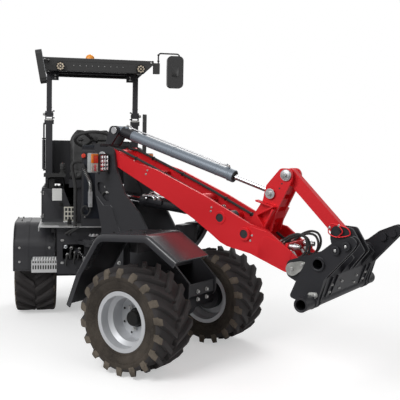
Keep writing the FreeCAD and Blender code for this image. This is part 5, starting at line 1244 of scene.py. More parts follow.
# ---------------------------------------------------------------------------
# Front frame
# ---------------------------------------------------------------------------
@dataclass
class FrontFrame:
    """Lift tower and chassis: pin caps, weld beads, fender trim and the four front lights.

    Args:
        half: Half the width over the tower's plates.
        doubler: Half the width over the doubler plates.
        boom_pin: Boom pin, along and up.
        head_out: Outer face of the boom pin's head.
        lens_face: Front of the head lamps' lenses.
        lamp_low: Lower edge of a head lamp's lens.
        lamp_high: Upper edge of a head lamp's lens.
        lamp_in: Edge of the lens nearest to the tower.
        lamp_out: Outer edge of the lens.
        cluster_in: Edge of the light cluster nearest to the tower.
        cluster_out: Outer edge of the light cluster.
        skirt: Section of a fender with its rolled outer skirt, as (across, above the outline).
    """

    half: float = 190.0
    doubler: float = 198.0
    boom_pin: Flat = (275.0, 1550.0)
    head_out: float = 202.0
    lens_face: float = 343.3
    lamp_low: float = 1441.3
    lamp_high: float = 1565.7
    lamp_in: float = 212.8
    lamp_out: float = 301.7
    cluster_in: float = 312.3
    cluster_out: float = 395.0
    skirt: tuple[Flat, ...] = (
        (336, -24), (336, -7), (339, -2), (348, 0), (700, 0), (712, -1.5), (720, -6), (725, -14), (727, -26),
        (727, -52), (721, -52), (720.5, -26), (716, -14), (708, -9), (700, -8.5), (348, -8.5), (343, -11),
        (342, -24))

    def build(self) -> None:
        """Build the fittings of the front frame."""
        self.plates()
        self.head_lamps()
        self.clusters()
        self.fenders()

    def plates(self) -> None:
        """Build the pin caps, the weld beads and the bolts of the tower."""
        piece = Piece("tower_fittings", FRONT, Finishes.frame_black)
        x, z = self.boom_pin
        doubler = [(212, 1222), (288, 1150), (360, 1158), (384, 1140), (443, 996), (560, 800), (560, 650)]
        for side in Side:
            out = side.value
            cap = [(0.4, 43.0), (3.0, 43.0), (4.5, 41.0), (4.6, 14.0), (6.5, 13.0), (6.6, 0.2)]
            piece.turned([(along * out, radius) for along, radius in cap], (x, self.head_out * out, z), "Y",
                         40,
                         Finishes.pin_steel)
            piece.bead([(along, (self.half + 0.5) * out, up) for along, up in doubler], 4.0)
            piece.bead([(205, (self.half + 0.5) * out, 792), (288, (self.half + 0.5) * out, 930),
                        (214, (self.half + 0.5) * out, 1215)], 4.0)
            for along, up in ((470, 700), (300, 700), (470, 860)):
                piece.bolt((along, self.doubler * out, up), "Y", 22.0, out, Finishes.zinc)
            for along, up in ((760, 700), (860, 700), (960, 690), (1080, 560), (960, 480)):
                piece.bolt((along, self.half * out, up), "Y", 18.0, out)
            piece.bolt((228, self.half * out, 1420), "Y", 16.0, out)
            piece.bolt((330, self.half * out, 1420), "Y", 16.0, out)
            hose = [(250, 178 * out, 1200), (262, 181 * out, 1240), (292, 184 * out, 1262),
                    (318, 183 * out, 1262)]
            piece.tube(hose, 8.0, 12, finish=Finishes.hose_rubber)
            piece.turned([(0, 9), (10, 11), (18, 11), (20, 8), (32, 8)], (306, 183.5 * out, 1262), "X", 6,
                         Finishes.zinc)
            piece.bolt((286, 171.0 * out, 1305), "Y", 14.0, out, Finishes.zinc)
        for up in (1640, 1654):
            piece.bead([(238.5, -182, up), (238.5, 182, up)], 3.0)
        for side in Side:
            out = side.value
            piece.bead([(178, 66 * out, 1656), (238, 66 * out, 1656)], 4.0)
            cap = [(0.3, 29.0), (3.0, 29.0), (4.0, 27.5), (4.1, 0.2)]
            piece.turned([(along * out, radius) for along, radius in cap], (285, 73.0 * out, 1768), "Y", 32,
                         Finishes.pin_steel)
        for across in (-60, 60):
            piece.bolt((1141, across, 480), "X", 22.0, 1.0, Finishes.zinc)
            piece.bolt((1141, across, 540), "X", 22.0, 1.0, Finishes.zinc)
        piece.done("front", "frame_black")

    def head_lamps(self) -> None:
        """Build the faces of both head lamps."""
        piece = Piece("lamp_faces", FRONT, Finishes.reflector)
        for side in Side:
            self.lamp_face(piece, side.value)
        piece.done("front", "lamp_lens", ("head_lenses",), crease=12.0)

    def lamp_face(self, piece: Piece, out: int) -> None:
        """Add the reflectors, chips and dividers of a head lamp.

        Args:
            piece: The piece of both lamps.
            out: Side of the machine, 1 or -1.
        """
        wide, high = (self.lamp_out - self.lamp_in) / 3.0, (self.lamp_high - self.lamp_low) / 4.0
        x = self.lens_face
        piece.slab([(self.lamp_in * out, self.lamp_low), (self.lamp_out * out, self.lamp_low),
                    (self.lamp_out * out, self.lamp_high), (self.lamp_in * out, self.lamp_high)],
                   x, x + 0.8, Plane.FACE, 0.0, Finishes.cap_black)
        for column in range(3):
            for row in range(4):
                across = (self.lamp_in + wide * (column + 0.5)) * out
                up = self.lamp_low + high * (row + 0.5)
                rings = []
                for depth, reach in ((0.9, 0.47), (4.6, 0.46), (4.7, 0.43), (1.6, 0.16), (2.6, 0.10)):
                    half_wide, half_high = wide * reach, high * reach
                    rings.append([Vector((x + depth, across + first * half_wide, up + second * half_high))
                                  for first, second in ((-1, -1), (1, -1), (1, 1), (-1, 1))])
                piece.loft(rings)
                piece.slab([(across - 2.4, up - 2.4), (across + 2.4, up - 2.4), (across + 2.4, up + 2.4),
                            (across - 2.4, up + 2.4)], x + 2.6, x + 3.2, Plane.FACE, 0.0, Finishes.led_chip)

    def clusters(self) -> None:
        """Build both light clusters."""
        piece = Piece("light_cluster_faces", FRONT, Finishes.cluster_case)
        for side in Side:
            self.cluster(piece, side.value)
        piece.done("front", "cluster_red", ("light_clusters",), crease=28.0)

    def cluster(self, piece: Piece, out: int) -> None:
        """Add a light cluster: pale case, amber turn signal, red stop lamp and clear lamp.

        Args:
            piece: The piece of both clusters.
            out: Side of the machine, 1 or -1.
        """

        def pane(near: float, far: float, low: float, high: float, finish: Finish, depth: float) -> None:
            """Add one lens of the cluster between two distances from the tower."""
            piece.slab([(near * out, low, 4), (far * out, low, 4), (far * out, high, 4),
                        (near * out, high, 4)],
                       330.0, depth, Plane.FACE, 1.6, finish, 3)

        piece.slab([(self.cluster_in * out, 1426.2, 10), (self.cluster_out * out, 1426.2, 10),
                    (self.cluster_out * out, 1580.8, 10), (self.cluster_in * out, 1580.8, 10)],
                   295.2, 331.0, Plane.FACE, 3.0)
        split, edge = 1502.0, 5.0
        pane(self.cluster_out - 24, self.cluster_out - edge, split, 1574, Finishes.cluster_amber, 339.5)
        pane(self.cluster_in + edge, self.cluster_out - 25, split, 1561, Finishes.cluster_red, 338.5)
        pane(self.cluster_in + edge, self.cluster_out - 25, 1562, 1574, Finishes.cluster_amber, 339.0)
        pane(self.cluster_in + edge, self.cluster_out - edge, 1433, split - 2, Finishes.cluster_clear, 338.0)
        for up in (1451, 1477):
            middle = (self.cluster_in + self.cluster_out) / 2.0 * out
            piece.turned([(0.0, 15.0), (1.0, 14.0), (1.2, 5.0), (1.6, 0.2)], (338.0, middle, up), "X", 24,
                         Finishes.reflector)

    def fenders(self) -> None:
        """Build the moulded front fenders: rounded sheet, outer skirt, arms, bolts and stays."""
        piece = Piece("front_fenders_moulded", FRONT, Finishes.fender_plastic)
        path = rounded([(1418, 887), (1163, 1041, 110), (704, 1006, 130), (500, 700, 400), (397, 451)], 12)
        hub = Vector((917.0, 393.0))
        for side in Side:
            out = side.value
            rings = []
            for index, (x, z) in enumerate(path):
                before, after = path[max(index - 1, 0)], path[min(index + 1, len(path) - 1)]
                ahead = Vector((after[0] - before[0], after[1] - before[1])).normalized()
                outward = Vector((ahead.y, -ahead.x))
                if outward.dot(Vector((x, z)) - hub) < 0:
                    outward = -outward
                rings.append([Vector((x + outward.x * rise, across * out, z + outward.y * rise))
                              for across, rise in self.skirt])
            piece.loft(rings)
            piece.slab([(740, 840), (820, 840), (820, 1002), (740, 1000)], 190.5 * out, 395 * out,
                       Plane.SIDE, 4.0)
            for along, across in ((780, 430), (780, 620), (1060, 430), (1060, 620)):
                piece.bolt((along, across * out, 1012 + (along - 780) * 0.076), "Z", 15.0, 1.0,
                           Finishes.cap_black)
            piece.tube([(930, 195 * out, 830), (930, 300 * out, 900), (930, 400 * out, 985),
                        (930, 520 * out, 1000)],
                       14.0, 12, finish=Finishes.frame_black)
            piece.slab([(905, 480 * out), (955, 480 * out), (955, 560 * out), (905, 560 * out)], 1000, 1009,
                       Plane.LEVEL, 1.0, Finishes.frame_black)
            piece.slab([(640, 700), (700, 700), (700, 930), (640, 850)], 340 * out, 352 * out, Plane.SIDE,
                       3.0,
                       Finishes.frame_black)
        piece.done("front", "fender_plastic", ("front_fenders",), crease=40.0)


# ---------------------------------------------------------------------------
# Boom, lever and link
# ---------------------------------------------------------------------------
@dataclass
class BoomArm:
    """Boom, tilt lever and link: pin wells, weld beads, ribs, clips and fasteners.

    Args:
        half: Half the width over the boom's plates.
        inner: Inner face of the boom's plates.
        lift_pin: Lift cylinder's pin, along and up.
        lever_pin: Lever's pin.
        eye_pin: Pin of the tilt cylinder's rod.
        link_top: Upper pin of the link.
        lever_half: Half the width over the lever's plates.
        rib_out: Outer edge of the lever's ribs.
        hose_across: Middle of the boom hoses, from the centre plane.
        hose_height: Hoses at some places along the boom, along and up.
    """

    half: float = 163.0
    inner: float = 143.0
    lift_pin: Flat = (1394.0, 1135.0)
    lever_pin: Flat = (1606.0, 1036.0)
    eye_pin: Flat = (1758.0, 1326.0)
    link_top: Flat = (1875.0, 1461.0)
    lever_half: float = 78.0
    rib_out: float = 128.0
    hose_across: float = 112.0
    hose_height: tuple[Flat, ...] = ((560.0, 1545.0), (860.0, 1426.0), (1272.0, 1253.0), (1500.0, 1150.0))

    def build(self) -> None:
        """Build the fittings of the boom, the lever and the link."""
        self.boom()
        self.hose_loops()
        self.lever()
        self.link()

    def boom(self) -> None:
        """Build the boom's pin wells, weld beads, grease nipples and hose clips."""
        piece = Piece("boom_fittings", FRONT, Finishes.boom_red)
        for side in Side:
            out = side.value
            face = self.half * out
            for (x, z), seat in ((self.lift_pin, 0.4), (self.lever_pin, 12.9)):
                ring_shape = [(0.3, 48.0), (seat + 4.0, 47.0), (seat + 5.5, 45.0), (seat + 5.5, 31.0),
                              (seat + 0.6, 29.0), (seat + 0.5, 0.2)]
                loops = [[Vector((x + first, face + along * out, z + second))
                          for first, second in ring(radius, 40)] for along, radius in ring_shape]
                piece.loft(loops[:4], capped=False)
                piece.loft(loops[3:5], Finishes.frame_black, capped=False)
                piece.loft([loops[4], loops[5]], Finishes.frame_black)
                piece.turned([(0.5 * out, 12.0), (3.0 * out, 11.0), (3.1 * out, 0.2)],
                             (x, face + seat * out, z), "Y", 20, Finishes.hose_rubber)
            piece.slab([(1708, 887, 12), (1722, 958), (1745, 1028, 24), (1775, 1036, 14), (1872, 1003),
                        (1979, 948),
                        (1951, 828)], face - 0.5 * out, face + 3.0 * out, Plane.SIDE, 1.5)
            for x, z in ((718, 1454), (703, 1424), (1320, 1204), (1315, 1176), (1664, 1030), (1652, 992)):
                piece.bolt((x, face, z), "Y", 11.0, out, Finishes.zinc)
            piece.bead([(1650, face, 1090), (1775, face, 1066)], 2.5)
            within = (self.inner - 1.0) * out
            for start, end in (((640, 1402), (708, 1448)), ((1664, 928), (1908, 844))):
                piece.bead([(start[0], within, start[1]), (end[0], within, end[1])], 4.0)
            loop = [(1150 + first, within, 1258 + second) for first, second in ring(33.0, 18)]
            piece.bead(loop + loop[:1], 3.0)
        for x, z in self.hose_height:
            for side in Side:
                middle = self.hose_across * side.value
                piece.slab([(middle - 13, z - 16, 8), (middle + 13, z - 16, 8), (middle + 13, z + 13, 11),
                            (middle - 13, z + 13, 11)], x - 9, x + 9, Plane.FACE, 1.5, Finishes.cap_black)
                piece.slab([(middle, z - 18), ((self.inner + 1) * side.value, z - 18),
                            ((self.inner + 1) * side.value, z - 13), (middle, z - 13)], x - 9, x + 9,
                           Plane.FACE, 0.8, Finishes.zinc)
        piece.done("boom", "boom_red")

    def hose_loops(self) -> None:
        """Build the short hoses that turn over the boom's nose, with their silver ends."""
        piece = Piece("nose_hoses", FRONT, Finishes.hose_rubber)
        for across, lift in ((-112.0, 0.0), (112.0, 0.0), (-70.0, -14.0), (70.0, -14.0)):
            path = [(1936, across, 950), (1960, across, 912 + lift), (2010, across, 905 + lift),
                    (2052, across, 950 + lift), (2062, across, 1006 + lift), (2040, across, 1052 + lift),
                    (1990, across, 1064 + lift), (1934, across, 1046 + lift), (1880, across, 1010 + lift)]
            piece.tube(path[1:], 8.5, 12)
            for start, end in ((path[1], (1936, across, 946 + lift)), (path[-1], (1860, across, 998 + lift))):
                piece.tube([start, end], 11.0, 6, False, Finishes.zinc)
        for across in (-112.0, 112.0):
            for x, radius in ((2000.5, 15.0), (2006.0, 17.5), (2012.0, 17.5), (2014.0, 10.0)):
                piece.turned([(0.0, radius), (2.5, radius)], (x, across, 975.0), "X", 24, Finishes.zinc)
        piece.done("boom", "hose_rubber")

    def lever(self) -> None:
        """Build the lever's standing ribs, laced front and pin caps."""
        piece = Piece("lever_fittings", FRONT, Finishes.boom_red)
        ribs = (
            [(1662, 1279), (1800, 1243), (1802, 1232), (1664, 1268)],
            [(1800, 1243), (1808, 1236), (1676, 1168), (1668, 1175)],
            [(1796, 1222), (1806, 1216), (1744, 1088), (1732, 1092)],
            [(1668, 1176), (1678, 1172), (1742, 1092), (1732, 1086)],
        )
        for side in Side:
            out = side.value
            for rib in ribs:
                piece.slab(rib, (self.lever_half - 1) * out, self.rib_out * out, Plane.SIDE, 1.0)
            for x, z in ((1843, 1400), (1825, 1366)):
                piece.turned([(0.0, 6.0), (0.6 * out, 6.0), (0.7 * out, 0.2)], (x, self.lever_half * out, z),
                             "Y", 16,
                             Finishes.frame_black)
            for x, z in ((1712, 1266), (1746, 1257)):
                piece.turned([(0.0, 8.0), (0.6, 8.0), (0.7, 0.2)], (x, 103 * out, z + 4), "Z", 16,
                             Finishes.frame_black)
            cap = [(0.0, 37.0), (3.5, 37.0), (5.0, 35.0), (5.1, 0.2)]
            x, z = self.eye_pin
            piece.turned([(along * out, radius) for along, radius in cap], (x, 91.0 * out, z), "Y", 36,
                         Finishes.pin_steel)
            piece.bolt((x, 96.0 * out, z), "Y", 26.0, out, Finishes.zinc)
            loop = [(self.lever_pin[0] + first, (self.lever_half + 1) * out, self.lever_pin[1] + second)
                    for first, second in ring(45.0, 20)]
            piece.bead(loop + loop[:1], 4.0)
        for start, end in (((1792, 1150), (1800, 1200)), ((1812, 1232), (1836, 1290)),
                           ((1852, 1322), (1880, 1382))):
            run = Vector((end[0] - start[0], end[1] - start[1])).normalized() * 6.0
            piece.slab([(start[0], start[1]), (end[0], end[1]), (end[0] - run.y, end[1] + run.x),
                        (start[0] - run.y, start[1] + run.x)], -61, 61, Plane.SIDE, 1.0)
        piece.done("lever", "boom_red")

    def link(self) -> None:
        """Build the bolts on the link's pins, its edge beads and the red wire of the coupler's latch."""
        piece = Piece("link_fittings", FRONT, Finishes.boom_red)
        for side in Side:
            out = side.value
            x, z = self.link_top
            piece.bolt((x, 90.8 * out, z), "Y", 26.0, out, Finishes.zinc)
            piece.turned([(0.0, 34.0), (4.0 * out, 34.0), (5.0 * out, 32.0), (5.1 * out, 0.2)],
                         (x, 90.6 * out, z), "Y", 36, Finishes.pin_steel)
        piece.done("link", "pin_steel")
        wire = Piece("latch_wire", FRONT, Finishes.boom_red)
        wire.tube([(2190, -64, 1112), (2196, -66, 1084), (2240, -66, 1064), (2300, -66, 1070),
                   (2342, -64, 1088),
                   (2326, -62, 1124), (2270, -60, 1142), (2214, -60, 1148), (2186, -62, 1132),
                   (2190, -64, 1112)],
                  4.0, 8)
        wire.tube([(2262, -64, 1142), (2290, -66, 1100), (2254, -66, 1062)], 4.0, 8)
        for x, z in ((2196, 1122), (2262, 1140)):
            wire.bolt((x, -58.0, z), "Y", 14.0, -1.0, Finishes.zinc)
        wire.done("coupler", "boom_red")


# ---------------------------------------------------------------------------
# Cylinders
# ---------------------------------------------------------------------------
@dataclass
class Cylinder:
    """Fittings of a hydraulic cylinder, given along its own X axis from the barrel's eye to its head.

    Args:
        name: Name of the cylinder.
        place: Axes at the barrel's eye.
        barrel: Radius of the barrel.
        length: Barrel from its eye to the end of its head.
        rod: Radius of the rod.
        top: 1 where up is up in these axes, -1 where they lie on their back.
        slot: Material slot of the barrel.
        finish: Finish of the barrel.
        pipe_side: Offset of the pipe along the barrel, or none.
        sleeve: Length of the black sleeve from the barrel's eye.
    """

    name: str
    place: Placement
    barrel: float
    length: float
    rod: float
    top: float
    slot: str
    finish: Finish
    pipe_side: float | None = None
    sleeve: float = 0.0

    def build(self) -> None:
        """Build the gland, the ports and the pipe of the cylinder."""
        piece = Piece(f"{self.name}_fittings", self.place, self.finish)
        end, head = self.length, self.barrel + 4.0
        collar = [(end - 47.0, self.barrel + 0.5), (end - 46.5, head + 1.2), (end - 40.0, head + 1.6),
                  (end - 39.0, head + 0.4), (end - 12.0, head + 0.4), (end - 11.0, head + 1.6),
                  (end - 2.0, head + 1.2),
                  (end - 0.5, head - 1.0)]
        piece.loft([[Vector((along, first, second)) for first, second in ring(radius, 48)]
                    for along, radius in collar], capped=False)
        wiper = [(end + 0.2, head - 8.0), (end + 5.0, head - 9.0), (end + 6.0, self.rod + 6.0),
                 (end + 3.0, self.rod + 1.0)]
        piece.loft([[Vector((along, first, second)) for first, second in ring(radius, 40)]
                    for along, radius in wiper], Finishes.cap_black, capped=False)
        for step in range(4):
            turn = math.radians(20 + 90 * step)
            spot = (end + 0.3, (head - 5) * math.cos(turn), (head - 5) * math.sin(turn))
            piece.turned([(0.0, 3.0), (1.5, 3.0), (1.6, 0.2)], spot, "X", 12, Finishes.cap_black)
        for along in (end - 70.0, 70.0):
            spot = (along, 0.0, (self.barrel - 2.0) * self.top)
            piece.turned([(0.0, 17.0), (12.0 * self.top, 16.0), (12.2 * self.top, 0.2)], spot, "Z", 24)
            spot = (along, 0.0, (self.barrel + 9.0) * self.top)
            piece.turned([(0.0, 12.0), (11.0 * self.top, 12.0), (12.0 * self.top, 8.0),
                          (18.0 * self.top, 8.0)],
                         spot, "Z", 6, Finishes.zinc)
        if self.sleeve > 0.0:
            cover = [(40.0, self.barrel - 1.0), (40.5, self.barrel + 1.8),
                     (self.sleeve - 2.0, self.barrel + 1.8),
                     (self.sleeve, self.barrel - 1.0)]
            piece.loft([[Vector((along, first, second)) for first, second in ring(radius, 48)]
                        for along, radius in cover], Finishes.barrel_black, capped=False)
        for along in (end - 160.0, end * 0.5, 160.0):
            band = [(along - 7, self.barrel + 0.2), (along - 6, self.barrel + 1.6),
                    (along + 6, self.barrel + 1.6),
                    (along + 7, self.barrel + 0.2)]
            if self.pipe_side is not None:
                piece.loft([[Vector((spot, first, second)) for first, second in ring(radius, 48)]
                            for spot, radius in band], capped=False)
        if self.pipe_side is not None:
            high = (self.barrel + 8.0) * self.top
            across = self.pipe_side
            piece.tube([(end - 70, 0, (self.barrel + 22) * self.top),
                        (end - 92, across * 0.5, (self.barrel + 24) * self.top),
                        (end - 130, across, high), (end * 0.66, across, high), (end * 0.33, across, high),
                        (130, across, high), (92, across * 0.6, (self.barrel + 18) * self.top),
                        (74, across * 0.3, (self.barrel + 20) * self.top)], 5.5, 10,
                        finish=Finishes.pin_steel)
        piece.done(self.name, self.slot)


@dataclass
class Cylinders:
    """The three cylinders.

    Args:
        tilt: Axes at the base pin of the tilt cylinder.
        lift: Axes at the boom's pin of the lift cylinder, its barrel behind it.
    """

    tilt: Placement = FRONT.shifted(285.0, 0.0, 1768.0, -16.70)
    lift: Placement = FRONT.shifted(1394.0, 0.0, 1135.0, 175.45)

    def build(self) -> None:
        """Build the fittings of the cylinders and the elbows at the lift cylinder's head."""
        Cylinder("tilt_barrel", self.tilt, 42.0, 1176.0, 20.0, 1.0, "barrel_grey", Finishes.barrel_grey,
                 26.0, 158.0).build()
        Cylinder("lift_barrel", self.lift, 48.0, 850.0, 27.0, -1.0, "barrel_black", Finishes.barrel_black,
                 30.0).build()
        piece = Piece("lift_elbows", FRONT, Finishes.reflector)
        for across, back in ((-38.0, 0.0), (-58.0, 26.0)):
            piece.tube([(742 - back, across, 1222), (716 - back, across, 1240), (676 - back, across, 1248),
                        (640 - back, across, 1244)], 9.0, 14)
            piece.turned([(0.0, 14.0), (20.0, 14.0), (21.0, 10.0)], (620 - back, across, 1243), "X", 6,
                         Finishes.zinc)
            piece.turned([(0.0, 13.0), (16.0, 13.0)], (738 - back, across, 1216), "Z", 6, Finishes.zinc)
        piece.turned([(0, 10), (5, 12), (15, 12), (20, 9), (21, 0.2)], (628, -74, 1226), "X", 18,
                     Finishes.reflector)
        piece.slab([(612, 1196), (780, 1180), (784, 1214), (616, 1230)], -64, -47, Plane.SIDE, 4.0,
                   Finishes.barrel_black)
        piece.done("lift_barrel", "rod_chrome")


# ---------------------------------------------------------------------------
# Tool coupler
# ---------------------------------------------------------------------------
@dataclass
class ToolCoupler:
    """Tool coupler: keeper plates, tube collars, weld beads and lock pins.

    Args:
        cheek_out: Outer face of the outer cheeks.
        cheek_in: Outer face of the inner cheeks.
        ear_out: Outer face of the boom ears.
        low_tube: Lower tube, along and up.
        top_tube: Upper tube.
        coupler_pin: Pin that joins the coupler to the boom.
        bosses: Bosses in the hooks, along and up.
    """

    cheek_out: float = 457.0
    cheek_in: float = 405.0
    ear_out: float = 190.0
    low_tube: Flat = (2248.0, 700.0)
    top_tube: Flat = (2300.0, 940.0)
    coupler_pin: Flat = (1999.0, 837.0)
    bosses: tuple[Flat, ...] = ((2412.0, 1037.0), (2477.0, 1068.0))

    def build(self) -> None:
        """Build the coupler's fittings."""
        piece = Piece("coupler_fittings", FRONT, Finishes.coupler_black)
        for side in Side:
            self.cheek(piece, side.value)
            self.keeper(piece, side.value)
        self.edges(piece)
        piece.done("coupler", "coupler_black")

    def collar(self, piece: Piece, spot: Flat, seat: float, out: int, bore: float, outer: float) -> None:
        """Add a raised lip round the open end of a tube.

        Args:
            piece: The coupler's piece.
            spot: Middle of the tube, along and up.
            seat: End face of the tube.
            out: Side of the machine, 1 or -1.
            bore: Radius of the opening.
            outer: Outer radius of the lip.
        """
        x, z = spot
        shape = [(-6.0, outer - 0.5), (2.0, outer + 0.8), (4.0, outer - 1.0), (4.2, bore + 3.0),
                 (2.5, bore - 0.4),
                 (-30.0, bore - 0.6)]
        piece.loft([[Vector((x + first, (seat + along) * out, z + second)) for first,
                     second in ring(radius, 44)]
                    for along, radius in shape], capped=False)

    def cheek(self, piece: Piece, out: int) -> None:
        """Add the lips, beads and bolts of one pair of cheeks.

        Args:
            piece: The coupler's piece.
            out: Side of the machine, 1 or -1.
        """
        self.collar(piece, self.low_tube, 580.0, out, 33.0, 45.0)
        self.collar(piece, self.top_tube, 469.0, out, 32.0, 42.0)
        for (x, z), radius in ((self.top_tube, 43.0), (self.low_tube, 46.0)):
            for seat in (self.cheek_out + 0.5, self.cheek_in + 0.5, self.cheek_in - 15.5):
                loop = [(x + first, seat * out, z + second) for first, second in ring(radius, 22)]
                piece.bead(loop + loop[:1], 4.0)
        for x, z in self.bosses:
            shape = [(0.2, 27.0), (2.0, 27.5), (4.0, 25.0), (4.2, 15.0), (0.6, 13.0), (0.5, 0.2)]
            seat = self.cheek_out + 16.0
            loops = [[Vector((x + first, (seat + along) * out, z + second)) for first,
                      second in ring(radius, 36)]
                     for along, radius in shape]
            piece.loft(loops)
            piece.turned([(0.0, 9.0), (5.0 * out, 9.0), (6.0 * out, 7.0), (6.1 * out, 0.2)],
                         (x, (seat + 0.6) * out, z), "Y", 6, Finishes.zinc)
        plate = [(2228, 712, 22), (2262, 700, 10), (2306, 742, 16), (2296, 764, 16), (2240, 758, 22)]
        piece.slab(plate, (self.cheek_out + 0.4) * out, (self.cheek_out + 7.0) * out, Plane.SIDE, 1.2,
                   Finishes.galvanised)
        for x, z in ((2250, 734), (2284, 744)):
            piece.bolt((x, (self.cheek_out + 7.0) * out, z), "Y", 16.0, out, Finishes.zinc)
        rod = [(2262, (self.cheek_in - 16) * out, 760), (2262, (self.ear_out + 30) * out, 760)]
        piece.tube(rod, 17.0, 20, False, Finishes.pin_steel)
        piece.tube([(2262, (self.cheek_in - 40) * out, 760), (2262, (self.cheek_in - 150) * out, 760)], 26.0,
                   24, False)

    def keeper(self, piece: Piece, out: int) -> None:
        """Add the silver plate that locks the boom pin, with its bolts.

        Args:
            piece: The coupler's piece.
            out: Side of the machine, 1 or -1.
        """
        x, z = self.coupler_pin
        seat = 202.8
        plate = [(x + first, z + second) for first, second in ring(44.0, 30, start=110.0)][:19]
        plate += [(x + 24, z - 37), (x + 96, z + 18, 16), (x + 104, z + 58, 22), (x + 62, z + 62, 12)]
        piece.slab(plate, seat * out, (seat + 7.0) * out, Plane.SIDE, 1.5, Finishes.galvanised)
        piece.bolt((x, (seat + 7.0) * out, z), "Y", 22.0, out, Finishes.zinc)
        piece.bolt((x + 76, (seat + 7.0) * out, z + 40), "Y", 16.0, out, Finishes.zinc)
        piece.tube([(x + 76, 189 * out, z + 40), (x + 76, (seat + 1) * out, z + 40)], 12.0, 16, False)

    def edges(self, piece: Piece) -> None:
        """Add the ribs and bolts on the coupler's face and the beads along its ears.

        Args:
            piece: The coupler's piece.
        """
        face = [(2288, 716), (2340, 850), (2352, 846), (2300, 712)]
        for across in (-330.0, -250.0, 250.0, 330.0):
            piece.slab(face, across - 6, across + 6, Plane.SIDE, 1.0)
        for x, z in ((2318, 790), (2300, 742)):
            for across in (-290.0, -130.0, 130.0, 290.0):
                piece.bolt((x + 3.0, across, z), "X", 14.0, 1.0, Finishes.zinc)
        for side in Side:
            out = side.value
            piece.bead([(2190, (self.ear_out + 0.5) * out, 690), (2270, (self.ear_out + 0.5) * out, 700),
                        (2338, (self.ear_out + 0.5) * out, 850), (2420, (self.ear_out + 0.5) * out, 955)],
                        3.5)


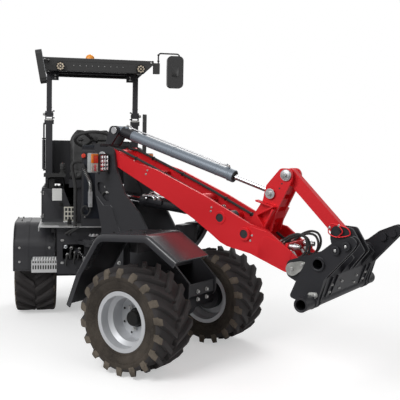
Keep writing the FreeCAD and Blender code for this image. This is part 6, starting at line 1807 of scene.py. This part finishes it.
# ---------------------------------------------------------------------------
# Operator's place
# ---------------------------------------------------------------------------
@dataclass
class Seat:
    """Padded seat: a squab and a back with side rolls, a sewn middle and piped seams.

    Args:
        rear: Rear edge of the seat's cushion.
        front: Front edge of the cushion.
        half: Half the width of the seat.
        back_top: Top of the backrest.
        taper: How much narrower, on each side, the backrest gets at its top.
        puff: Furthest that a point may swell, in metres.
        grid: Size of the voxels of the remeshed cushion, in metres.
    """

    rear: float = -605.0
    front: float = -255.0
    half: float = 235.0
    back_top: float = 1810.0
    taper: float = 70.0
    puff: float = 0.014
    grid: float = 0.0055

    def build(self) -> None:
        """Build both cushions."""
        self.squab()
        self.backrest()

    def swell(self, piece: bpy.types.Object) -> None:
        """Blow a cushion up gently, as its foam fills its cover.

        Args:
            piece: Closed cushion, a little smaller than it ends.
        """
        bpy.ops.object.select_all(action="DESELECT")
        bpy.context.view_layer.objects.active = piece
        piece.select_set(True)
        remesh = piece.modifiers.new("even_mesh", "REMESH")
        remesh.mode = "VOXEL"
        remesh.voxel_size = self.grid
        bpy.ops.object.modifier_apply(modifier=remesh.name)
        before = [vert.co.copy() for vert in piece.data.vertices]
        cloth = piece.modifiers.new("cover", "CLOTH")
        cloth.settings.use_pressure = True
        cloth.settings.uniform_pressure_force = 4.0
        cloth.settings.effector_weights.gravity = 0.0
        cloth.settings.quality = 4
        for step in range(1, 16):
            bpy.context.scene.frame_set(step)
        shape = piece.evaluated_get(bpy.context.evaluated_depsgraph_get()).to_mesh()
        for vert, old, new in zip(piece.data.vertices, before, shape.vertices):
            shift = new.co - old
            if shift.length > self.puff:
                shift = shift.normalized() * self.puff
            vert.co = old + shift
        piece.evaluated_get(bpy.context.evaluated_depsgraph_get()).to_mesh_clear()
        piece.modifiers.clear()
        bpy.context.scene.frame_set(1)
        for face in piece.data.polygons:
            face.use_smooth = True

    def squab(self) -> None:
        """Build the seat's cushion with raised side rolls and sewn channels."""
        piece = Piece("seat_squab", REAR, Finishes.seat_vinyl)
        rings = []
        count, rows = 36, 15
        for row in range(rows):
            part = row / (rows - 1)
            x = self.rear + 20 + (self.front - self.rear - 40) * part
            pinch = 1.0 - 0.12 * abs(2 * part - 1) ** 3
            loop = []
            for step in range(count):
                turn = TAU * step / count
                first, second = math.cos(turn), math.sin(turn)
                across = math.copysign(abs(first) ** 0.45, first) * (self.half - 17) * pinch
                up = math.copysign(abs(second) ** 0.6, second)
                share = abs(across) / self.half
                top = 30.0 - 10.0 * part + 12.0 * max(0.0, share - 0.55) / 0.45
                dip = (7.0 * math.exp(-((share - 0.56) / 0.05) ** 2)
                       + 4.0 * math.exp(-((part - 0.5) / 0.06) ** 2))
                height = 1372.0 + (up * top - (dip if up > 0.4 and share < 0.8 else 0.0)
                                   if up > 0 else up * 36.0)
                loop.append(Vector((x, across, height)))
            rings.append(loop)
        piece.loft(rings)
        made = piece.done("rear", "seat_vinyl", ("seat_cushion",), crease=70.0)
        self.swell(made)

    def backrest(self) -> None:
        """Build the seat's back, crowned and drawn in at its shoulders."""
        piece = Piece("seat_backrest", REAR, Finishes.seat_vinyl)
        rings = []
        count, rows = 36, 19
        base = self.rear - 80.0
        for row in range(rows):
            part = row / (rows - 1)
            z = 1354 + (self.back_top - 1354 - 18) * part
            lean = -60.0 * part
            wide = (self.half - 17) - max(0.0, (part - 0.68) / 0.32) ** 2 * self.taper - 16 * (1 - part) ** 4
            close = 1.0 - 0.45 * abs(2 * part - 1) ** 6
            loop = []
            for step in range(count):
                turn = TAU * step / count
                first, second = math.cos(turn), math.sin(turn)
                across = math.copysign(abs(first) ** 0.45, first) * wide
                deep = math.copysign(abs(second) ** 0.6, second)
                share = abs(across) / self.half
                roll = 13.0 * max(0.0, share - 0.5) / 0.5
                dip = (7.0 * math.exp(-((share - 0.5) / 0.05) ** 2)
                       + 4.0 * math.exp(-((part - 0.42) / 0.035) ** 2))
                dip += 4.0 * math.exp(-((part - 0.7) / 0.035) ** 2)
                out = deep * (24.0 + roll) - (dip if share < 0.75 else 0.0) if deep > 0 else deep * 24.0
                loop.append(Vector((base + 41 + lean + out * close, across, z)))
            rings.append(loop)
        piece.loft(rings)
        made = piece.done("rear", "seat_vinyl", ("seat_back",), crease=70.0)
        self.swell(made)


@dataclass
class Platform:
    """Controls and trim of the platform: pedals, switches, column, joystick, labels, latches and rails.

    Args:
        floor: Top of the floor plate. Not used.
        console_face: Front face of the console.
        wheel: Middle of the steering wheel, along and up.
        lean: Lean of the steering wheel, in degrees.
        box_front: Front face of the side boxes.
        box_in: Inner side of the side boxes.
        box_out: Outer side of the side boxes.
    """

    floor: float = 930.0
    console_face: float = -70.0
    wheel: Flat = (-240.0, 1690.0)
    lean: float = 25.0
    box_front: float = -400.0
    box_in: float = 262.0
    box_out: float = 460.0

    def build(self) -> None:
        """Build the fittings of the platform."""
        self.controls()
        self.boxes()
        self.floor_trim()
        self.console_trim()

    def controls(self) -> None:
        """Build the pedals, the joystick's boot and grip, and the spinner of the steering wheel."""
        piece = Piece("foot_pedals", REAR, Finishes.cream_plate)
        for across in (-208.0, 208.0):
            for side_y in (-44.0, -15.0, 15.0, 44.0):
                piece.slab([(-228, 965), (-219, 962), (-172, 1090), (-181, 1093)], across + side_y - 5,
                           across + side_y + 5, Plane.SIDE, 1.0)
            for low in (962, 1002, 1042, 1082):
                lean = (low - 962) * 0.367
                piece.slab([(-228 + lean, low), (-219 + lean, low), (-215 + lean, low + 11),
                            (-224 + lean, low + 11)],
                           across - 50, across + 50, Plane.SIDE, 1.0)
            piece.slab([(-222, 932), (-192, 932), (-192, 968), (-222, 980)], across - 18, across + 18,
                       Plane.SIDE, 2.0,
                       Finishes.cap_black)
            piece.tube([(-206, across - 55, 958), (-206, across + 55, 958)], 7.0, 12, False, Finishes.zinc)
        piece.done("rear", "pin_steel")
        grip = Piece("joystick_boot", REAR, Finishes.hose_rubber)
        rings = [(1378.2, 33.0), (1384, 33), (1388, 26), (1392, 29), (1396, 23), (1400, 26), (1404, 20),
                 (1408, 23),
                 (1412, 17), (1416, 19), (1421, 13), (1424, 12)]
        grip.turned(rings, (-335, -272, 0), "Z", 32)
        grip.turned([(1421, 14), (1432, 21), (1446, 25.2), (1462, 25.0), (1470, 20), (1474, 10),
                     (1474.5, 0.2)],
                    (-335, -272, 0), "Z", 32, Finishes.wheel_plastic)
        for first, second in ((-8, 0), (6, 7), (6, -7)):
            grip.turned([(1470, 4.5), (1476, 4.5), (1477, 3), (1477.1, 0.2)],
                        (-335 + first, -272 + second, 0), "Z", 12,
                        Finishes.cluster_red if first < 0 else Finishes.zinc)
        grip.done("rear", "hood_black")
        spin = Piece("wheel_trim", REAR.shifted(self.wheel[0], 0.0, self.wheel[1], self.lean),
                     Finishes.wheel_plastic)
        spin.turned([(16.2, 37.0), (19.0, 36.0), (22.0, 30.0), (23.5, 15.0), (23.6, 0.2)], sides=40, axis="Z")
        spin.turned([(14, 12), (24, 12), (30, 9), (40, 9), (46, 21), (58, 24), (68, 20), (72, 8),
                     (72.5, 0.2)],
                    (-118, -112, 0), "Z", 28)
        spin.turned([(-8, 16), (8, 18), (15, 17), (16, 12), (16.5, 0.2)], (-118, -112, 0), "Z", 24)
        for step in range(40):
            turn = TAU * (step + 0.5) / 40
            spot = (165.0 * math.cos(turn), 165.0 * math.sin(turn))
            side = (-math.sin(turn), math.cos(turn))
            loops = []
            for shift in (-2.2, 2.2):
                loops.append([Vector((spot[0] + side[0] * shift + math.cos(turn) * 14.9 * first,
                                      spot[1] + side[1] * shift + math.sin(turn) * 14.9 * first,
                                      14.9 * second))
                              for first, second in ring(1.0, 14)])
            spin.loft(loops)
        spin.done("rear", "wheel_plastic")

    def boxes(self) -> None:
        """Build the doors, blank labels, latches and hand rail of the side boxes."""
        piece = Piece("side_box_trim", REAR, Finishes.frame_black)
        face = self.box_front
        for side in Side:
            out = side.value
            near, far = (self.box_in + 14) * out, (self.box_out - 14) * out
            piece.slab([(near, 960, 10), (far, 960, 10), (far, 1228, 10), (near, 1228, 10)], face + 0.4,
                       face + 4.5,
                       Plane.FACE, 1.4)
            for up in (990, 1200):
                piece.tube([(face + 6, far, up - 18), (face + 6, far, up + 18)], 5.0, 12, False,
                           Finishes.zinc)
            piece.slab([(near - 6 * out, 1080, 3), (near + 26 * out, 1080, 3), (near + 26 * out, 1112, 3),
                        (near - 6 * out, 1112, 3)], face + 4.4, face + 11, Plane.FACE, 1.2,
                        Finishes.cap_black)
            side_face = self.box_out * out
            piece.slab([(-770, 960, 12), (-420, 960, 12), (-420, 1225, 12), (-770, 1225, 12)], side_face,
                       side_face + 4.0 * out, Plane.SIDE, 1.4)
            for along, up in ((-750, 980), (-440, 980), (-750, 1205), (-440, 1205)):
                piece.bolt((along, side_face + 4.0 * out, up), "Y", 12.0, out, Finishes.zinc)
            for low in (1010, 1040, 1070):
                piece.slab([(-690, low, 5), (-560, low, 5), (-560, low + 14, 5), (-690, low + 14, 5)],
                           side_face + 3.6 * out, side_face + 4.6 * out, Plane.SIDE, 0.0,
                           Finishes.hose_rubber)
        label = [(-366, 1130, 5), (-279, 1130, 5), (-279, 1241, 5), (-366, 1241, 5)]
        piece.slab(label, face + 4.6, face + 5.6, Plane.FACE, 0.3, Finishes.label_white)
        piece.tube([(-420, -405, 1245), (-420, -405, 1300), (-420, -392, 1330), (-420, -300, 1338),
                    (-420, -270, 1332), (-420, -262, 1300), (-420, -262, 1246)], 8.0, 12,
                    finish=Finishes.cap_black)
        piece.turned([(1245.2, 42), (1252, 42), (1256, 36), (1284, 36), (1290, 40), (1304, 40), (1308, 34),
                      (1308.5, 0.2)], (-600, 365, 0), "Z", 36, Finishes.cap_black)
        for across in (-372, -330):
            piece.turned([(1245.2, 11), (1250, 11), (1256, 8), (1262, 3), (1262.2, 0.2)], (-690, across, 0),
                         "Z", 18,
                         Finishes.zinc)
        piece.done("rear", "frame_black")

    def floor_trim(self) -> None:
        """Build the step teeth, the drain holes and the bolts of the floor plate."""
        piece = Piece("step_trim", REAR, Finishes.checker_plate)
        for side in Side:
            out = side.value
            for row in range(4):
                for column in range(9):
                    x = -235 - 46 * row
                    y = (330 + 24 * column) * out
                    piece.turned([(610, 9.5), (613.5, 7.5), (614.5, 5.5), (612, 4.5), (610.2, 4.0),
                                  (610.1, 0.2)],
                                 (x, y, 0), "Z", 14)
            for column in range(10):
                y = (326 + 22 * column) * out
                piece.slab([(y - 7 * out, 588), (y + 7 * out, 588), (y + 3 * out, 604), (y - 3 * out, 604)],
                           -204.2, -202.6, Plane.FACE, 0.4, Finishes.cap_black)
                piece.slab([(y - 6 * out, 530, 4), (y + 6 * out, 530, 4), (y + 6 * out, 566, 4),
                            (y - 6 * out, 566, 4)],
                           -209.6, -209.0, Plane.FACE, 0.0, Finishes.cap_black)
            for x, y in ((-90, 450), (-90, 150), (-360, 450), (-360, 250)):
                piece.turned([(930.1, 9), (932, 8.5), (933, 5), (933.1, 0.2)], (x, y * out, 0), "Z", 18,
                             Finishes.zinc)
            piece.slab([(-70, 455), (-70, 300), (-76, 300), (-76, 455)] if out > 0 else
                       [(-70, -455), (-70, -300), (-76, -300), (-76, -455)], 930.2, 938, Plane.LEVEL, 1.0)
        piece.done("rear", "checker_plate")

    def console_trim(self) -> None:
        """Build the console's seams, switches, red button and key, and the coils round the guarded hose."""
        piece = Piece("console_trim", REAR, Finishes.console_plastic)
        face = self.console_face
        piece.slab([(-88, 1000, 8), (88, 1000, 8), (88, 1560, 8), (-88, 1560, 8)], face + 0.3, face + 2.6,
                   Plane.FACE,
                   1.0)
        for across, up in ((-78, 1012), (78, 1012), (-78, 1548), (78, 1548), (78, 1280)):
            piece.bolt((face + 2.6, across, up), "X", 9.0, 1.0, Finishes.zinc)
        piece.turned([(0, 20), (5, 20), (6, 15), (12, 14), (13, 19), (20, 19), (24, 14), (24.3, 0.2)],
                     (face - 2, -91, 1549), "X", 28, Finishes.cluster_red)
        top = [(-96, 1612, 10), (96, 1612, 10), (96, 1644, 12), (-96, 1644, 12)]
        piece.slab(top, -150, -112, Plane.FACE, 3.0)
        for across in (-62, -31, 0, 31, 62):
            piece.slab([(-186, across - 10, 3), (-160, across - 10, 3), (-160, across + 10, 3),
                        (-186, across + 10, 3)], 1618, 1631, Plane.LEVEL, 1.5, Finishes.cap_black)
        piece.done("rear", "frame_black")
        coil = Piece("hose_guard", REAR, Finishes.zinc)
        line = smooth_line([(face + 35, -84, 1440), (face + 35, -66, 1380), (face + 35, -42, 1335),
                            (face + 35, -32, 1290), (face + 35, -32, 1250)], 10)
        turns, points = 17, []
        for step in range(turns * 12 + 1):
            part = step / (turns * 12)
            spot = part * (len(line) - 1)
            low = min(int(spot), len(line) - 2)
            here = line[low].lerp(line[low + 1], spot - low)
            ahead = (line[low + 1] - line[low]).normalized()
            aside = ahead.cross(Vector((1, 0, 0))).normalized()
            turn = TAU * turns * part
            points.append(here + (aside * math.cos(turn) + ahead.cross(aside) * math.sin(turn)) * 15.5)
        coil.tube(points, 2.2, 6, False)
        coil.turned([(0, 17), (12, 17), (13, 14), (22, 14)], (face + 35, -32, 1238), "Z", 6)
        for up in (1128, 1215):
            coil.bolt((face + 50.5, -32, up), "X", 13.0, 1.0)
        coil.tube([(face + 25, -32, 1106), (face + 25, -30, 1070), (face + 26, -60, 1030),
                   (face + 26, -100, 1040),
                   (face + 25, -104, 1090), (face + 25, -70, 1112), (face + 24, -52, 1080)], 8.0, 10,
                  finish=Finishes.hose_rubber)
        coil.done("rear", "pin_steel")


# ---------------------------------------------------------------------------
# Protective frame, roof and mirrors
# ---------------------------------------------------------------------------
@dataclass
class Overhead:
    """Roll bar, roof, lamps, beacon and mirrors: clamps, bolts, gutters, rings of chips and glass.

    Args:
        hoop: Middle of the roll bar, along and half across.
        post: Width of the upper posts.
        sleeve: Width of the lower posts.
        hinge: Height of the roll bar's hinge.
        roof_front: Front edge of the roof.
        roof_back: Rear edge of the roof.
        roof_edges: Right and left edges of the roof.
        roof_top: Top of the roof.
        lamps: Across places of the work lamps.
        lamp_up: Height of the work lamps.
        lamp_face: Front of the work lamps. Not used.
        beacon: Middle of the beacon, along and across.
    """

    hoop: Flat = (-620.0, 404.0)
    post: float = 48.0
    sleeve: float = 62.0
    hinge: float = 1925.0
    roof_front: float = -300.0
    roof_back: float = -960.0
    roof_edges: Flat = (-460.0, 540.0)
    roof_top: float = 2420.0
    lamps: Flat = (-298.0, 420.0)
    lamp_up: float = 2339.0
    lamp_face: float = -270.0
    beacon: Flat = (-620.0, -28.0)

    def build(self) -> None:
        """Build the fittings above the operator."""
        self.lower()
        self.upper()
        self.roof()
        self.work_lamps()
        self.beacon_lamp()
        self.mirror_trim()

    def lower(self) -> None:
        """Build the rings, ears and bolts at the roll bar's hinges."""
        piece = Piece("roll_bar_clamps", REAR, Finishes.frame_black)
        x, across = self.hoop
        for side in Side:
            middle = across * side.value
            half = self.sleeve / 2.0 + 1.5
            square = [(x - half, middle - half, 6), (x + half, middle - half, 6),
                      (x + half, middle + half, 6),
                      (x - half, middle + half, 6)]
            piece.slab(square, 1868, 1880, Plane.LEVEL, 1.2, Finishes.galvanised)
            piece.slab(square, 1840, 1850, Plane.LEVEL, 1.2)
            for along in (x - 45, x + 45):
                for up in (1259.5,):
                    piece.bolt((along, middle + 32, up), "Z", 18.0, 1.0, Finishes.zinc)
                    piece.bolt((along, middle - 32, up), "Z", 18.0, 1.0, Finishes.zinc)
            out = side.value
            piece.bolt((x, middle + 40 * out, self.hinge), "Y", 24.0, out, Finishes.zinc)
            for up in (1893, 1957):
                piece.slab([(x - 10, up - 6), (x + 10, up - 6), (x + 10, up + 6), (x - 10, up + 6)],
                           middle - 33 * out, middle - 50 * out, Plane.SIDE, 2.0)
            piece.bead([(x + 31.5, middle - 24, 1262), (x + 31.5, middle + 24, 1262)], 3.5)
        piece.turned([(1690, 16.5), (1696, 17.5), (1702, 17.0), (1703, 9.0)], (x, -452.0, 0), "Z", 24,
                     Finishes.cap_black)
        piece.done("rear", "frame_black")

    def upper(self) -> None:
        """Build the boxes' bolts and the caps of the folding half of the roll bar."""
        piece = Piece("roll_bar_trim", REAR, Finishes.frame_black)
        x, across = self.hoop
        for side in Side:
            middle = across * side.value
            for up in (2266, 2292):
                piece.bolt((x + 24, middle - 55 * side.value, up), "X", 12.0, 1.0, Finishes.zinc)
            half = self.post / 2.0 + 2.0
            piece.slab([(x - half, middle - half, 5), (x + half, middle - half, 5),
                        (x + half, middle + half, 5),
                        (x - half, middle + half, 5)], 1988, 1996, Plane.LEVEL, 1.0)
            piece.bead([(x + 24.3, middle - 24, 2247), (x + 24.3, middle + 24, 2247)], 3.0)
        piece.done("rops", "frame_black")

    def roof(self) -> None:
        """Build the roof's gutters, ribs, rivets and front seam."""
        piece = Piece("roof_trim", REAR, Finishes.hood_black)
        right, left = self.roof_edges
        top = self.roof_top - 3.5
        for across in (right + 12, left - 12):
            piece.tube([(self.roof_back + 20, across, top), (self.roof_front - 6, across, top)], 5.0, 12,
                       False)
        for across in (-340.0, -190.0, 120.0, 270.0, 420.0):
            piece.slab([(self.roof_back + 60, across - 16, 12), (self.roof_front - 50, across - 16, 12),
                        (self.roof_front - 50, across + 16, 12), (self.roof_back + 60, across + 16, 12)],
                       self.roof_top - 0.5, self.roof_top + 5.0, Plane.LEVEL, 2.5)
        face = self.roof_front
        piece.slab([(right + 60, 2384), (left - 60, 2384), (left - 60, 2388), (right + 60, 2388)], face,
                   face + 2.5,
                   Plane.FACE, 0.6)
        piece.tube([(face + 1, right + 50, 2303), (face + 1, left - 95, 2303)], 4.0, 10, False)
        for index in range(9):
            piece.turned([(0.0, 3.6), (1.6, 3.2), (1.7, 0.2)], (face, -180.0 + 55.0 * index, 2352), "X", 12,
                         Finishes.zinc)
        for across in (right + 24, left - 24):
            piece.bolt((face, across, 2400), "X", 12.0, 1.0, Finishes.zinc)
        for across in (-404.0, 404.0):
            for along in (-880.0, -640.0, -400.0):
                piece.bolt((along, across, 2309.5), "Z", 14.0, -1.0, Finishes.zinc)
        piece.done("rops", "hood_black")

    def work_lamps(self) -> None:
        """Build the round work lamps: finned case, bezel and a ring of chips."""
        piece = Piece("work_lamp_faces", REAR, Finishes.cap_black)
        for across in self.lamps:
            shape = [(-299.5, 39.0), (-292, 40.0), (-291, 37.0), (-287, 37.0), (-286, 40.0), (-282, 40.0),
                     (-281, 37.0), (-277, 37.0), (-276, 40.0), (-270.2, 40.0), (-270.0, 37.5), (-272.5, 36.5),
                     (-272.6, 0.2)]
            piece.turned(shape, (0, across, self.lamp_up), "X", 40)
            spots = [(0.0, 0.0)] + [(25.5 * math.cos(TAU * step / 8), 25.5 * math.sin(TAU * step / 8))
                                    for step in range(8)]
            for first, second in spots:
                cup = [(-272.4, 9.0), (-270.6, 8.6), (-270.5, 7.6), (-272.0, 4.0), (-271.2, 2.4),
                       (-271.1, 0.2)]
                piece.turned(cup, (0, across + first, self.lamp_up + second), "X", 16, Finishes.warm_chip)
                piece.turned([(-271.1, 2.6), (-270.7, 1.8), (-270.6, 0.2)],
                             (0, across + first, self.lamp_up + second), "X", 10, Finishes.led_chip)
        piece.done("rops", "lamp_lens", ("work_lamps",))

    def beacon_lamp(self) -> None:
        """Build the ribbed amber dome on its black foot."""
        piece = Piece("beacon_lamp", REAR, Finishes.beacon_amber)
        x, y = self.beacon
        foot = [(2420.4, 47.5), (2426, 47.8), (2430, 46.0), (2436, 44.0), (2437, 40.0)]
        piece.turned(foot, (x, y, 0), "Z", 48, Finishes.cap_black)
        dome = [(2436.5, 41.0), (2440, 41.8), (2462, 41.2), (2474, 38.5), (2483, 33.5), (2489.5, 26.0),
                (2494, 17.0),
                (2497, 8.0), (2497.6, 0.2)]
        rings = []
        for up, radius in dome:
            loop = []
            for step in range(72):
                turn = TAU * step / 72
                reach = radius * (1.0 - (0.025 if step % 3 == 0 else 0.0))
                loop.append(Vector((x + reach * math.cos(turn), y + reach * math.sin(turn), up)))
            rings.append(loop)
        piece.loft(rings)
        piece.done("rops", "beacon_amber", ("beacon",), crease=22.0)

    def mirror_trim(self) -> None:
        """Build the mirrors' glass, rims, ball joints and clamps."""
        piece = Piece("mirror_trim", REAR, Finishes.hood_black)
        middle = self.roof_top - 98.0
        across = self.roof_edges[1] + 195.0
        glass = [(across - 66, middle - 136, 34), (across + 66, middle - 136, 34),
                 (across + 66, middle + 136, 34),
                 (across - 66, middle + 136, 34)]
        piece.slab(glass, -321.5, -319.8, Plane.FACE, 0.5, Finishes.mirror_glass, 8)
        piece.slab([(across - 30, middle - 44, 8), (across + 30, middle - 44, 8),
                    (across + 30, middle + 44, 8),
                    (across - 30, middle + 44, 8)], -265.6, -259.0, Plane.FACE, 2.5, None, 4)
        piece.turned([(-18, 11), (0, 14), (18, 11)], (-327.0, across + 45.0, middle + 60), "Z", 18,
                     Finishes.cap_black)
        for up in (middle + 95, middle + 150):
            piece.turned([(0.0, 11.0), (10.0, 11.0)], (-327.0, self.roof_edges[1] + 45, up), "Z", 16,
                         Finishes.cap_black)
        piece.done("rops", "hood_black")
        turned = Piece("mirror_glass_right", REAR.shifted(-213.0, -462.0, middle), Finishes.mirror_glass)
        lean = math.radians(10.0)
        outline = rounded([(-66, -136, 34), (66, -136, 34), (66, 136, 34), (-66, 136, 34)], 8)
        for face in (28.2, -28.2):
            loops = []
            for depth in (face, face * 1.045):
                loops.append([Vector((first, depth * math.cos(lean) - second * math.sin(lean),
                                      second * math.cos(lean) + depth * math.sin(lean))) for first,
                                      second in outline])
            turned.loft(loops, None if face > 0 else Finishes.hood_black)
        turned.done("rops", "hood_black")


# ---------------------------------------------------------------------------
# Rear frame
# ---------------------------------------------------------------------------
@dataclass
class RearEnd:
    """Rear frame, hood and counterweight: fender bolts, louvre blades, seams, latch, hoses and lamps.

    Args:
        hood_half: Half the width of the hood.
        hood_end: Rear face of the hood.
        hood_low: Lower edge of the hood.
        hood_top: Top of the hood.
        weight_end: Rear face of the counterweight.
        front: Front face of the rear frame.
    """

    hood_half: float = 300.0
    hood_end: float = -1545.0
    hood_low: float = 700.3
    hood_top: float = 1300.0
    weight_end: float = -1600.0
    front: float = -130.0

    def build(self) -> None:
        """Build the fittings of the rear half."""
        self.fenders()
        self.hood()
        self.tail()
        self.frame_front()

    def fenders(self) -> None:
        """Build the rims, bolts and the two bright grooves of the rear covers."""
        piece = Piece("rear_fender_trim", REAR, Finishes.fender_plastic)
        line = [(-431, 478), (-431, 600), (-434, 740), (-470, 820), (-540, 880), (-640, 903), (-900, 904),
                (-1060, 904), (-1180, 835), (-1298, 762)]
        for side in Side:
            out = side.value
            for across in (341.0, 711.0):
                piece.tube([(x, across * out, z) for x, z in line], 5.0, 10)
            for along, across, up in ((-429.6, 390, 690), (-429.6, 660, 690), (-429.6, 390, 560),
                                      (-429.6, 660, 560)):
                piece.bolt((along, across * out, up), "X", 15.0, 1.0, Finishes.zinc)
            for along, across in ((-760, 380), (-760, 660), (-1000, 380), (-1000, 660)):
                piece.bolt((along, across * out, 905.3), "Z", 15.0, 1.0, Finishes.zinc)
            piece.slab([(-429.8, 478), (-423, 478), (-423, 486), (-429.8, 486)], 341 * out, 711 * out,
                       Plane.SIDE, 1.0)
        piece.done("rear", "fender_plastic")

    def hood(self) -> None:
        """Build the hood's louvre blades, panel seams, grips and latch."""
        piece = Piece("hood_trim", REAR, Finishes.hood_black)
        for side in Side:
            out = side.value
            for index in range(6):
                low = self.hood_low + 60 + 50 * index
                for row in range(3):
                    up = low + 5 + 8 * row
                    piece.slab([((self.hood_half - 4) * out, up), ((self.hood_half - 0.6) * out, up - 3),
                                ((self.hood_half - 0.6) * out, up - 1.4),
                                ((self.hood_half - 4) * out, up + 1.8)],
                               -1434, -1126, Plane.FACE, 0.0)
            piece.slab([(-1100, 760, 14), (-850, 760, 14), (-850, 1240, 14), (-1100, 1240, 14)],
                       self.hood_half * out, (self.hood_half + 3.0) * out, Plane.SIDE, 1.2)
            for along, up in ((-1085, 775), (-865, 775), (-1085, 1225), (-865, 1225)):
                piece.bolt((along, (self.hood_half + 3.0) * out, up), "Y", 12.0, out, Finishes.zinc)
            piece.tube([(-1060, 302 * out, 1080), (-1060, 322 * out, 1085), (-1060, 322 * out, 1195),
                        (-1060, 302 * out, 1200)], 6.0, 12, finish=Finishes.cap_black)
        for index in range(6):
            low = self.hood_low + 60 + 50 * index
            for row in range(3):
                up = low + 5 + 8 * row
                piece.slab([(self.hood_end + 4, up), (self.hood_end + 0.6, up - 3),
                            (self.hood_end + 0.6, up - 1.4),
                            (self.hood_end + 4, up + 1.8)], -194, 194, Plane.SIDE, 0.0)
        piece.turned([(0.0, 16.0), (-3.0, 16.0), (-4.0, 12.0), (-4.1, 0.2)], (self.hood_end, 0, 1085), "X",
                     28,
                     Finishes.zinc)
        piece.slab([(-70, 1046, 8), (70, 1046, 8), (70, 1064, 8), (-70, 1064, 8)], self.hood_end - 14,
                   self.hood_end + 0.5, Plane.FACE, 2.0, Finishes.cap_black)
        for across in (-150.0, 150.0):
            piece.slab([(-1180, across - 2), (-830, across - 2), (-830, across + 2), (-1180, across + 2)],
                       self.hood_top - 0.4, self.hood_top + 3.0, Plane.LEVEL, 1.0)
        for across in (-286.0, 286.0):
            piece.slab([(-830, across - 12), (-804, across - 12), (-804, across + 12), (-830, across + 12)],
                       self.hood_top - 0.4, self.hood_top + 6, Plane.LEVEL, 1.5, Finishes.cap_black)
        piece.done("hood", "hood_black")

    def tail(self) -> None:
        """Build the tail lamps' lenses and the counterweight's bolts, drawbar pin and edges."""
        piece = Piece("tail_lamp_lenses", REAR, Finishes.cluster_red)
        face = self.weight_end - 30.0
        for side in Side:
            out = side.value
            parts = ((172, 208, Finishes.cluster_red), (210, 246, Finishes.cluster_clear),
                     (248, 288, Finishes.cluster_amber))
            piece.slab([(170 * out, 610.2, 8), (290 * out, 610.2, 8), (290 * out, 669.8, 8),
                        (170 * out, 669.8, 8)],
                       face + 8, self.weight_end - 0.5, Plane.FACE, 2.0, Finishes.cap_black)
            for near, far, finish in parts:
                piece.slab([(near * out, 615, 3), (far * out, 615, 3), (far * out, 665, 3),
                            (near * out, 665, 3)],
                           face + 0.3, face + 12, Plane.FACE, 2.5, finish)
        piece.done("rear", "cluster_red", ("tail_lamps",), crease=24.0)
        weight = Piece("counterweight_trim", REAR, Finishes.frame_black)
        for across in (-240.0, 240.0):
            for up in (450.0, 560.0):
                weight.turned([(0.0, 22.0), (-2.0, 24.0), (-3.0, 24.0), (-3.1, 15.0), (-1.0, 14.0),
                               (-0.5, 0.2)],
                              (self.weight_end, across, up), "X", 28)
                weight.bolt((self.weight_end - 0.8, across, up), "X", 20.0, -1.0, Finishes.zinc)
        weight.turned([(480, 13.0), (590, 13.0), (594, 13.0), (595, 21.0), (603, 21.0), (606, 17.0),
                       (606.1, 0.2)],
                      (self.weight_end - 40.0, 0, 0), "Z", 28, Finishes.pin_steel)
        weight.tube([(self.weight_end - 40, 0, 604), (self.weight_end - 40, 12, 630),
                     (self.weight_end - 40, 0, 646),
                     (self.weight_end - 40, -12, 630), (self.weight_end - 40, 0, 604)], 3.0, 8,
                     finish=Finishes.zinc)
        weight.slab([(-120, 640, 8), (120, 640, 8), (120, 680, 8), (-120, 680, 8)], self.weight_end - 2.4,
                    self.weight_end - 0.2, Plane.FACE, 0.8, Finishes.label_white)
        weight.done("rear", "frame_black")

    def frame_front(self) -> None:
        """Build the hoses, unions and bolts round the articulation and under the floor."""
        piece = Piece("front_plate_fittings", REAR, Finishes.hose_rubber)
        face = self.front
        for across in (-252.0, -262.0):
            for up in (600.0, 800.0):
                piece.bolt((face, across - 12, up), "X", 14.0, 1.0, Finishes.zinc)
                piece.bolt((face, -across + 12, up), "X", 14.0, 1.0, Finishes.zinc)
        for side in Side:
            out = side.value
            for index, (near, up) in enumerate(((120, 720), (155, 690), (190, 730), (225, 672))):
                start = (face - 60, near * out, up)
                piece.tube([start, (face - 10, near * out, up), (face + 26, (near + 4) * out, up - 12),
                            (face + 34, (near + 10) * out, up - 50), (face + 16, (near + 12) * out, up - 88),
                            (face - 18, (near + 8) * out, up - 92), (face - 70, near * out, up - 80)], 8.5,
                            12)
                piece.turned([(0, 12), (14, 12), (15, 15), (24, 15), (25, 10)], (face - 22, near * out, up),
                             "X", 6,
                             Finishes.zinc)
            piece.turned([(0, 14), (10, 17), (26, 17), (28, 10), (40, 10)], (face - 30, 240 * out, 742), "X",
                         18,
                         Finishes.reflector)
        for across, low in ((-205, 905), (-235, 890), (215, 905)):
            piece.tube([(-64, across * 0.6, 921), (-52, across * 0.8, 900), (-58, across, 872),
                        (-80, across, 860),
                        (-128, across, 850)], 9.0, 12)
        piece.done("rear", "hose_rubber")
        lug = Piece("pivot_caps", REAR, Finishes.pin_steel)
        for up, out in ((855.2, 1.0), (459.8, -1.0)):
            lug.turned([(0.0, 44.0), (8.0 * out, 44.0), (10.0 * out, 41.0), (10.1 * out, 16.0),
                        (16.0 * out, 14.0),
                        (16.2 * out, 0.2)], (0, 0, up), "Z", 40)
            for step in range(4):
                turn = TAU * step / 4
                lug.bolt((29 * math.cos(turn), 29 * math.sin(turn), up + 9.8 * out), "Z", 11.0, out,
                         Finishes.zinc)
        lug.done("rear", "pin_steel")


def main() -> None:
    """Build every sub-assembly in order."""
    logging.basicConfig(level=logging.INFO, format="%(name)s: %(message)s")
    parts = (Wheels(), FrontFrame(), BoomArm(), Cylinders(), ToolCoupler(), Seat(), Platform(), Overhead(),
             RearEnd())
    for part in parts:
        part.build()
        LOG.info("%s is done", type(part).__name__)
    FramePieces().dress()
    Stage().build()


if __name__ == "__main__":
    main()
